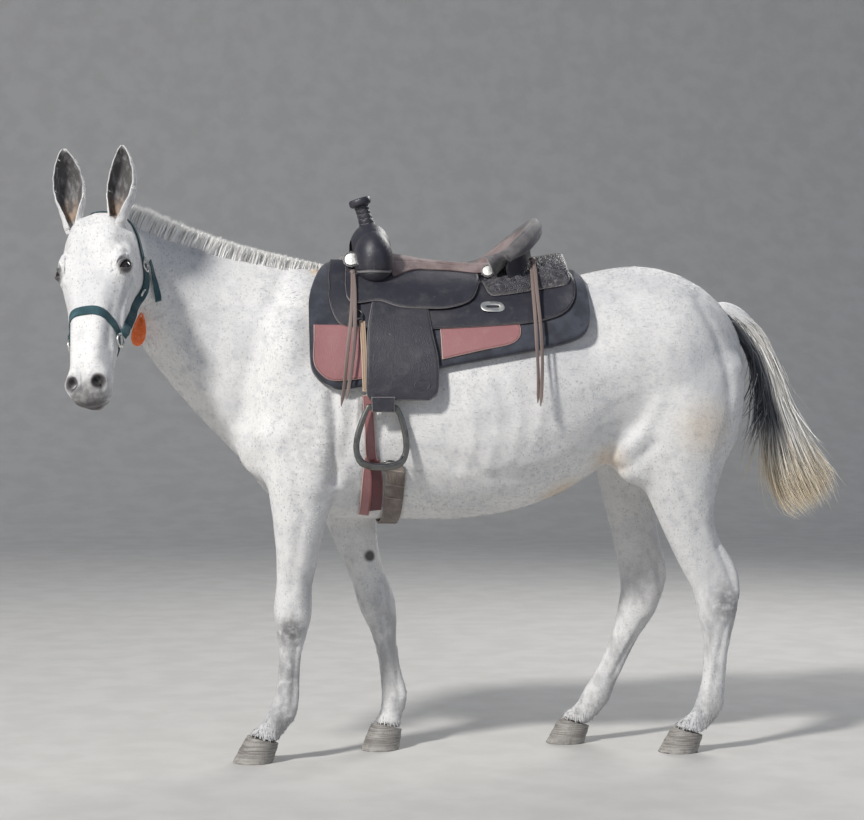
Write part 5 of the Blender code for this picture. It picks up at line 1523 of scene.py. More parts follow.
@dataclass
class ShortCoat:
    """The short coat's tufts over the whole skin, lying along it from nose to tail and down the legs."""

    plan: Plan
    skin: bpy.types.Object
    unwrap: Unwrap
    ears: Ears
    per_square_metre: float = 21000
    quick_share: float = 0.12
    head_half_width: float = 0.16
    head_depth: float = 0.30
    seed: int = 11
    pieces: int = 4

    def build(self, material: bpy.types.Material) -> None:
        """Grows the tufts and dresses them.

        Args:
            material: the coat's material.
        """
        rng = np.random.default_rng(self.seed)
        roots, normals = self._scatter(rng)
        keep = self._bare(roots)
        roots, normals = roots[keep], normals[keep]
        lie = self._lie(roots)
        flow = unit(lie - normals * (lie * normals).sum(1, keepdims=True))
        swirl = np.cross(normals, flow)
        flow = unit(flow + swirl * rng.normal(0, 0.22, len(roots))[:, None])
        across = np.cross(normals, flow)
        length = self._length(roots) * rng.uniform(0.7, 1.25, len(roots))
        lift = rng.uniform(0.08, 0.26, len(roots)) + 0.05 * (roots[:, 2] < 0.100)
        share = np.array([0.0, 0.5, 1.0])
        lines = (roots[:, None] + flow[:, None] * (length[:, None] * share)[..., None]
                 + normals[:, None] * (length[:, None] * lift[:, None] * (share**0.8) - 0.0008)[..., None])
        widths = length * rng.uniform(0.16, 0.26, len(roots))
        uv = self.unwrap.find(roots)
        flat = np.repeat(across[:, None], 3, axis=1)
        lined, root = self.ears.lining(roots, normals)
        order = np.argsort(roots[:, 0])
        for number, part in enumerate(np.array_split(order, self.pieces)):
            Tufts.blades(f"short_coat_{number + 1}", lines[part], flat[part], widths[part], uv[part],
                         material, Slot.COAT, {"lining": lined[part], "lining_root": root[part]})

    def _scatter(self, rng: np.random.Generator) -> tuple[np.ndarray, np.ndarray]:
        """Even random places on the skin.

        Args:
            rng: the seeded source of chance.

        Returns:
            Places and normals.
        """
        points, normals = Piece.points(self.skin), Piece.normals(self.skin)
        tri = Piece.triangles(self.skin)
        a, b, c = points[tri[:, 0]], points[tri[:, 1]], points[tri[:, 2]]
        areas = np.linalg.norm(np.cross(b - a, c - a), axis=1) / 2
        view = self.plan.head_view(a)
        head = step(view[:, 0], -0.05, 0.02) * self._within(view)
        weight = areas * (1 + 1.2 * head + 0.8 * (a[:, 2] < 0.45))
        count = int(self.per_square_metre * float(areas.sum()) * (1.0))
        chosen = rng.choice(len(tri), count, p=weight / weight.sum())
        u, v = rng.random(count), rng.random(count)
        flip = u + v > 1
        u[flip], v[flip] = 1 - u[flip], 1 - v[flip]
        w = 1 - u - v
        tri = tri[chosen]
        places, lean = (
            at[tri[:, 0]] * w[:, None] + at[tri[:, 1]] * u[:, None] + at[tri[:, 2]] * v[:, None]
            for at in (points, normals)
        )
        return places, unit(lean)

    def _within(self, view: np.ndarray) -> np.ndarray:
        """Which points, seen in the head's frame, lie within its width and depth."""
        return (np.abs(view[:, 1]) < self.head_half_width) & (view[:, 2] > -self.head_depth)

    def _bare(self, roots: np.ndarray) -> np.ndarray:
        """Which roots bear hair: not the eyes' openings, the nostrils, the hooves or under the saddle pad."""
        view = self.plan.head_view(roots)
        folded = view * [1, 0, 1] + np.abs(view) * [0, 1, 0]
        eye = np.linalg.norm(folded - np.array([0.173, 0.102, -0.022]), axis=1)
        nose = np.linalg.norm(folded - np.array([0.503, 0.043, -0.030]), axis=1)
        low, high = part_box("saddle_pad")
        covered = ((roots[:, 0] > low.x + 0.03) & (roots[:, 0] < high.x - 0.03) & (roots[:, 2] > 1.16))
        return (eye > 0.019) & (nose > 0.018) & ~covered & (roots[:, 2] > 0.070)

    def _length(self, roots: np.ndarray) -> np.ndarray:
        """The hair's length at each root."""
        view = self.plan.head_view(roots)
        length = np.full(len(roots), 0.0105)
        length = np.where(roots[:, 2] < 0.62, 0.0080, length)
        head = (view[:, 0] > -0.03) & self._within(view)
        length = np.where(head, 0.0075 - 0.0035 * step(view[:, 0], 0.12, 0.42), length)
        length = np.where(roots[:, 2] < 0.13, 0.0120, length)
        return np.where(roots[:, 2] < 0.100, 0.0155, length)

    def _lie(self, roots: np.ndarray) -> np.ndarray:
        """The way the hair lies at each root."""
        drawn = roots - np.array(self.plan.shift)
        lie = np.tile([0.92, 0.0, -0.40], (len(roots), 1))
        leg = step(-drawn[:, 2], -0.72, -0.55)[:, None]
        lie = blend(lie, np.array([0.10, 0.0, -1.0]), leg)
        rump = step(drawn[:, 0], 0.62, 0.84)[:, None]
        lie = blend(lie, np.array([0.25, 0.0, -1.0]), rump)
        neck = step(-drawn[:, 0], 0.40, 0.55)[:, None] * (1 - leg)
        lie = blend(lie, np.array([0.62, 0.05, -0.62]), neck)
        view = self.plan.head_view(roots)
        nose = self.plan.head_out(np.array([[1.0, 0, 0]]))[0]
        head = (step(view[:, 0], -0.05, 0.03) * self._within(view))[:, None]
        lie = blend(lie, nose, head)
        cheek = head * step(-view[:, 2], 0.08, 0.16)[:, None] * step(-view[:, 0], -0.30, -0.15)[:, None]
        back = self.plan.head_out(np.array([[-0.3, 0.0, -1.0]]))[0]
        return blend(lie, back, cheek)


@dataclass
class Mane:
    """The upright trimmed mane: fine locks along the crest, leaning a little and breaking its line."""

    plan: Plan
    unwrap: Unwrap
    locks: int = 8200
    points: int = 5
    seed: int = 21
    line: tuple[tuple[float, ...], ...] = (
        (-0.318, 0.000, 1.364, 0.030), (-0.420, 0.000, 1.370, 0.046), (-0.520, -0.006, 1.384, 0.055),
        (-0.620, -0.022, 1.407, 0.060), (-0.720, -0.052, 1.437, 0.064), (-0.800, -0.100, 1.462, 0.070),
        (-0.862, -0.150, 1.482, 0.068), (-0.900, -0.190, 1.490, 0.052),
    )

    def build(self, material: bpy.types.Material) -> None:
        """Grows the mane.

        Args:
            material: its hair.
        """
        rng = np.random.default_rng(self.seed)
        rows = curve_rows([(*self.plan.at(*r[:3]), r[3]) for r in self.line], 12)
        along = unit(np.gradient(rows[:, :3], axis=0))
        side = unit(np.cross(along, [0, 0, 1]))
        up = np.cross(side, along)
        count = self.locks
        place = rng.uniform(0, len(rows) - 1.001, count)
        i = place.astype(int)
        t = (place - i)[:, None]
        root = blend(rows[i, :3], rows[i + 1, :3], t)
        height = blend(rows[i, 3], rows[i + 1, 3], t[:, 0])
        clump = np.sin(place * 2.9) * 0.5 + np.sin(place * 6.1 + 1.0) * 0.35
        height *= 0.97 + 0.06 * clump + rng.normal(0, 0.045, count)
        off = rng.normal(0, 0.0065, count).clip(-0.013, 0.013)
        lean = off * 14 + rng.normal(0, 0.07, count) + 0.10 * np.sin(place * 1.3)
        back = 0.10 + 0.12 * clump + rng.normal(0, 0.07, count)
        share = np.linspace(0, 1, self.points)
        bend = (share**1.6)[None, :, None]
        sway = (side[i] * lean[:, None] - along[i] * back[:, None])[:, None]
        lines = (root[:, None] + side[i][:, None] * off[:, None, None]
                 + up[i][:, None] * (height[:, None] * share - 0.006)[..., None]
                 + sway * height[:, None, None] * bend)
        turn = rng.uniform(-0.9, 0.9, count)[:, None]
        across = unit(along[i] * np.cos(turn) + side[i] * np.sin(turn))
        flat = np.repeat(across[:, None], self.points, axis=1)
        marks = {"shade": rng.uniform(0, 1, count) ** 3 * 0.6}
        Tufts.blades("mane", lines, flat, rng.uniform(0.0022, 0.0042, count), self.unwrap.find(root),
                     material, Slot.COAT, marks)


@dataclass
class Tail:
    """The tail: its dock, and long hair from all round it that fans out at the end."""

    plan: Plan
    unwrap: Unwrap
    locks: int = 5200
    points: int = 9
    sides: int = 28
    seed: int = 31
    dock: tuple[tuple[float, ...], ...] = (
        (0.795, 0.000, 1.245, 0.014, 0.016), (0.850, 0.000, 1.262, 0.024, 0.027),
        (0.905, 0.000, 1.232, 0.028, 0.027),
        (0.948, -0.003, 1.170, 0.022, 0.021), (0.978, -0.006, 1.085, 0.017, 0.016),
        (1.000, -0.010, 0.995, 0.010, 0.010),
    )
    rows: tuple[tuple[float, ...], ...] = (
        (0.862, 0.000, 1.262, 0.024, 0.027), (0.908, 0.000, 1.236, 0.032, 0.031),
        (0.952, -0.003, 1.165, 0.037, 0.034), (0.985, -0.006, 1.080, 0.043, 0.036),
        (1.008, -0.010, 0.990, 0.050, 0.038), (1.035, -0.013, 0.905, 0.064, 0.038),
        (1.062, -0.016, 0.820, 0.084, 0.036), (1.100, -0.018, 0.740, 0.092, 0.030),
        (1.140, -0.020, 0.680, 0.070, 0.022),
    )

    def build(self, hair: bpy.types.Material, coat: bpy.types.Material) -> None:
        """Builds the dock and its hair.

        Args:
            hair: the long hair's material.
            coat: the dock's material.
        """
        rows = curve_rows([(*self.plan.at(*r[:3]), *r[3:]) for r in self.dock], 8)
        along = unit(np.gradient(rows[:, :3], axis=0))
        wide = np.array([0.0, 1.0, 0.0])
        fore = unit(np.cross(wide, along))
        n, angles = self.sides, around(self.sides)
        rings = [r[:3] + np.cos(angles)[:, None] * f * r[3] + np.sin(angles)[:, None] * wide * r[4]
                 for r, f in zip(rows, fore)]
        faces = [[i * n + j, i * n + (j + 1) % n, (i + 1) * n + (j + 1) % n, (i + 1) * n + j]
                 for i in range(len(rings) - 1) for j in range(n)]
        faces += [list(range(n))[::-1], [(len(rings) - 1) * n + j for j in range(n)]]
        dock = Piece.make("tail_dock", np.vstack(rings), faces, Slot.COAT, coat)
        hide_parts("tail")
        self._grow(hair, rows, fore)

    def _grow(self, hair: bpy.types.Material, dock: np.ndarray, fore: np.ndarray) -> None:
        """Grows the long hair out of the dock.

        Args:
            hair: its material.
            dock: the dock's rows.
            fore: the way fore and aft at each.
        """
        rng = np.random.default_rng(self.seed)
        count = self.locks
        start = rng.uniform(0, 1, count) ** 0.8 * (len(dock) - 1.001)
        i = start.astype(int)
        angle = rng.uniform(0, 2 * math.pi, count)
        root = dock[i, :3] + fore[i] * (np.cos(angle) * dock[i, 3] * 0.9)[:, None]
        root[:, 1] += np.sin(angle) * dock[i, 4] * 0.9
        form = curve_rows([(*self.plan.at(*r[:3]), *r[3:]) for r in self.rows], 8)
        begin = start / (len(dock) - 1)
        shorter = rng.uniform(0, 1, count)
        wander = rng.uniform(-1, 1, count)
        ends = 0.60 + 0.40 * begin + 0.10 * rng.normal(0, 1, count)
        low = np.where(shorter < 0.30, ends * 0.78, 1.0 - 0.34 * (1 - shorter) ** 0.8)
        low = np.clip(low, begin * 0.45 + 0.30, 1.0)
        lines = np.empty((count, self.points, 3))
        share = np.linspace(0, 1, self.points)
        first = begin * 0.42
        across = np.clip(np.cos(angle) * 0.55 + wander * 0.55, -1, 1)
        sideways = np.clip(np.sin(angle) * 0.6 + rng.normal(0, 0.25, count), -1, 1)
        for k, t in enumerate(share):
            spot = (first + (low - first) * t) * (len(form) - 1.001)
            j = spot.astype(int)
            after = form[np.minimum(j + 1, len(form) - 1)]
            row = blend(form[j], after, (spot - j)[:, None])
            tangent = unit(after[:, :3] - form[j, :3])
            ahead = unit(np.cross([0.0, 1.0, 0.0], tangent))
            spread = across * (0.80 + 0.20 * t)
            lines[:, k] = row[:, :3] + ahead * (spread * row[:, 3])[:, None]
            lines[:, k, 1] += sideways * row[:, 4] * 0.85
        held = np.clip(1 - share * 3.2, 0, 1) ** 1.5
        lines += (root - lines[:, 0])[:, None] * held[None, :, None]
        curl = rng.normal(0, 0.006, (count, 3))
        wave = np.sin(share * 5.5 + rng.uniform(0, 6.28, count)[:, None]) * share
        lines += curl[:, None] * wave[..., None]
        stray = (rng.random(count) < 0.10)[:, None, None] * (share**2)[None, :, None]
        lines += stray * (rng.normal(0, 0.028, (count, 3)) * [1, 0.6, 0.6])[:, None]
        wisp = (rng.random(count) < 0.075) * (begin < 0.75)
        reach = wisp * rng.uniform(0.02, 0.15, count)
        lines[..., 0] -= reach[:, None] * share**2.4
        lines[..., 2] += (reach * rng.uniform(0.1, 0.6, count))[:, None] * share**3
        low_corner, high_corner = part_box("tail")
        lines[..., 0] = np.minimum(lines[..., 0], high_corner.x + 0.004)
        lines[..., 2] = np.maximum(lines[..., 2], low_corner.z - 0.004)
        along = unit(np.gradient(lines, axis=1))
        turn = rng.uniform(0, math.pi, count)[:, None, None]
        one = unit(np.cross(along, [0.0, 1.0, 0.0]))
        two = np.cross(along, one)
        flat = one * np.cos(turn) + two * np.sin(turn)
        marks = {"shade": rng.uniform(0, 1, count) ** 1.3, "inner": step(across, -0.10, 0.40)}
        uv = self.unwrap.find(root)
        Tufts.blades("tail_hair", lines, flat, rng.uniform(0.0024, 0.0052, count), uv, hair, Slot.TAIL, marks)


@dataclass
class Hooves:
    """The four hooves: walls with growth rings, a rim at the coronet, heels and a flat sole."""

    levels: int = 3
    # The angle in degrees over which an edge is sharp.
    sharp: float = 50
    # How high above the ground the chips at the rim reach.
    chipped: float = 0.004

    def build(self, material: bpy.types.Material) -> None:
        """Builds and dresses the hooves.

        Args:
            material: the horn.
        """
        for name in ("fore_left", "fore_right", "hind_left", "hind_right"):
            mesh = bpy.data.meshes.new(f"hoof_wall_{name}")
            shape = bmesh.new()
            shape.from_mesh(solid(f"hoof_{name}").data)
            bmesh.ops.remove_doubles(shape, verts=shape.verts, dist=1e-6)
            bmesh.ops.join_triangles(shape, faces=shape.faces, angle_face_threshold=0.6,
                                     angle_shape_threshold=0.8)
            crease = shape.edges.layers.float.new("crease_edge")
            for edge in shape.edges:
                if len(edge.link_faces) == 2 and edge.calc_face_angle(0.0) > 0.85:
                    edge[crease] = 0.9
            shape.to_mesh(mesh)
            shape.free()
            obj = stand(mesh.name, mesh)
            rounder = obj.modifiers.new("rounder", "SUBSURF")
            rounder.levels = rounder.render_levels = self.levels
            Piece.settle(obj)
            points, normals = Piece.points(obj), Piece.normals(obj)
            wall = np.abs(normals[:, 2]) < 0.75
            rings = (np.sin(points[:, 2] * 820) * 0.00035
                     + np.sin(points[:, 2] * 260 + points[:, 1] * 40) * 0.0005)
            points += normals * (rings * wall)[:, None]
            chips = np.sin(points[:, 0] * 190) * np.sin(points[:, 1] * 230)
            low = points[:, 2] < self.chipped
            points[low, 2] = np.maximum(points[low, 2], 0.0)
            points[:, 2] += np.where(low & wall, np.maximum(chips, 0) * 0.0010, 0)
            Piece.move(obj, points)
            Piece.dress(obj, Slot.HORN, material, self.sharp)
            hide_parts(f"hoof_{name}")


class Trunk:
    """The body under the saddle: how far its skin lies from a line that runs through it."""

    HEIGHT = 1.05
    FIRST, LAST, STRIDE = -0.50, 0.56, 0.02
    FINER = 5

    def __init__(self, plan: Plan) -> None:
        self.plan = plan
        self.places = np.arange(self.FIRST, self.LAST, self.STRIDE)
        self.turns = np.radians(np.arange(0, 181, 5))
        whole = Build()
        for name in ("foreleg_left", "foreleg_right", "neck", "torso"):
            shape = solid(name)
            whole.add(Piece.points(shape), [polygon.vertices for polygon in shape.data.polygons])
        tree = BVHTree.FromPolygons(np.vstack(whole.points).tolist(), whole.faces)
        self.tables = {side: self._finer(self._trace(tree, side.sign)) for side in Side}
        self.places = np.linspace(self.places[0], self.places[-1], self.tables[Side.LEFT].shape[0])
        self.turns = np.linspace(0, math.pi, self.tables[Side.LEFT].shape[1])

    def _trace(self, tree: BVHTree, sign: float) -> np.ndarray:
        """Measures one side of the body.

        Args:
            tree: the body's faces.
            sign: which side.

        Returns:
            The reach for each place and turn.
        """
        table = np.zeros((len(self.places), len(self.turns)))
        for i, x in enumerate(self.places):
            start = Vector(self.plan.at(x, 0, self.HEIGHT))
            for j, angle in enumerate(self.turns):
                hit = tree.ray_cast(start, Vector((0, sign * math.sin(angle), math.cos(angle))))[0]
                table[i, j] = (hit - start).length
        for _ in range(3):
            table[1:-1] = (table[:-2] + 2 * table[1:-1] + table[2:]) / 4
            table[:, 1:-1] = (table[:, :-2] + 2 * table[:, 1:-1] + table[:, 2:]) / 4
        return table

    def _finer(self, table: np.ndarray) -> np.ndarray:
        """The table with smooth steps between its rows and columns."""
        return curve_rows(curve_rows(table, self.FINER).T, self.FINER).T

    def point(self, x: np.ndarray, angle: np.ndarray, offset: np.ndarray | float,
              side: Side = Side.LEFT) -> np.ndarray:
        """Points above the skin, in the drawing's frame.

        Args:
            x: places along the body.
            angle: turns from the top down the given side; below zero they are on the other side.
            offset: how far above the skin.
            side: the side.

        Returns:
            The points.
        """
        x, angle, offset = np.broadcast_arrays(*(np.asarray(v, float) for v in (x, angle, offset)))
        other = Side.RIGHT if side is Side.LEFT else Side.LEFT
        turn = np.arccos(np.cos(angle))
        reach = np.where(np.sin(angle) >= 0, self._look(self.tables[side], x, turn),
                         self._look(self.tables[other], x, turn)) + offset
        return np.stack([x, side.sign * reach * np.sin(angle), self.HEIGHT + reach * np.cos(angle)], axis=-1)

    def _look(self, table: np.ndarray, x: np.ndarray, turn: np.ndarray) -> np.ndarray:
        """The table's value between its rows and columns."""
        u = np.clip((x - self.places[0]) / (self.places[1] - self.places[0]), 0, table.shape[0] - 1.001)
        v = np.clip(turn / (self.turns[1] - self.turns[0]), 0, table.shape[1] - 1.001)
        i, j = u.astype(int), v.astype(int)
        s, t = u - i, v - j
        return (table[i, j] * (1 - s) * (1 - t) + table[i + 1, j] * s * (1 - t)
                + table[i, j + 1] * (1 - s) * t + table[i + 1, j + 1] * s * t)

    def angle(self, x: float, z: float, offset: float, side: Side = Side.LEFT) -> float:
        """The turn at which a surface this far above the skin passes through a height."""
        angles = np.radians(np.arange(0, 180.5, 0.5))
        heights = self.point(np.full(len(angles), x), angles, offset, side)[:, 2]
        return float(np.interp(-z, -heights, angles))

    def beside(self, x: np.ndarray, z: np.ndarray, offset: np.ndarray | float, side: Side,
               hug: bool = False) -> np.ndarray:
        """Points at given places in side view, this far out from the body.

        Args:
            x: places along the body.
            z: heights.
            offset: how far out.
            side: the side.
            hug: True to follow the body below its widest, where other pieces hang straight.

        Returns:
            The points.
        """
        x, z, offset = np.broadcast_arrays(*(np.asarray(v, float) for v in (x, z, offset)))
        found = np.empty((*x.shape, 3))
        for place in np.ndindex(x.shape):
            height = z[place] if hug else max(z[place], 1.0)
            turn = self.angle(x[place], height, offset[place], side)
            found[place] = self.point(x[place], turn, offset[place], side)
        found[..., 2] = z
        return found

    def frame(self, x: float, angle: float, offset: float, side: Side) -> Matrix:
        """The transform to a place on a surface, with Z out of it and X along the body."""
        base = Vector(self.point(x, angle, offset, side))
        out = (Vector(self.point(x, angle, offset + 0.01, side)) - base).normalized()
        first = (Vector((1, 0, 0)) - out * out.x).normalized()
        turn = Matrix((first, out.cross(first), out)).transposed().to_4x4()
        return Matrix.Translation(base + self.plan.shift) @ turn


@dataclass
class Build:
    """Collects rows of points into closed meshes."""

    points: list[np.ndarray] = field(default_factory=list)
    faces: list[list[int]] = field(default_factory=list)
    values: dict[str, list[np.ndarray]] = field(default_factory=dict)
    size: int = 0

    def add(self, points: np.ndarray, faces: Sequence[Sequence[int]], **values: np.ndarray) -> "Build":
        """Adds points, faces between them and marks on them, and returns the build."""
        self.faces += [[self.size + i for i in face] for face in faces]
        self.points.append(points)
        self.size += len(points)
        for name, mark in values.items():
            self.values.setdefault(name, []).append(np.broadcast_to(mark, len(points)))
        return self

    def slab(self, outer: np.ndarray, inner: np.ndarray, **values: np.ndarray) -> "Build":
        """Adds a closed slab between two grids of points."""
        rows, columns = outer.shape[:2]
        grid = np.arange(rows * columns).reshape(rows, columns)
        quads = np.stack([grid[:-1, :-1], grid[1:, :-1], grid[1:, 1:], grid[:-1, 1:]], axis=-1).reshape(-1, 4)
        faces = [list(q) for q in quads] + [list(q[::-1] + rows * columns) for q in quads]
        rim = np.concatenate([grid[0, :-1], grid[:-1, -1], grid[-1, :0:-1], grid[:0:-1, 0]])
        for a, b in zip(rim, np.roll(rim, -1)):
            faces.append([a, b, b + rows * columns, a + rows * columns])
        marks = {name: np.concatenate([mark.ravel(), mark.ravel()]) for name, mark in values.items()}
        return self.add(np.concatenate([outer.reshape(-1, 3), inner.reshape(-1, 3)]), faces, **marks)

    def tube(self, rings: np.ndarray, closed: bool = False, **values: np.ndarray) -> "Build":
        """Adds a tube through rings of points, capped unless it closes on itself."""
        count, sides = rings.shape[:2]
        faces = []
        for i in range(count if closed else count - 1):
            a, b = i * sides, (i + 1) % count * sides
            faces += [[a + j, a + (j + 1) % sides, b + (j + 1) % sides, b + j] for j in range(sides)]
        if not closed:
            faces += [list(range(sides))[::-1], list(range((count - 1) * sides, count * sides))]
        marks = {
            name: np.repeat(mark, sides) if len(mark) == count else mark for name, mark in values.items()
        }
        return self.add(rings.reshape(-1, 3), faces, **marks)

    def make(self, name: str, slot: Slot, material: bpy.types.Material,
             shift: Vector | None = None) -> bpy.types.Object:
        """Makes the piece, its faces turned out.

        Args:
            name: the piece's name.
            slot: the record's slot.
            material: its material.
            shift: how far its points are moved, if at all.

        Returns:
            The object.
        """
        points = np.vstack(self.points) + (np.array(shift) if shift is not None else 0)
        obj = Piece.make(name, points, self.faces, slot, material)
        shape = bmesh.new()
        shape.from_mesh(obj.data)
        bmesh.ops.recalc_face_normals(shape, faces=shape.faces)
        shape.to_mesh(obj.data)
        shape.free()
        for mark, parts in self.values.items():
            Piece.mark(obj, mark, np.concatenate(parts))
        return obj


def sweep(line: np.ndarray, up: np.ndarray, section: np.ndarray, closed: bool = False) -> np.ndarray:
    """Rings of a section carried along a line.

    Args:
        line: the line's points.
        up: the section's second axis at each point.
        section: points of the section, across and up.
        closed: True if the line ends where it starts.

    Returns:
        An array of rings.
    """
    if closed:
        along = unit(np.roll(line, -1, axis=0) - np.roll(line, 1, axis=0))
    else:
        along = unit(np.gradient(line, axis=0))
    across = unit(np.cross(along, up))
    lift = np.cross(across, along)
    return line[:, None] + across[:, None] * section[None, :, :1] + lift[:, None] * section[None, :, 1:2]


def oval(across: float, up: float, sides: int, square: float = 1.0) -> np.ndarray:
    """An oval section; square below 1 gives it flatter sides."""
    angles = around(sides)
    c, s = np.cos(angles), np.sin(angles)
    return np.stack([across * np.sign(c) * np.abs(c) ** square, up * np.sign(s) * np.abs(s) ** square],
                    axis=1)


def edge_marks(grid: np.ndarray, free: tuple[bool, bool, bool, bool], reach: float = 0.013) -> np.ndarray:
    """How near each point of a grid is to its free edges: 1 on them, 0 beyond the reach.

    Args:
        grid: the grid of points.
        free: which of its first row, last row, first column and last column are free.
        reach: how far in the mark runs.

    Returns:
        One value for each point.
    """
    sides = (grid[0], grid[-1], grid[:, 0], grid[:, -1])
    lines = [even_rows(line, 400) for line, is_free in zip(sides, free) if is_free]
    tree = KDTree(sum(len(line) for line in lines))
    for number, spot in enumerate(np.vstack(lines)):
        tree.insert(spot, number)
    tree.balance()
    near = np.array([tree.find(spot)[2] for spot in grid.reshape(-1, 3)])
    return np.clip(1 - near / reach, 0, 1).reshape(grid.shape[:2])


@dataclass
class Stitching:
    """Rows of thread along the leather's edges, each stitch a small rounded bar."""

    build: Build = field(default_factory=Build)
    pitch: float = 0.0046
    length: float = 0.0033
    width: float = 0.00085

    def run(self, line: np.ndarray, out: np.ndarray) -> None:
        """Sews along a line.

        Args:
            line: its points, on the leather's surface.
            out: the way out of the leather at each.
        """
        count = max(int(np.linalg.norm(np.diff(line, axis=0), axis=1).sum() / self.pitch), 2) + 1
        rows = even_rows(np.hstack([line, out]), count)
        along = unit(np.gradient(rows[:, :3], axis=0))
        lift = unit(rows[:, 3:])
        across = np.cross(along, lift)
        for spot, a, b, c in zip(rows[:-1, :3], along, across, lift):
            corners = []
            for t, share in ((-1.0, 0.35), (-0.5, 1.0), (0.5, 1.0), (1.0, 0.35)):
                middle = spot + a * t * self.length / 2
                w = self.width * share / 2
                corners.append([
                    middle - b * w - c * 0.0003, middle + c * w * 1.3, middle + b * w - c * 0.0003,
                ])
            self.build.tube(np.array(corners))


@dataclass
class Saddle:
    """The western saddle, its pad and its girth, laid over the body in layers."""

    plan: Plan
    trunk: Trunk
    pad_layer: tuple[float, float] = (0.0070, 0.0222)
    wear_layer: tuple[float, float] = (0.0222, 0.0258)
    skirt_layer: tuple[float, float] = (0.0262, 0.0322)
    fender_layer: tuple[float, float] = (0.0332, 0.0378)
    jockey_layer: tuple[float, float] = (0.0386, 0.0436)
    rear_layer: tuple[float, float] = (0.0340, 0.0396)
    seat_low: float = 0.0446
    seat_rise: float = 0.0210
    swell: tuple[float, float, float] = (-0.178, 0.085, 1.395)
    horn_base: tuple[float, float, float] = (-0.186, 0.0, 1.500)
    cinch_x: tuple[float, float] = (-0.156, -0.104)
    cinch_top: float = 0.835
    pad_edge: Sequence[Point2] = (
        (-0.364, 1.270), (-0.366, 1.190), (-0.364, 1.103), (-0.346, 1.066), (-0.315, 1.047), (-0.274, 1.034),
        (-0.140, 1.062), (-0.013, 1.095), (0.223, 1.140), (0.350, 1.170), (0.398, 1.200), (0.411, 1.252),
    )
    skirt_edge: Sequence[Point2] = (
        (-0.305, 1.330), (-0.307, 1.280), (-0.290, 1.228), (-0.258, 1.212), (-0.140, 1.207), (-0.027, 1.205),
        (0.120, 1.212), (0.245, 1.223), (0.328, 1.246), (0.368, 1.286), (0.380, 1.350),
    )
    front_wear: Sequence[Point2] = (
        (-0.355, 1.180), (-0.357, 1.112), (-0.336, 1.076), (-0.300, 1.059), (-0.215, 1.066),
    )
    rear_wear: Sequence[Point2] = (
        (-0.008, 1.118), (0.100, 1.143), (0.180, 1.160), (0.208, 1.180), (0.214, 1.205),
    )
    jockey_edge: Sequence[Point2] = (
        (-0.262, 1.330), (-0.259, 1.290), (-0.235, 1.277), (-0.172, 1.283), (-0.117, 1.266), (-0.050, 1.262),
        (0.022, 1.264), (0.086, 1.288), (0.118, 1.340),
    )
    rear_edge: Sequence[Point2] = (
        (0.128, 1.340), (0.138, 1.306), (0.165, 1.300), (0.283, 1.318), (0.350, 1.330), (0.368, 1.348),
        (0.371, 1.375),
    )
    seat_edge: Sequence[Point2] = (
        (-0.125, 1.352), (-0.050, 1.374), (0.050, 1.372), (0.130, 1.366), (0.185, 1.372),
    )
    fender_front: Sequence[Point2] = (
        (-0.190, 1.282), (-0.207, 1.206), (-0.214, 1.120), (-0.216, 1.040), (-0.213, 1.016), (-0.200, 1.006),
    )
    fender_back: Sequence[Point2] = (
        (-0.040, 1.280), (-0.030, 1.190), (-0.019, 1.119), (-0.020, 1.048), (-0.028, 1.020), (-0.046, 1.006),
    )
    stirrup: Sequence[Point2] = (
        (-0.216, 0.996), (-0.175, 0.999), (-0.132, 0.994), (-0.112, 0.955), (-0.101, 0.905), (-0.100, 0.865),
        (-0.113, 0.834), (-0.140, 0.820), (-0.175, 0.817), (-0.210, 0.820), (-0.238, 0.834), (-0.250, 0.865),
        (-0.248, 0.905), (-0.233, 0.955),
    )
    front_strings: Sequence[Sequence[Point]] = (
        ((-0.240, 1.366, 0.0560), (-0.247, 1.290, 0.0500), (-0.260, 1.180, 0.0460), (-0.286, 0.990, 0.0400)),
        ((-0.238, 1.366, 0.0560), (-0.239, 1.290, 0.0500), (-0.246, 1.180, 0.0460), (-0.268, 1.010, 0.0400)),
    )
    rear_strings: Sequence[Sequence[Point]] = (
        ((0.268, 1.404, 0.0880), (0.262, 1.366, 0.0680), (0.255, 1.290, 0.0480), (0.251, 1.170, 0.0420),
         (0.247, 0.998, 0.0380)),
        ((0.271, 1.404, 0.0900), (0.270, 1.366, 0.0700), (0.266, 1.290, 0.0500), (0.263, 1.170, 0.0440),
         (0.257, 0.990, 0.0400)),
    )
    bar_rise: float = 0.036
    # A sheet's usual length, the steps along a sheet's and a panel's edges, and how round an edge is.
    sheet_length: float = 0.6
    edge_rows: int = 300
    panel_rows: int = 200
    rounded: float = 0.75
    stitches: Stitching = field(default_factory=Stitching)
    black: bpy.types.Material = field(init=False)
    tooled: bpy.types.Material = field(init=False)
    brown: bpy.types.Material = field(init=False)
    billet: bpy.types.Material = field(init=False)
    tan: bpy.types.Material = field(init=False)
    rolled: bpy.types.Material = field(init=False)
    silver: bpy.types.Material = field(init=False)
    thong: bpy.types.Material = field(init=False)
    suede: bpy.types.Material = field(init=False)
    felt: bpy.types.Material = field(init=False)
    steel: bpy.types.Material = field(init=False)
    thread: bpy.types.Material = field(init=False)
    mohair: bpy.types.Material = field(init=False)

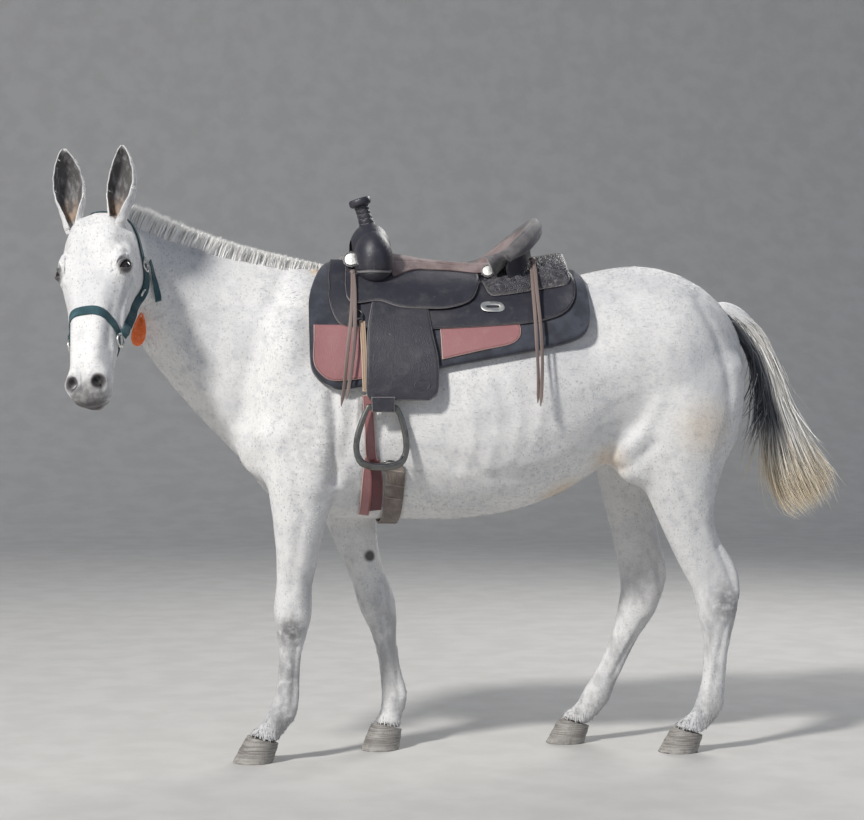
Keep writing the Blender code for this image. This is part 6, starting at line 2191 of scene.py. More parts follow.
    def build(self) -> None:
        """Builds and dresses every piece."""
        # Near-black leather whose blue tint stands in for the bluish sheen of the sky on it: partly painted
        # reflection.
        self.black = Leather("saddle_leather", (0.025, 0.0245, 0.035), (0.33, 0.31, 0.31)).make()
        self.tooled = Leather("tooled_leather", (0.025, 0.0245, 0.034), (0.33, 0.31, 0.31),
                              tooling=0.0020).make()
        self.brown = Leather("red_brown_leather", (0.315, 0.135, 0.140), (0.58, 0.44, 0.36)).make()
        self.billet = Leather("latigo_leather", (0.085, 0.016, 0.022), (0.20, 0.060, 0.055)).make()
        self.thong = Leather("string_leather", (0.20, 0.150, 0.135), (0.36, 0.30, 0.27),
                             roughness=0.62).make()
        self.tan = Leather("tan_strap_leather", (0.40, 0.28, 0.19), (0.55, 0.45, 0.36), roughness=0.60).make()
        self.suede = Nap("seat_suede", (0.150, 0.098, 0.096), (0.270, 0.205, 0.200)).make()
        self.rolled = Nap("cantle_suede", (0.085, 0.080, 0.086), (0.185, 0.176, 0.182)).make()
        # Dark felt whose blue tint stands in part for a grey-blue sheen: partly painted reflection.
        self.felt = Nap("pad_felt", (0.024, 0.026, 0.036), (0.050, 0.054, 0.074), (0.15, 0.15, 0.16),
                        dusting=0.10).make()
        self.steel = Metal("aged_steel", (0.20, 0.20, 0.19), (0.095, 0.092, 0.085), 0.42).make()
        self.silver = Metal("pale_silver", (0.86, 0.85, 0.81), (0.55, 0.54, 0.50), 0.46).make()
        self.thread = Nap("thread", (0.25, 0.22, 0.19), (0.34, 0.31, 0.27)).make()
        # The mohair's second colour is painted shade in the grooves between the cords.
        self.mohair = Webbing("cinch_mohair", (0.24, 0.195, 0.170), (0.060, 0.048, 0.042), (0.44, 0.38, 0.34),
                              pitch=0.0034, cords=0.0017).make()
        self._pad()
        for side in Side:
            self._side(side)
        self._rear_jockey()
        self._fork()
        self._horn()
        self._cantle()
        self._seat()
        self._cinch()
        self.stitches.build.make("stitching", Slot.BLACK, self.thread, self.plan.shift)

    def _shares(self, count: int, length: float, lip: float = 0.0022) -> np.ndarray:
        """Even shares of a length, with closer ones in its last lip at each end.

        Args:
            count: how many even steps.
            length: the real length.
            lip: the width of the rounded edge.

        Returns:
            The shares.
        """
        near = np.array([0.12, 0.40, 1.0]) * lip / length
        inner = np.linspace(near[-1], 1 - near[-1], count)
        return np.concatenate([[0.0], near[:-1], inner, 1 - near[:-1][::-1], [1.0]])

    def _rounding(self, share: np.ndarray, length: float, lip: float = 0.0022) -> np.ndarray:
        """How far the upper face falls near the ends, as a share of the thickness."""
        near = np.clip(np.minimum(share, 1 - share) * length / lip, 0, 1)
        return 1 - np.sqrt(1 - (1 - near) ** 2)

    def _sheet(self, name: str, slot: Slot, finish: bpy.types.Material, top: Sequence[Point2],
               edge: Sequence[Point2], layer: tuple[float, float], size: tuple[int, int],
               side: Side | None = None, rise: Callable[[np.ndarray, np.ndarray], np.ndarray] | None = None,
               sewn: float | None = 0.0055, lip: float = 0.0022, swept: bool = False) -> bpy.types.Object:
        """Lays a sheet on the back from a line near the top down to an edge.

        Args:
            name: its name, which is also the solid's.
            slot: the record's slot.
            finish: its material.
            top: its upper line, front to back.
            edge: its lower edge, front to back.
            layer: how far above the skin its under side and its top are.
            size: its rows and columns.
            side: its side, or None to cover both.
            rise: added height for each share along and down, if any.
            sewn: how far inside the edge its stitching runs, or None.
            lip: the width of its rounded edge.
            swept: True if its ends curve over into the edge.

        Returns:
            The sheet.
        """
        low, high = layer
        where = side or Side.LEFT
        across = 0.35 if side else 0.7
        along = self._shares(size[0], self.sheet_length, lip)
        down = self._shares(size[1], across, lip)
        upper = even_rows(curve_rows(top, 8), self.edge_rows)
        lower = even_rows(curve_rows(edge, 8), self.edge_rows)
        spread = np.linspace(0, 1, self.edge_rows)
        xt, zt = (np.interp(along, spread, upper[:, k]) for k in range(2))
        xb, zb = (np.interp(along, spread, lower[:, k]) for k in range(2))
        ends = np.array([self.trunk.angle(x, z, high, where) for x, z in zip(xb, zb)])
        if side is None:
            reach = np.abs(down * 2 - 1)
            turns = ends[:, None] * (down * 2 - 1)[None]
        else:
            starts = np.array([max(self.trunk.angle(x, z, high, side), 0.02) for x, z in zip(xt, zt)])
            reach = down
            turns = starts[:, None] + (ends - starts)[:, None] * down[None]
        x = xt[:, None] + (xb - xt)[:, None] * (np.sin(reach * math.pi / 2) if swept else reach)[None]
        drop = np.maximum(self._rounding(along, self.sheet_length, lip)[:, None],
                          self._rounding(down, across, lip)[None])
        top_height = high + (rise(along[:, None], reach[None]) if rise else 0.0)
        outer = self.trunk.point(x, turns, top_height - drop * (high - low) * self.rounded, where)
        inner = self.trunk.point(x, turns, low, where)
        free = (True, True, side is None, True)
        build = Build().slab(outer, inner, edge=edge_marks(outer, free))
        obj = build.make(name, slot, finish, self.plan.shift)
        if sewn is not None:
            self._sew(outer, inner, free, sewn)
        return obj

    def _sew(self, outer: np.ndarray, inner: np.ndarray, free: tuple[bool, bool, bool, bool],
             inset: float) -> None:
        """Runs stitching inside a grid's free edges."""
        for number, is_free in enumerate(free):
            if not is_free:
                continue
            top = outer if number < 2 else outer.transpose(1, 0, 2)
            low = inner if number < 2 else inner.transpose(1, 0, 2)
            if number % 2:
                top, low = top[::-1], low[::-1]
            gaps = np.linalg.norm(np.diff(top, axis=0), axis=2)
            run = np.concatenate([np.zeros((1, gaps.shape[1])), np.cumsum(gaps, axis=0)])
            line, out = [], []
            for j in range(top.shape[1]):
                spot = [np.interp(inset, run[:, j], top[:, j, k]) for k in range(3)]
                base = [np.interp(inset, run[:, j], low[:, j, k]) for k in range(3)]
                line.append(spot)
                out.append(np.subtract(spot, base))
            line, out = np.array(line), unit(np.array(out))
            far = distances(line)
            keep = (far > inset) & (far < far[-1] - inset)
            self.stitches.run(line[keep], out[keep])

    def _panel(self, name: str, slot: Slot, finish: bpy.types.Material, front: Sequence[Point2],
               back: Sequence[Point2], layer: tuple[float, float], size: tuple[int, int], side: Side,
               hug: bool = False, sewn: float | None = 0.0055, lip: float = 0.0020) -> bpy.types.Object:
        """Hangs a flat piece between its front and back edges, each listed from the top down.

        Args:
            name: its name.
            slot: the record's slot.
            finish: its material.
            front: its front edge in side view.
            back: its back edge.
            layer: how far out its inner and outer faces are.
            size: its rows and columns.
            side: its side.
            hug: True to follow the body below its widest.
            sewn: how far inside the edge its stitching runs, or None.
            lip: the width of its rounded edge.

        Returns:
            The panel.
        """
        low, high = layer
        ahead, behind = (even_rows(curve_rows(line, 8), self.panel_rows) for line in (front, back))
        tall = float(np.abs(ahead[0] - ahead[-1]).max())
        wide = float(np.linalg.norm(ahead[self.panel_rows // 2] - behind[self.panel_rows // 2]))
        down, along = self._shares(size[0], tall, lip), self._shares(size[1], wide, lip)
        spread = np.linspace(0, 1, self.panel_rows)
        xf, zf = (np.interp(down, spread, ahead[:, k]) for k in range(2))
        xb, zb = (np.interp(down, spread, behind[:, k]) for k in range(2))
        x = xf[:, None] + (xb - xf)[:, None] * along
        z = zf[:, None] + (zb - zf)[:, None] * along
        drop = np.maximum(self._rounding(down, tall, lip)[:, None], self._rounding(along, wide, lip)[None])
        outer = self.trunk.beside(x, z, high, side, hug)
        inner = self.trunk.beside(x, z, low, side, hug)
        outer += (inner - outer) * (drop * self.rounded)[..., None]
        build = Build().slab(outer, inner, edge=edge_marks(outer, (True, True, True, True)))
        obj = build.make(name, slot, finish, self.plan.shift)
        if sewn is not None:
            self._sew(outer, inner, (False, True, True, True), sewn)
        return obj

    def _pad(self) -> None:
        """Lays the felt pad, thick and slightly waved, with a bound edge."""
        def rise(along: np.ndarray, down: np.ndarray) -> np.ndarray:
            wave = np.sin(along * 23 + down * 4) * np.sin(down * 9) * 0.0010
            return wave + 0.0016 * step(down, 0.93, 0.965) * step(-down, -0.999, -0.975)

        pad = self._sheet("pad_felt", Slot.FELT, self.felt, [(-0.306, 1.5), (0.405, 1.5)], self.pad_edge,
                          self.pad_layer, (110, 120), None, rise, None, 0.0060, True)
        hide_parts("saddle_pad")

    def _side(self, side: Side) -> None:
        """Builds one side's leathers and metal.

        Args:
            side: which side.
        """
        label = side.label
        for name, top, edge in (
            ("wear_leather_front", [(-0.354, 1.214), (-0.215, 1.214)], self.front_wear),
            ("wear_leather_rear", [(-0.008, 1.24), (0.205, 1.24)], self.rear_wear),
        ):
            piece = self._sheet(f"{name}_skin_{label}", Slot.BROWN, self.brown, top, edge, self.wear_layer,
                                (46, 30), side)
            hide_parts(f"{name}_{label}")
        def ridge(along: np.ndarray, down: np.ndarray) -> np.ndarray:
            return (self._ripple(along, down)
                    + self.bar_rise * 0.95 * (1 - np.minimum(down * 1.9, 1) ** 2.6) * step(along, 0.70, 0.82))

        skirt = self._sheet(f"skirt_skin_{label}", Slot.BLACK, self.black, [(-0.292, 1.5), (0.370, 1.5)],
                            self.skirt_edge, self.skirt_layer, (110, 50), side, ridge, swept=True)
        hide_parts(f"skirt_{label}")
        jockey = self._sheet(f"seat_jockey_skin_{label}", Slot.BLACK, self.black,
                             [(-0.252, 1.400), (0.125, 1.395)],
                             self.jockey_edge, self.jockey_layer, (80, 30), side, self._ripple)
        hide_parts(f"seat_jockey_{label}")
        fender = self._panel(f"fender_skin_{label}", Slot.BLACK, self.black, self.fender_front,
                             self.fender_back, self.fender_layer, (60, 26), side)
        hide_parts(f"fender_{label}")
        self._stamp(side)
        keeper = self._panel(f"keeper_skin_{label}", Slot.BLACK, self.black,
                             [(-0.204, 1.016), (-0.202, 0.974)],
                             [(-0.140, 1.016), (-0.142, 0.974)], (0.0445, 0.0487), (14, 16), side)
        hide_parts(f"stirrup_keeper_{label}")
        self._stirrup(side)
        self._latigo(side)
        self._metal(side)
        for name, tracks in (("front_strings", self.front_strings), ("rear_strings", self.rear_strings)):
            self._strings(name, tracks, side)

    def _ripple(self, along: np.ndarray, down: np.ndarray) -> np.ndarray:
        """The slight unevenness of used leather."""
        return (np.sin(along * 17 + 1.3) * np.sin(down * 7) * 0.0007
                + np.sin(along * 41 + down * 9) * 0.00025) * step(down, 0.1, 0.5)

    def _stamp(self, side: Side) -> None:
        """Raises a bare oval on the fender's lower back corner."""
        x, z = -0.066, 1.048
        angles = around(48)
        rings = []
        for grow, lift in ((1.0, -0.0006), (0.97, 0.0006), (0.90, 0.0010), (0.83, 0.0006), (0.79, -0.0006)):
            wide, tall = np.cos(angles) * 0.0225 * grow, np.sin(angles) * 0.0155 * grow
            rings.append(self.trunk.beside(x + wide, z + tall, self.fender_layer[1] + lift, side))
        build = Build().tube(np.array(rings), edge=np.array([0.0, 0.5, 0.80, 0.5, 0.0]))
        build.make(f"fender_oval_{side.label}", Slot.BLACK, self.black, self.plan.shift)

    def _stirrup(self, side: Side) -> None:
        """Bends the bell stirrup, its tread wide and flat and its arms narrower, with a leather tread."""
        loop = np.array(self.stirrup)
        closed = curve_rows([*loop, loop[0]], 9)[:-1]
        middle = loop.mean(axis=0)
        closed = middle + (closed - middle) * 0.905
        offset = 0.0258
        y = self.trunk.beside(middle[0], middle[1], offset, side)[1]
        line = np.stack([closed[:, 0], np.full(len(closed), float(y)), closed[:, 1]], axis=1)
        away = unit(np.stack([closed[:, 0] - middle[0], np.zeros(len(closed)), closed[:, 1] - middle[1]],
                             axis=1))
        tread = step(-closed[:, 1], -0.862, -0.826)
        across = np.array([0.0, 1.0, 0.0])
        rings = []
        for spot, out, flat in zip(line, away, tread):
            wide, thick = 0.0085 + 0.0042 * flat, 0.0086 + 0.0016 * flat
            section = oval(wide, thick, 16, 0.6)
            rings.append(spot + across * section[:, :1] + out * section[:, 1:2])
        build = Build().tube(np.array(rings), closed=True)
        obj = build.make(f"stirrup_bow_{side.label}", Slot.STEEL, self.steel, self.plan.shift)
        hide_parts(f"stirrup_{side.label}")
        low = np.flatnonzero(closed[:, 1] < 0.852)
        low = low[np.argsort(closed[low, 0])]
        inside = line[low] - away[low] * 0.0072
        build = Build().tube(sweep(inside, -away[low], oval(0.0120, 0.0022, 14, 0.6)),
                             edge=np.full(len(low), 0.4))
        build.make(f"stirrup_tread_{side.label}", Slot.BLACK, self.black, self.plan.shift)

    def _latigo(self, side: Side) -> None:
        """Hangs the latigo: the strap to the girth's ring and its two loose ends, one darker."""
        strap = self._panel(
            f"latigo_strap_{side.label}", Slot.BROWN, self.brown,
            [(-0.224, 1.020), (-0.218, 0.930), (-0.214, 0.860), (-0.206, 0.832)],
            [(-0.196, 1.020), (-0.190, 0.930), (-0.184, 0.860), (-0.176, 0.832)],
            (0.0048, 0.0084), (44, 10), side, True, None)
        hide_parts(f"latigo_{side.label}")
        for name, finish, front, back, layer in (
            ("latigo_end", self.billet, [(-0.203, 0.842), (-0.196, 0.780), (-0.194, 0.695)],
             [(-0.176, 0.842), (-0.164, 0.780), (-0.160, 0.699)], (0.0086, 0.0116)),
            ("off_billet", self.brown, [(-0.216, 0.852), (-0.221, 0.780), (-0.221, 0.684)],
             [(-0.188, 0.852), (-0.188, 0.780), (-0.191, 0.680)], (0.0052, 0.0080)),
        ):
            self._panel(f"{name}_{side.label}", Slot.BROWN, finish, front, back, layer, (30, 8), side, True,
                        None)

    def _disc(self, name: str, frame: Matrix, rings: Sequence[Point2], slot: Slot, finish: bpy.types.Material,
              squash: float = 1.0, lobes: tuple[int, float] = (1, 0.0)) -> bpy.types.Object:
        """Turns a small round or oval plate.

        Args:
            name: its name.
            frame: the transform to its middle.
            rings: its profile, as radius and height.
            slot: the record's slot.
            finish: its material.
            squash: its height over its width.
            lobes: how many lobes its outer rim has, and how deep.

        Returns:
            The plate.
        """
        steps = 64
        angles = around(steps)
        widest = max(radius for radius, _ in rings)
        turn, place = np.array(frame.to_3x3()), np.array(frame.translation)
        made = []
        for radius, height in rings:
            wave = 1 + lobes[1] * np.cos(angles * lobes[0]) * (radius / widest) ** 3
            local = np.stack([radius * wave * np.cos(angles), radius * wave * squash * np.sin(angles),
                              np.full(steps, height)], axis=1)
            made.append(local @ turn.T + place)
        build = Build().tube(np.array(made),
                             edge=np.array([0.8 if r > widest * 0.8 else 0.2 for r, _ in rings]))
        return build.make(name, slot, finish)

    def _tilted(self, frame: Matrix, side: Side) -> Matrix:
        """A place on the saddle turned to face more sideways and raised on its leather block."""
        out = (frame.to_3x3() @ Vector((0, 0, 1)) * 0.45 + Vector((-0.15, side.sign * 0.85, 0))).normalized()
        first = (Vector((1, 0, 0)) - out * out.x).normalized()
        turn = Matrix((first, out.cross(first), out)).transposed().to_4x4()
        return Matrix.Translation(frame.translation + Vector((0, side.sign * 0.004, 0.009))) @ turn

    def _metal(self, side: Side) -> None:
        """Sets the conchos with their leather rosettes, the slotted plate and the rigging ring.

        Args:
            side: which side.
        """
        label, trunk = side.label, self.trunk
        for name, x, angle, offset, radius, high in (
            ("front_concho", -0.240, 14, 0.0540, 0.0185, 0.0045),
            ("rear_concho", 0.145, 17, 0.0500, 0.0150, 0.0045),
        ):
            frame = self._tilted(trunk.frame(x, math.radians(angle), offset, side), side)
            self._disc(f"{name}_rosette_{label}", frame, [
                (0.0, -0.0200), (radius * 1.05, -0.0200), (radius * 1.20, -0.003), (radius * 1.30, 0.0006),
                (radius * 1.24, 0.0018), (0.0, 0.0018),
            ], Slot.BLACK, self.black, lobes=(12, 0.05))
            dome = [(0.0, 0.0), (radius * 0.97, 0.0015), (radius, 0.0026), (radius * 0.93, 0.0034),
                    (radius * 0.80, 0.0028), (radius * 0.62, 0.0038), (radius * 0.40, high * 0.85),
                    (radius * 0.15, high), (0.0, high)]
            obj = self._disc(f"{name}_dome_{label}", frame, dome, Slot.STEEL, self.silver, lobes=(16, 0.035))
            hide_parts(f"{name}_{label}")
        turn = trunk.angle(0.142, 1.262, 0.03, side)
        frame = trunk.frame(0.142, turn, 0.0335, side)
        plate = self._ring(f"slotted_plate_{label}", frame, (0.0260, 0.0135), (0.0080, 0.0020), self.silver,
                           0.62)
        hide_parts(f"skirt_plate_{label}")
        turn = trunk.angle(-0.236, 1.235, 0.03, side)
        frame = trunk.frame(-0.236, turn, 0.0395, side)
        ring = self._ring(f"rigging_dee_{label}", frame, (0.0155, 0.0175), (0.0025, 0.0025))
        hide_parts(f"rigging_ring_{label}")
        self._panel(f"rigging_strap_{label}", Slot.STRING, self.tan,
                    [(-0.230, 1.226), (-0.228, 1.150), (-0.226, 1.030)],
                    [(-0.213, 1.224), (-0.212, 1.150), (-0.211, 1.030)],
                    (0.0300, 0.0328), (30, 6), side, False, None)

    def _ring(self, name: str, frame: Matrix, radii: tuple[float, float], section: tuple[float, float],
              finish: bpy.types.Material | None = None, square: float = 1.0) -> bpy.types.Object:
        """Bends an oval ring, the squarer the smaller its last number."""
        steps = 72
        angles = around(steps)
        turn, place = np.array(frame.to_3x3()), np.array(frame.translation)
        cos, sin = (np.sign(f(angles)) * np.abs(f(angles)) ** square for f in (np.cos, np.sin))
        local = np.stack([radii[0] * cos, radii[1] * sin, np.zeros(steps)], axis=1)
        line = local @ turn.T + place
        up = np.tile(turn[:, 2], (steps, 1))
        build = Build().tube(sweep(line, up, oval(section[0], section[1], 14, 0.8), closed=True), closed=True)
        return build.make(name, Slot.STEEL, finish or self.steel)

    def _strings(self, name: str, tracks: Sequence[Sequence[Point]], side: Side) -> None:
        """Hangs flat leather strings, knotted at the top and twisting a little.

        Args:
            name: the solid's name without its side.
            tracks: each string's place, height and distance from the body.
            side: which side.
        """
        build = Build()
        steps, taper = 70, np.array([0.8, 0.6, 0.4, 0.15])
        for number, track in enumerate(tracks):
            rows = even_rows(curve_rows(track, 12), steps)
            share = np.linspace(0, 1, steps)
            sway = np.sin(share * 9 + number * 2) * 0.0016 * share
            line = self.trunk.beside(rows[:, 0] + sway, rows[:, 1], rows[:, 2] + 0.0014, side)
            inner = self.trunk.beside(rows[:, 0] + sway, rows[:, 1], rows[:, 2] - 0.01, side)
            out = unit(line - inner)
            twist = np.sin(share * 6 + number) * 0.5 * share
            along = unit(np.gradient(line, axis=0))
            up = out * np.cos(twist)[:, None] + np.cross(along, out) * np.sin(twist)[:, None]
            rings = sweep(line, up, oval(0.0052, 0.0014, 10, 0.6))
            tip = rings[-len(taper):]
            middle = tip.mean(axis=1, keepdims=True)
            rings[-len(taper):] = middle + (tip - middle) * taper[:, None, None]
            build.tube(rings, edge=np.full(steps, 0.5))
        x, z, off = tracks[0][0]
        knot = self.trunk.beside(x + np.array([-0.004, 0.0, 0.006]), z - np.array([0.002, 0.006, 0.002]),
                                 off + 0.0022, side)
        build.tube(sweep(knot, np.tile([0.0, side.sign, 0.3], (3, 1)), oval(0.0062, 0.0040, 12)),
                   edge=np.full(3, 0.4))
        obj = build.make(f"{name}_thongs_{side.label}", Slot.STRING, self.thong, self.plan.shift)
        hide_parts(f"{name}_{side.label}")

    def _rear_jockey(self) -> None:
        """Lays the tooled rear jockey behind the cantle."""
        def rise(along: np.ndarray, down: np.ndarray) -> np.ndarray:
            return self.bar_rise * (1 - down**2.6) * step(along, 0.0, 0.25)

        rear = self._sheet("rear_jockey_skin", Slot.BLACK, self.tooled, [(0.180, 1.5), (0.370, 1.5)],
                           self.rear_edge, self.rear_layer, (50, 110), None, rise, 0.0055)
        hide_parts("rear_jockey")

    def _push_out(self, obj: bpy.types.Object, offset: float) -> None:
        """Keeps a piece's points from sinking below a layer on the back."""
        points = Piece.points(obj) - np.array(self.plan.shift)
        turn = np.arctan2(-points[:, 1], points[:, 2] - Trunk.HEIGHT)
        floor = self.trunk.point(points[:, 0], turn, offset)
        reach = np.hypot(floor[:, 1], floor[:, 2] - Trunk.HEIGHT)
        have = np.hypot(points[:, 1], points[:, 2] - Trunk.HEIGHT)
        low = have < reach
        points[low] = floor[low]
        Piece.move(obj, points + np.array(self.plan.shift))

    def _rounds(self, name: str, forms: Sequence[tuple[Point, Point]]) -> bpy.types.Object:
        """An object of rounded forms, each given by its middle and its radii."""
        shape = bmesh.new()
        for centre, radii in forms:
            place = Matrix.Translation(Vector(centre) + self.plan.shift) @ Matrix.Diagonal((*radii, 1))
            bmesh.ops.create_icosphere(shape, subdivisions=5, radius=1.0, matrix=place)
        mesh = bpy.data.meshes.new(name)
        shape.to_mesh(mesh)
        shape.free()
        return stand(name, mesh)

    def _fork(self) -> None:
        """Shapes the swell from rounded forms, hollow below, covered in leather with a seam."""
        x, y, z = self.swell
        obj = self._rounds("swell_cover", [
            ((x, 0, 1.425), (0.060, 0.105, 0.080)), ((x, -y, z), (0.056, 0.075, 0.082)),
            ((x, y, z), (0.056, 0.075, 0.082)),
        ])
        Piece.remesh(obj, 0.0034, 0.6, 26)
        gullet = self._rounds("gullet", [((-0.20, 0, 1.400), (0.16, 0.050, 0.058))])
        Piece.combine(obj, gullet, "DIFFERENCE")
        self._push_out(obj, self.seat_low + 0.0020)
        points = Piece.points(obj)
        Piece.dress(obj, Slot.BLACK, self.black, 50)
        Piece.mark(obj, "edge", np.clip(1 - np.abs(points[:, 2] - 1.362) / 0.018, 0, 1) * 0.9)
        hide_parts("saddle_fork")
        drawn = np.linspace(-80, 80, 90)
        tree = BVHTree.FromPolygons(points.tolist(), [tuple(p.vertices) for p in obj.data.polygons])
        for back in (-0.030, 0.030):
            line, out = [], []
            start = Vector((x + back, 0, 1.39)) + self.plan.shift
            for turn in np.radians(drawn):
                way = Vector((0, math.sin(turn), math.cos(turn)))
                spot, normal = tree.ray_cast(start, way)[:2]
                if spot is not None and normal.dot(way) > 0.1:
                    line.append(np.array(spot - self.plan.shift))
                    out.append(np.array(normal))
            if len(line) > 4:
                self.stitches.run(np.array(line), np.array(out))

    def _horn(self) -> None:
        """Turns the horn: a wrapped neck that leans forward and a flat stitched cap."""
        lean = unit(np.array([-0.32, 0, 1.0]))
        across = np.array([0.0, 1.0, 0.0])
        ahead = np.cross(across, lean)
        profile = curve_rows([(-0.014, 0.025), (0.010, 0.0205), (0.034, 0.0188), (0.052, 0.0198),
                              (0.058, 0.0235)], 14)
        wrap = np.linspace(0, 7 * 2 * math.pi, len(profile))
        angles = around(56)
        rings, marks = [], []
        for (along, radius), phase in zip(profile, wrap):
            ridge = np.abs(np.sin((phase + angles) / 2))
            spread = radius * (1 + 0.055 * ridge)
            middle = np.array(self.horn_base) + lean * along
            rings.append(middle + ahead * (spread * np.cos(angles))[:, None]
                         + across * (spread * np.sin(angles))[:, None])
            marks.append(1 - ridge)
        build = Build().tube(np.array(rings), edge=np.concatenate(marks) * 0.9)
        neck = build.make("horn_wrap", Slot.BLACK, self.black, self.plan.shift)
        rings, marks = [], []
        for along, radius in curve_rows([
            (0.053, 0.0150), (0.056, 0.0260), (0.061, 0.0305), (0.068, 0.0315), (0.0745, 0.0300),
            (0.0775, 0.0265), (0.0770, 0.0200), (0.0765, 0.0020),
        ], 5):
            middle = np.array(self.horn_base) + lean * along
            rings.append(middle + ahead * radius * np.cos(angles)[:, None]
                         + across * radius * np.sin(angles)[:, None])
            marks.append(step(np.array(radius), 0.020, 0.034) * 0.5)
        build = Build().tube(np.array(rings), edge=np.array(marks))
        cap = build.make("horn_cap", Slot.BLACK, self.black, self.plan.shift)
        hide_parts("saddle_horn")
        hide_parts("saddle_horn")
        turns = np.linspace(0, 2 * math.pi, 90)
        middle = np.array(self.horn_base) + lean * 0.0772
        line = middle + ahead * 0.0240 * np.cos(turns)[:, None] + across * 0.0240 * np.sin(turns)[:, None]
        self.stitches.run(line, np.tile(lean, (90, 1)))

    def _cantle(self) -> None:
        """Shapes the cantle: a dished wall that leans back, a rolled and laced rim, and a suede front."""
        out = unit(np.array([0.61, 0, -0.79]))
        steps, trim = 90, 8
        angles = np.radians(np.linspace(-78, 78, steps))
        profile = curve_rows([(-0.12, 0.030), (0.0, 0.026), (0.35, 0.024), (0.70, 0.024)], 8)
        lip = [(0.74, 0.026), (0.79, 0.036), (0.84, 0.044), (0.90, 0.048), (0.96, 0.045), (0.995, 0.036)]
        inner, outer, rim_line = [], [], []
        for angle in angles:
            wrap = 1 - math.cos(angle)
            base = np.array([0.172 - 0.052 * wrap, 0.172 * math.sin(angle), 1.375 + 0.040 * wrap])
            rim = np.array([0.292 - 0.140 * wrap, 0.182 * math.sin(angle), 1.524 - 0.135 * wrap])
            fade = float(step(np.array(math.cos(angle)), 0.18, 0.60))
            low, high = [], []
            for share, thick in [*profile.tolist(), *lip]:
                spot = base + (rim - base) * share
                swell = 0.0055 * max(0.0, 1 - ((share - 0.89) / 0.11) ** 2) * (0.4 + 0.6 * fade)
                low.append(spot - out * swell)
                high.append(spot + out * (0.024 + (thick - 0.024) * (0.35 + 0.65 * fade)))
            inner.append(low)
            outer.append(high)
            rim_line.append((low[-1] + high[-1]) / 2)
        build = Build()
        rows = np.array(outer)
        mark = np.zeros(rows.shape[:2])
        mark[:, -3:] = 0.75
        build.slab(rows, np.array(inner), edge=mark)
        rolled = np.array(rim_line)
        build.tube(sweep(rolled, np.tile(-out, (steps, 1)), oval(0.0060, 0.0165, 18, 0.9)),
                   edge=np.full(steps, 0.72))
        obj = build.make("cantle_roll", Slot.SUEDE, self.rolled, self.plan.shift)
        self._push_out(obj, self.jockey_layer[1] + 0.0006)
        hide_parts("cantle")
        front = np.array(inner)[trim:-trim, 5:27]
        build = Build().slab(front - out * 0.0016, front + out * 0.001, edge=edge_marks(front, (True,) * 4))
        build.make("cantle_front", Slot.SUEDE, self.suede, self.plan.shift)
        brow = rows[3:-3, -5]
        turn = np.arctan2(-brow[:, 1], np.maximum(brow[:, 2] - Trunk.HEIGHT, 0.05))
        foot = self.trunk.point(np.minimum(brow[:, 0] + 0.004, 0.30), turn, self.jockey_layer[1] + 0.012)
        drop = np.linspace(0, 1, 26)[None, :, None]
        back = brow[:, None] + (foot - brow)[:, None] * drop
        back[..., 0] -= 0.010 * np.sin(np.pi * drop[..., 0])
        rearward = np.array([1.0, 0, 0])
        build = Build().slab(back, back - rearward * 0.006, edge=np.zeros(back.shape[:2]))
        build.make("cantle_back", Slot.BLACK, self.black, self.plan.shift)
        seam = np.array(inner)[trim:-trim, -5] - out * 0.0052
        self.stitches.run(seam, np.tile(-out, (len(seam), 1)))

    def _seat(self) -> None:
        """Pads the suede seat, highest along its middle and dished where the rider sits."""
        def rise(along: np.ndarray, down: np.ndarray) -> np.ndarray:
            crown = self.seat_rise * np.cos(down * math.pi / 2)
            seam = -0.0011 * np.exp(-(((down - 0.55) / 0.035) ** 2))
            return crown + seam + 0.0008 * np.sin(along * 14) * np.sin(down * 8)

        seat = self._sheet("seat_cover", Slot.SUEDE, self.suede, [(-0.150, 1.5), (0.205, 1.5)],
                           self.seat_edge,
                           (self.seat_low, self.seat_low + 0.0026), (70, 90), None, rise, 0.0050, 0.0035)
        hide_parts("saddle_seat")

    def _cinch(self) -> None:
        """Strings the girth from ring to ring under the belly: thick cords side by side with woven bars."""
        start = self.trunk.angle(-0.13, self.cinch_top, 0.010)
        steps, sides, cords = 170, 10, 13
        shares = np.linspace(0, 1, steps)
        turns = start + (2 * math.pi - 2 * start) * shares
        build = Build()
        places = np.linspace(self.cinch_x[0] + 0.0022, self.cinch_x[1] - 0.0022, cords)
        middle = (self.cinch_x[0] + self.cinch_x[1]) / 2
        rng = np.random.default_rng(3)
        for number, x in enumerate(places):
            pinch = 1 - 0.45 * (step(-shares, -0.05, 0.0) + step(shares, 0.95, 1.0))
            track = middle + (x - middle) * pinch
            lift = 0.0078 + 0.0004 * np.sin(turns * 9 + number) + rng.uniform(-0.0003, 0.0003)
            line = self.trunk.point(track, turns, lift)
            below = self.trunk.point(track, turns, lift - 0.01)
            span = np.tile(np.linspace(0, 0.0136, sides), steps)
            cord = sweep(line, line - below, oval(0.0023, 0.0026, sides))
            build.tube(cord, run=np.repeat(distances(line), sides), span=span)
        for share in np.concatenate([np.linspace(0.05, 0.20, 3), [0.44, 0.5, 0.56],
                                     np.linspace(0.80, 0.95, 3)]):
            turn = start + (2 * math.pi - 2 * start) * share
            x = np.linspace(self.cinch_x[0], self.cinch_x[1], 40)
            line = self.trunk.point(x, turn, 0.0088)
            below = self.trunk.point(x, turn, 0.0)
            build.tube(sweep(line, line - below, oval(0.0050, 0.0026, 12, 0.7)), run=x - x[0],
                       span=np.tile(np.linspace(0, 0.016, 12), 40))
        obj = build.make("cinch_cords", Slot.MOHAIR, self.mohair, self.plan.shift)
        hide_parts("cinch")
        for side in Side:
            turn = self.trunk.angle(-0.150, self.cinch_top - 0.008, 0.010, side)
            frame = self.trunk.frame(-0.150, turn, 0.0120, side)
            self._ring(f"girth_ring_{side.label}", frame, (0.0250, 0.0200), (0.0028, 0.0028))


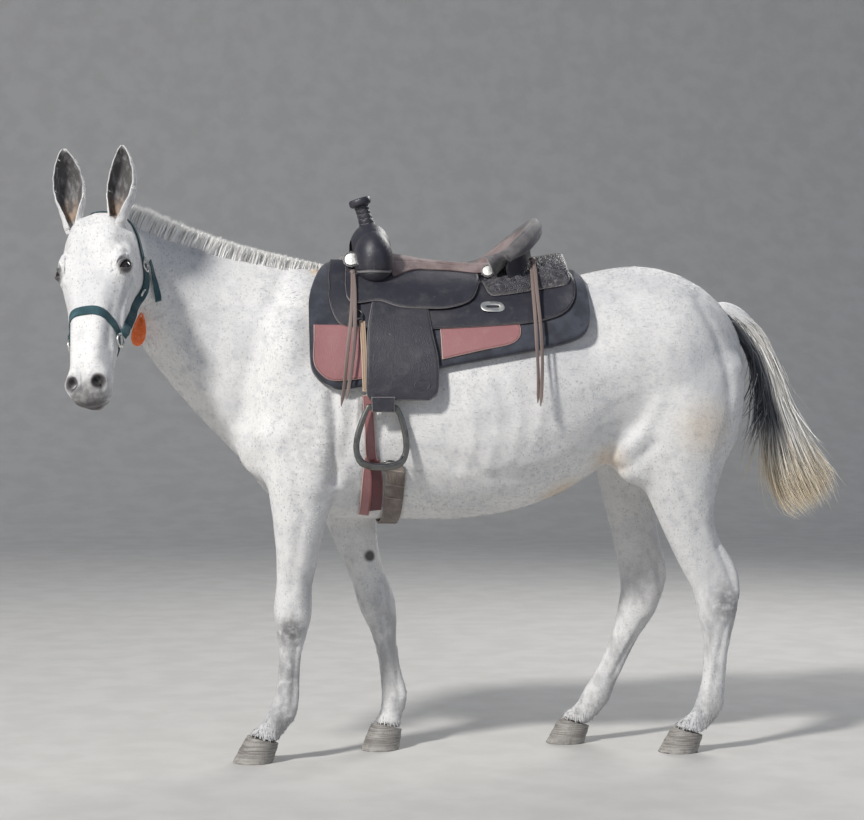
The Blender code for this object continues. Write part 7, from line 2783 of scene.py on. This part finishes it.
@dataclass
class Halter:
    """The nylon halter: flat webbing laid round the head, its rings and buckle, and the tag."""

    plan: Plan
    skin: bpy.types.Object
    low: float = 0.0016
    high: float = 0.0044
    noseband_x: float = 0.305
    crown: Sequence[Point] = (
        (0.352, 0.085, -0.088), (0.285, 0.10, -0.140), (0.215, 0.12, -0.182), (0.150, 0.12, -0.165),
        (0.090, 0.12, -0.120), (0.030, 0.10, -0.090), (-0.020, 0.070, -0.070), (-0.045, 0.0, -0.030),
    )
    throat: Sequence[Point] = (
        (0.206, 0.100, -0.184), (0.210, 0.062, -0.208), (0.213, 0.030, -0.228), (0.214, 0.0, -0.233),
    )
    jaw: Sequence[Point] = ((0.352, 0, -0.172), (0.30, 0, -0.195), (0.224, 0, -0.230))
    strap_end: Sequence[Point] = (
        (-0.806, -0.190, 1.385), (-0.799, -0.176, 1.350), (-0.785, -0.161, 1.310), (-0.779, -0.150, 1.280),
    )
    tag_place: Point = (-0.828, -0.150, 1.200)
    tree: BVHTree = field(init=False)
    nylon: bpy.types.Material = field(init=False)
    steel: bpy.types.Material = field(init=False)

    def build(self) -> None:
        """Builds and dresses the halter and the tag."""
        points, corners = Piece.points(self.skin), Piece.triangles(self.skin)
        view = self.plan.head_view(points[corners].mean(axis=1))
        x, y, z = view.T
        ear = (x < 0.06) & (np.abs(y) > 0.022) & (z > -0.055) | (z > 0.035)
        self.tree = BVHTree.FromPolygons(points.tolist(), corners[~ear].tolist())
        # The nylon's second colour is painted shade in the weave's grooves.
        self.nylon = Webbing("halter_nylon", (0.022, 0.075, 0.092), (0.008, 0.030, 0.040),
                             (0.070, 0.170, 0.190)).make()
        self.steel = Metal("halter_steel", (0.70, 0.70, 0.68), (0.40, 0.39, 0.37)).make()
        self._noseband()
        for name, points, width in (
            ("crown", self._both(self.crown), 0.025), ("throat", self._both(self.throat), 0.018),
            ("jaw_strap", [self.plan.on_head(*p) for p in self.jaw], 0.022),
        ):
            turned = 42 if name == "crown" else 0
            strap = self._strap(f"{name}_webbing", points, width, self.low, self.high, turned)
            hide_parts(f"halter_{name}")
        hanging = [self.plan.at(*p) for p in self.strap_end]
        end = self._strap("strap_end_webbing", hanging, 0.018, 0.0100, 0.0128)
        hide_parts("halter_strap_end")
        for sign, label in ((1, "left"), (-1, "right")):
            self._ring(f"cheek_ring_{label}", (0.366, 0.09 * sign, -0.084), 0.0175, f"halter_ring_{label}")
            self._ring(f"throat_ring_{label}", (0.205, 0.13 * sign, -0.190), 0.0125)
        self._ring("jaw_ring", (0.345, 0.0, -0.22), 0.0115)
        self._buckle()
        self._tag()

    def _both(self, path: Sequence[Point]) -> list[tuple[float, ...]]:
        """A strap's points from one side of the head over its middle and down the other."""
        points = [*path, *[(x, -y, z) for x, y, z in path[-2::-1]]]
        return [self.plan.on_head(*p) for p in points]

    def _strap(self, name: str, points: Sequence[Sequence[float]], width: float, low: float,
               high: float, turned: float = 0) -> bpy.types.Object:
        """Lays a strap on the skin through points, its edges rounded and its weave marked out.

        Args:
            name: its name.
            points: points near the skin.
            width: its width.
            low: how far its under side is above the skin.
            high: how far its top is.
            turned: how far its ends stand off the cheeks to face forward, in degrees.

        Returns:
            The strap.
        """
        rough = curve_rows(points, 10)
        rows = even_rows(rough, max(int(np.linalg.norm(np.diff(rough, axis=0), axis=1).sum() / 0.0045), 8))
        out = self._smooth(np.array([self.tree.find_nearest(Vector(r))[1] for r in rows]))
        middle = np.array([self.tree.find_nearest(Vector(r))[0] for r in rows])
        along = unit(np.gradient(self._smooth(middle), axis=0))
        ends = np.abs(np.linspace(-1, 1, len(rows)))
        angle = math.radians(turned) * step(ends, 0.42, 0.70)[:, None]
        front = self.plan.head_out(np.array([[0, 0, 1.0]]))[0]
        front = unit(front - along * (along @ front)[:, None])
        facing = unit(out * np.cos(angle) + front * np.sin(angle))
        across = unit(np.cross(facing, along))
        spare = np.sin(angle) * width / 2
        shares = np.array([-1.0, -0.96, -0.85, -0.45, 0.0, 0.45, 0.85, 0.96, 1.0])
        rounded = np.array([0.55, 0.85, 1.0, 1.0, 1.0, 1.0, 1.0, 0.85, 0.55])
        under, over = [], []
        for share, lift in zip(shares, rounded):
            spots = rows + across * (share * width / 2)
            found = [self.tree.find_nearest(Vector(s)) for s in spots]
            base = self._smooth(np.array([f[0] for f in found]))
            way = unit(self._smooth(np.array([f[1] for f in found])) + out)
            standing = step(angle, 0.0, 0.3)
            base = blend(base, middle + out * spare + across * (share * width / 2), standing)
            way = blend(way, facing, standing)
            under.append(base + way * low)
            over.append(base + way * (low + (high - low) * lift))
        outer, inner = np.array(over).transpose(1, 0, 2), np.array(under).transpose(1, 0, 2)
        run = np.tile(distances(middle)[:, None], (1, len(shares)))
        build = Build().slab(outer, inner, run=run, span=np.tile(shares * width / 2, (len(run), 1)))
        return build.make(name, Slot.NYLON, self.nylon)

    def _smooth(self, rows: np.ndarray) -> np.ndarray:
        """Rows evened out along a strap."""
        for _ in range(4):
            rows = rows.copy()
            rows[1:-1] = (rows[:-2] + 2 * rows[1:-1] + rows[2:]) / 4
        return rows

    def _noseband(self) -> None:
        """Closes the noseband round the nose, lower under the jaw."""
        count, width = 120, 0.025
        angles = around(count)
        slant = 0.050 * np.minimum(1 - np.cos(angles), 1.3)
        shares = np.array([-1.0, -0.95, -0.8, 0.0, 0.8, 0.95, 1.0])
        rounded = np.array([0.55, 0.85, 1.0, 1.0, 1.0, 0.85, 0.55])
        turn = self.plan.head.to_3x3()
        outer, inner = np.empty((2, count, len(shares), 3))
        for i, angle in enumerate(angles):
            way = turn @ Vector((0, math.sin(angle), math.cos(angle)))
            for k, share in enumerate(shares):
                start = self.plan.on_head(self.noseband_x + slant[i] + share * width / 2, 0, -0.085)
                hit = self.tree.ray_cast(start, way)[0]
                inner[i, k] = hit + way * self.low
                outer[i, k] = hit + way * (self.low + (self.high - self.low) * rounded[k])
        for grid in (outer, inner):
            for _ in range(3):
                grid[:] = (np.roll(grid, 1, axis=0) + 2 * grid + np.roll(grid, -1, axis=0)) / 4
        rings = np.concatenate([outer, inner[:, ::-1]], axis=1)
        gaps = np.linalg.norm(outer[:, 3] - np.roll(outer[:, 3], 1, axis=0), axis=1)
        run = np.cumsum(gaps)
        span = np.concatenate([shares, shares[::-1]]) * width / 2
        build = Build().tube(rings, closed=True, run=np.repeat(run, len(span)), span=np.tile(span, count))
        band = build.make("noseband_webbing", Slot.NYLON, self.nylon)
        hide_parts("halter_noseband")

    def _place(self, centre: Point, lift: float) -> tuple[np.ndarray, np.ndarray, np.ndarray]:
        """A place on the cheek.

        Args:
            centre: a point near it, in the head's frame.
            lift: how far above the skin.

        Returns:
            The place, the way along the strap there and the way out.
        """
        spot, out = self.tree.find_nearest(self.plan.on_head(*centre))[:2]
        out = np.array(out)
        along = self.plan.head_out(np.array([[1.0, 0, 0]]))[0]
        along = unit(along - out * along.dot(out))
        return np.array(spot) + out * lift, along, out

    def _ring(self, name: str, centre: Point, radius: float, node: str | None = None) -> None:
        """Sets a steel ring on the cheek.

        Args:
            name: its name.
            centre: a point near it, in the head's frame.
            radius: its radius to the middle of the wire.
            node: the solid it stands for, if any.
        """
        place, along, out = self._place(centre, 0.0082)
        side = np.cross(out, along)
        angles = around(64)
        line = place + radius * (np.cos(angles)[:, None] * along + np.sin(angles)[:, None] * side)
        up = np.tile(out, (len(line), 1))
        build = Build().tube(sweep(line, up, oval(0.0030, 0.0030, 14), closed=True), closed=True)
        ring = build.make(name, Slot.STEEL, self.steel)
        if node is not None:
            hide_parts(node)

    def _buckle(self) -> None:
        """Sets the crown strap's buckle, with its bar and tongue, on the left cheek."""
        place, along, out = self._place((0.110, 0.125, -0.138), 0.0075)
        side = np.cross(out, along)
        half_along, half_side = 0.0150, 0.0165
        corners = np.array([(-1, -1), (1, -1), (1, 1), (-1, 1)], float)
        frame = curve_rows([*(corners * [half_along, half_side]), (-half_along, -half_side)], 10)[:-1]
        line = place + frame[:, :1] * along + frame[:, 1:2] * side
        build = Build().tube(sweep(line, np.tile(out, (len(line), 1)), oval(0.0020, 0.0018, 12), closed=True),
                             closed=True)
        bar = place + np.linspace(-1, 1, 8)[:, None] * side * half_side
        build.tube(sweep(bar, np.tile(out, (8, 1)), oval(0.0016, 0.0016, 10)))
        tongue = place + np.linspace(0, 1.12, 10)[:, None] * along * half_along + out * 0.0014
        build.tube(sweep(tongue, np.tile(out, (10, 1)), oval(0.0014, 0.0013, 10)))
        build.make("crown_buckle", Slot.STEEL, self.steel)

    def _tag(self) -> None:
        """Hangs the orange tag: a drop-shaped plate with a rounded rim and a hole, on a thin wire."""
        angles = around(72)
        lift = np.cos(angles)
        half = 0.0185 * np.sin(angles) * (1 - 0.40 * lift)
        x, y, z = self.tag_place
        outline = np.stack([x + half + 0.006 * lift, np.zeros(72), z + 0.0460 * lift], axis=1)
        middle = np.array([x, 0, z])
        hole_at = np.array([x + 0.0048, 0, z + 0.0360])
        hole = hole_at + 0.0022 * np.stack([np.sin(angles), np.zeros(72), np.cos(angles)], axis=1)
        rings = []
        for share, depth in ((0.93, 0.0002), (0.985, 0.0006), (1.0, 0.0015), (0.985, 0.0024), (0.93, 0.0028)):
            ring = middle + (outline - middle) * share
            ring[:, 1] = y - depth
            rings.append(ring)
        for depth in (0.0028, 0.0015, 0.0002):
            ring = hole.copy()
            ring[:, 1] = y - depth
            rings.append(ring)
        build = Build().tube(np.array(rings), closed=True)
        tag = build.make("tag_plate", Slot.TAG, Plastic().make(), self.plan.shift)
        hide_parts("ear_tag")
        top = hole_at + np.array([0.0, y - 0.0015, 0.0])
        wire = curve_rows([top + [0, 0.004, -0.001], top + [0, 0.0, 0.004], top + [0.006, -0.006, 0.012],
                           top + [0.013, 0.002, 0.030], top + [0.020, 0.008, 0.046]], 10)
        build = Build().tube(sweep(wire, np.tile([0.0, 0, 1.0], (len(wire), 1)) + [0.3, 0, 0],
                                   oval(0.0008, 0.0008, 8)))
        build.make("tag_wire", Slot.STEEL, self.steel, self.plan.shift)


@dataclass
class Studio:
    """The plain pale floor, the soft light, and the camera at the photograph's angle."""

    plan: Plan
    distance: float = 6.3
    height: float = 1.10
    turn: float = 8.0
    tilt: float = 1.1406
    focal_pixels: float = 2210.0
    frame_width: float = 864.0

    def build(self) -> None:
        """Sets the stage."""
        self._camera()
        self._floor()
        self._lights()

    def _camera(self) -> None:
        """Places the camera."""
        turn, tilt = math.radians(self.turn), math.radians(self.tilt)
        data = bpy.data.cameras.new("camera")
        data.sensor_fit = "HORIZONTAL"
        data.sensor_width = 36.0
        data.lens = self.focal_pixels / self.frame_width * data.sensor_width
        camera = stand("camera", data)
        camera.location = self.plan.at(-self.distance * math.sin(turn), -self.distance * math.cos(turn),
                                       self.height)
        camera.rotation_euler = (math.pi / 2 - tilt, 0, -turn)
        data.clip_end = 60
        bpy.context.scene.camera = camera

    def _floor(self) -> None:
        """Lays the floor, which curves up far behind."""
        bend = [(7.5 + 6.0 * math.sin(a), 6.0 * (1 - math.cos(a))) for a in np.linspace(0, math.pi / 2, 60)]
        rows = [(-12.0, 0.0), *bend, (13.5, 12.0)]
        points = [(x, y, z - 0.0004) for y, z in rows for x in (-14.0, 14.0)]
        faces = [[2 * i, 2 * i + 1, 2 * i + 3, 2 * i + 2] for i in range(len(rows) - 1)]
        mesh = bpy.data.meshes.new("studio_floor")
        mesh.from_pydata(points, [], faces)
        mesh.polygons.foreach_set("use_smooth", [True] * len(mesh.polygons))
        floor = stand("studio_floor", mesh)
        sh = Shader("studio_paper")
        speckle = sh.noise(6.0, 3.0)
        colour = sh.mix(speckle.band(0.35, 0.65), (0.52, 0.51, 0.49), (0.56, 0.55, 0.53))
        mesh.materials.append(sh.finish(Base_Color=colour, Roughness=0.85))

    def _lights(self) -> None:
        """Hangs a large key light high on the left, a fill and a rim, in a pale room."""
        world = bpy.data.worlds.new("studio")
        world.use_nodes = True
        sky = world.node_tree.nodes["Background"]
        sky.inputs["Color"].default_value = (0.70, 0.80, 1.0, 1)
        sky.inputs["Strength"].default_value = 0.23
        bpy.context.scene.world = world
        for name, place, size, power, colour in (
            ("key", (-7.0, -6.2, 8.4), 1.3, 1500, (1.0, 0.98, 0.945)),
            ("fill", (3.4, -5.0, 2.2), 3.2, 26, (0.80, 0.88, 1.0)),
            ("rim", (2.4, 3.4, 3.8), 2.2, 110, (1.0, 0.98, 0.95)),
        ):
            data = bpy.data.lights.new(name, "AREA")
            data.shape, data.size = "DISK", size
            data.energy, data.color = power, colour
            light = stand(name, data)
            light.location = place
            light.rotation_euler = (Vector((0, 0, 0.9)) - Vector(place)).to_track_quat("-Z", "Y").to_euler()
        bpy.context.scene.view_settings.view_transform = "Standard"


def main() -> None:
    """Builds the whole visual model, piece by piece."""
    logging.basicConfig(level=logging.INFO, format="%(name)s %(message)s")
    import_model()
    plan = Plan()
    at, on_head = plan.at, plan.on_head
    coat = Coat(
        head=on_head(0.1, 0, -0.1),
        stains=(
            (at(-0.320, -0.020, 1.372), 0.050, 0.75),
            (at(0.735, -0.20, 0.93), 0.12, 0.34),
            (at(0.352, -0.10, 0.745), 0.10, 0.45), (at(0.48, -0.16, 0.83), 0.08, 0.40),
        ),
        greys=(
            (on_head(0.545, 0, -0.070), 0.105, 0.85), (at(-0.418, -0.150, 0.366), 0.062, 0.90),
            (at(-0.140, 0.11, 0.345), 0.075, 0.35), (at(-0.44, -0.12, 0.125), 0.070, 0.65),
            (at(-0.430, -0.135, 0.235), 0.090, 0.55), (at(-0.350, -0.190, 0.88), 0.120, 0.30),
            (at(-0.100, 0.11, 0.118), 0.070, 0.45), (at(0.780, -0.11, 0.13), 0.075, 0.45),
            (at(0.500, 0.11, 0.11), 0.075, 0.50), (at(0.835, -0.17, 0.425), 0.085, 0.80),
        ),
        darks=(
            *((on_head(0.504, side * 0.039, -0.033), radius, 0.96) for side in (1, -1)
              for radius in (0.024, 0.028)),
            *((on_head(0.174, side * 0.100, -0.020), radius, 0.96) for side in (1, -1)
              for radius in (0.027, 0.031)),
            (on_head(0.548, 0, -0.088), 0.050, 0.85), (at(-0.169, 0.083, 0.553), 0.0225, 0.97),
            (on_head(0.545, 0, -0.055), 0.066, 0.62),
            (at(-0.430, -0.060, 0.560), 0.018, 0.90),
        ),
        hollows=tuple((on_head(0.504, side * 0.034, -0.034), 0.0195, 0.95) for side in (1, -1)),
    ).make()
    ears = Ears(plan)
    skin = Skin(plan).build(ears.shells())
    for name, values in zip(("lining", "lining_root"), ears.lining(Piece.points(skin), Piece.normals(skin))):
        Piece.mark(skin, name, values)
    Piece.dress(skin, Slot.COAT, coat)
    Eyes(plan).build()
    unwrap = Unwrap()
    unwrap.build(skin)
    ShortCoat(plan, skin, unwrap, ears).build(coat)
    mane_hair = Hair("mane_hair", (0.92, 0.91, 0.89), (0.76, 0.75, 0.74), (0.92, 0.91, 0.88)).make()
    Mane(plan, unwrap).build(mane_hair)
    tail_hair = Hair("tail_hair", (0.88, 0.87, 0.84), (0.55, 0.52, 0.48), (0.82, 0.68, 0.46), 0.72, 0.94,
                     (0.040, 0.048, 0.065), 0.92).make()
    Tail(plan, unwrap).build(tail_hair, coat)
    Hooves().build(Horn().make())
    Saddle(plan, Trunk(plan)).build()
    Halter(plan, skin).build()
    Studio(plan).build()


if __name__ == "__main__":
    main()
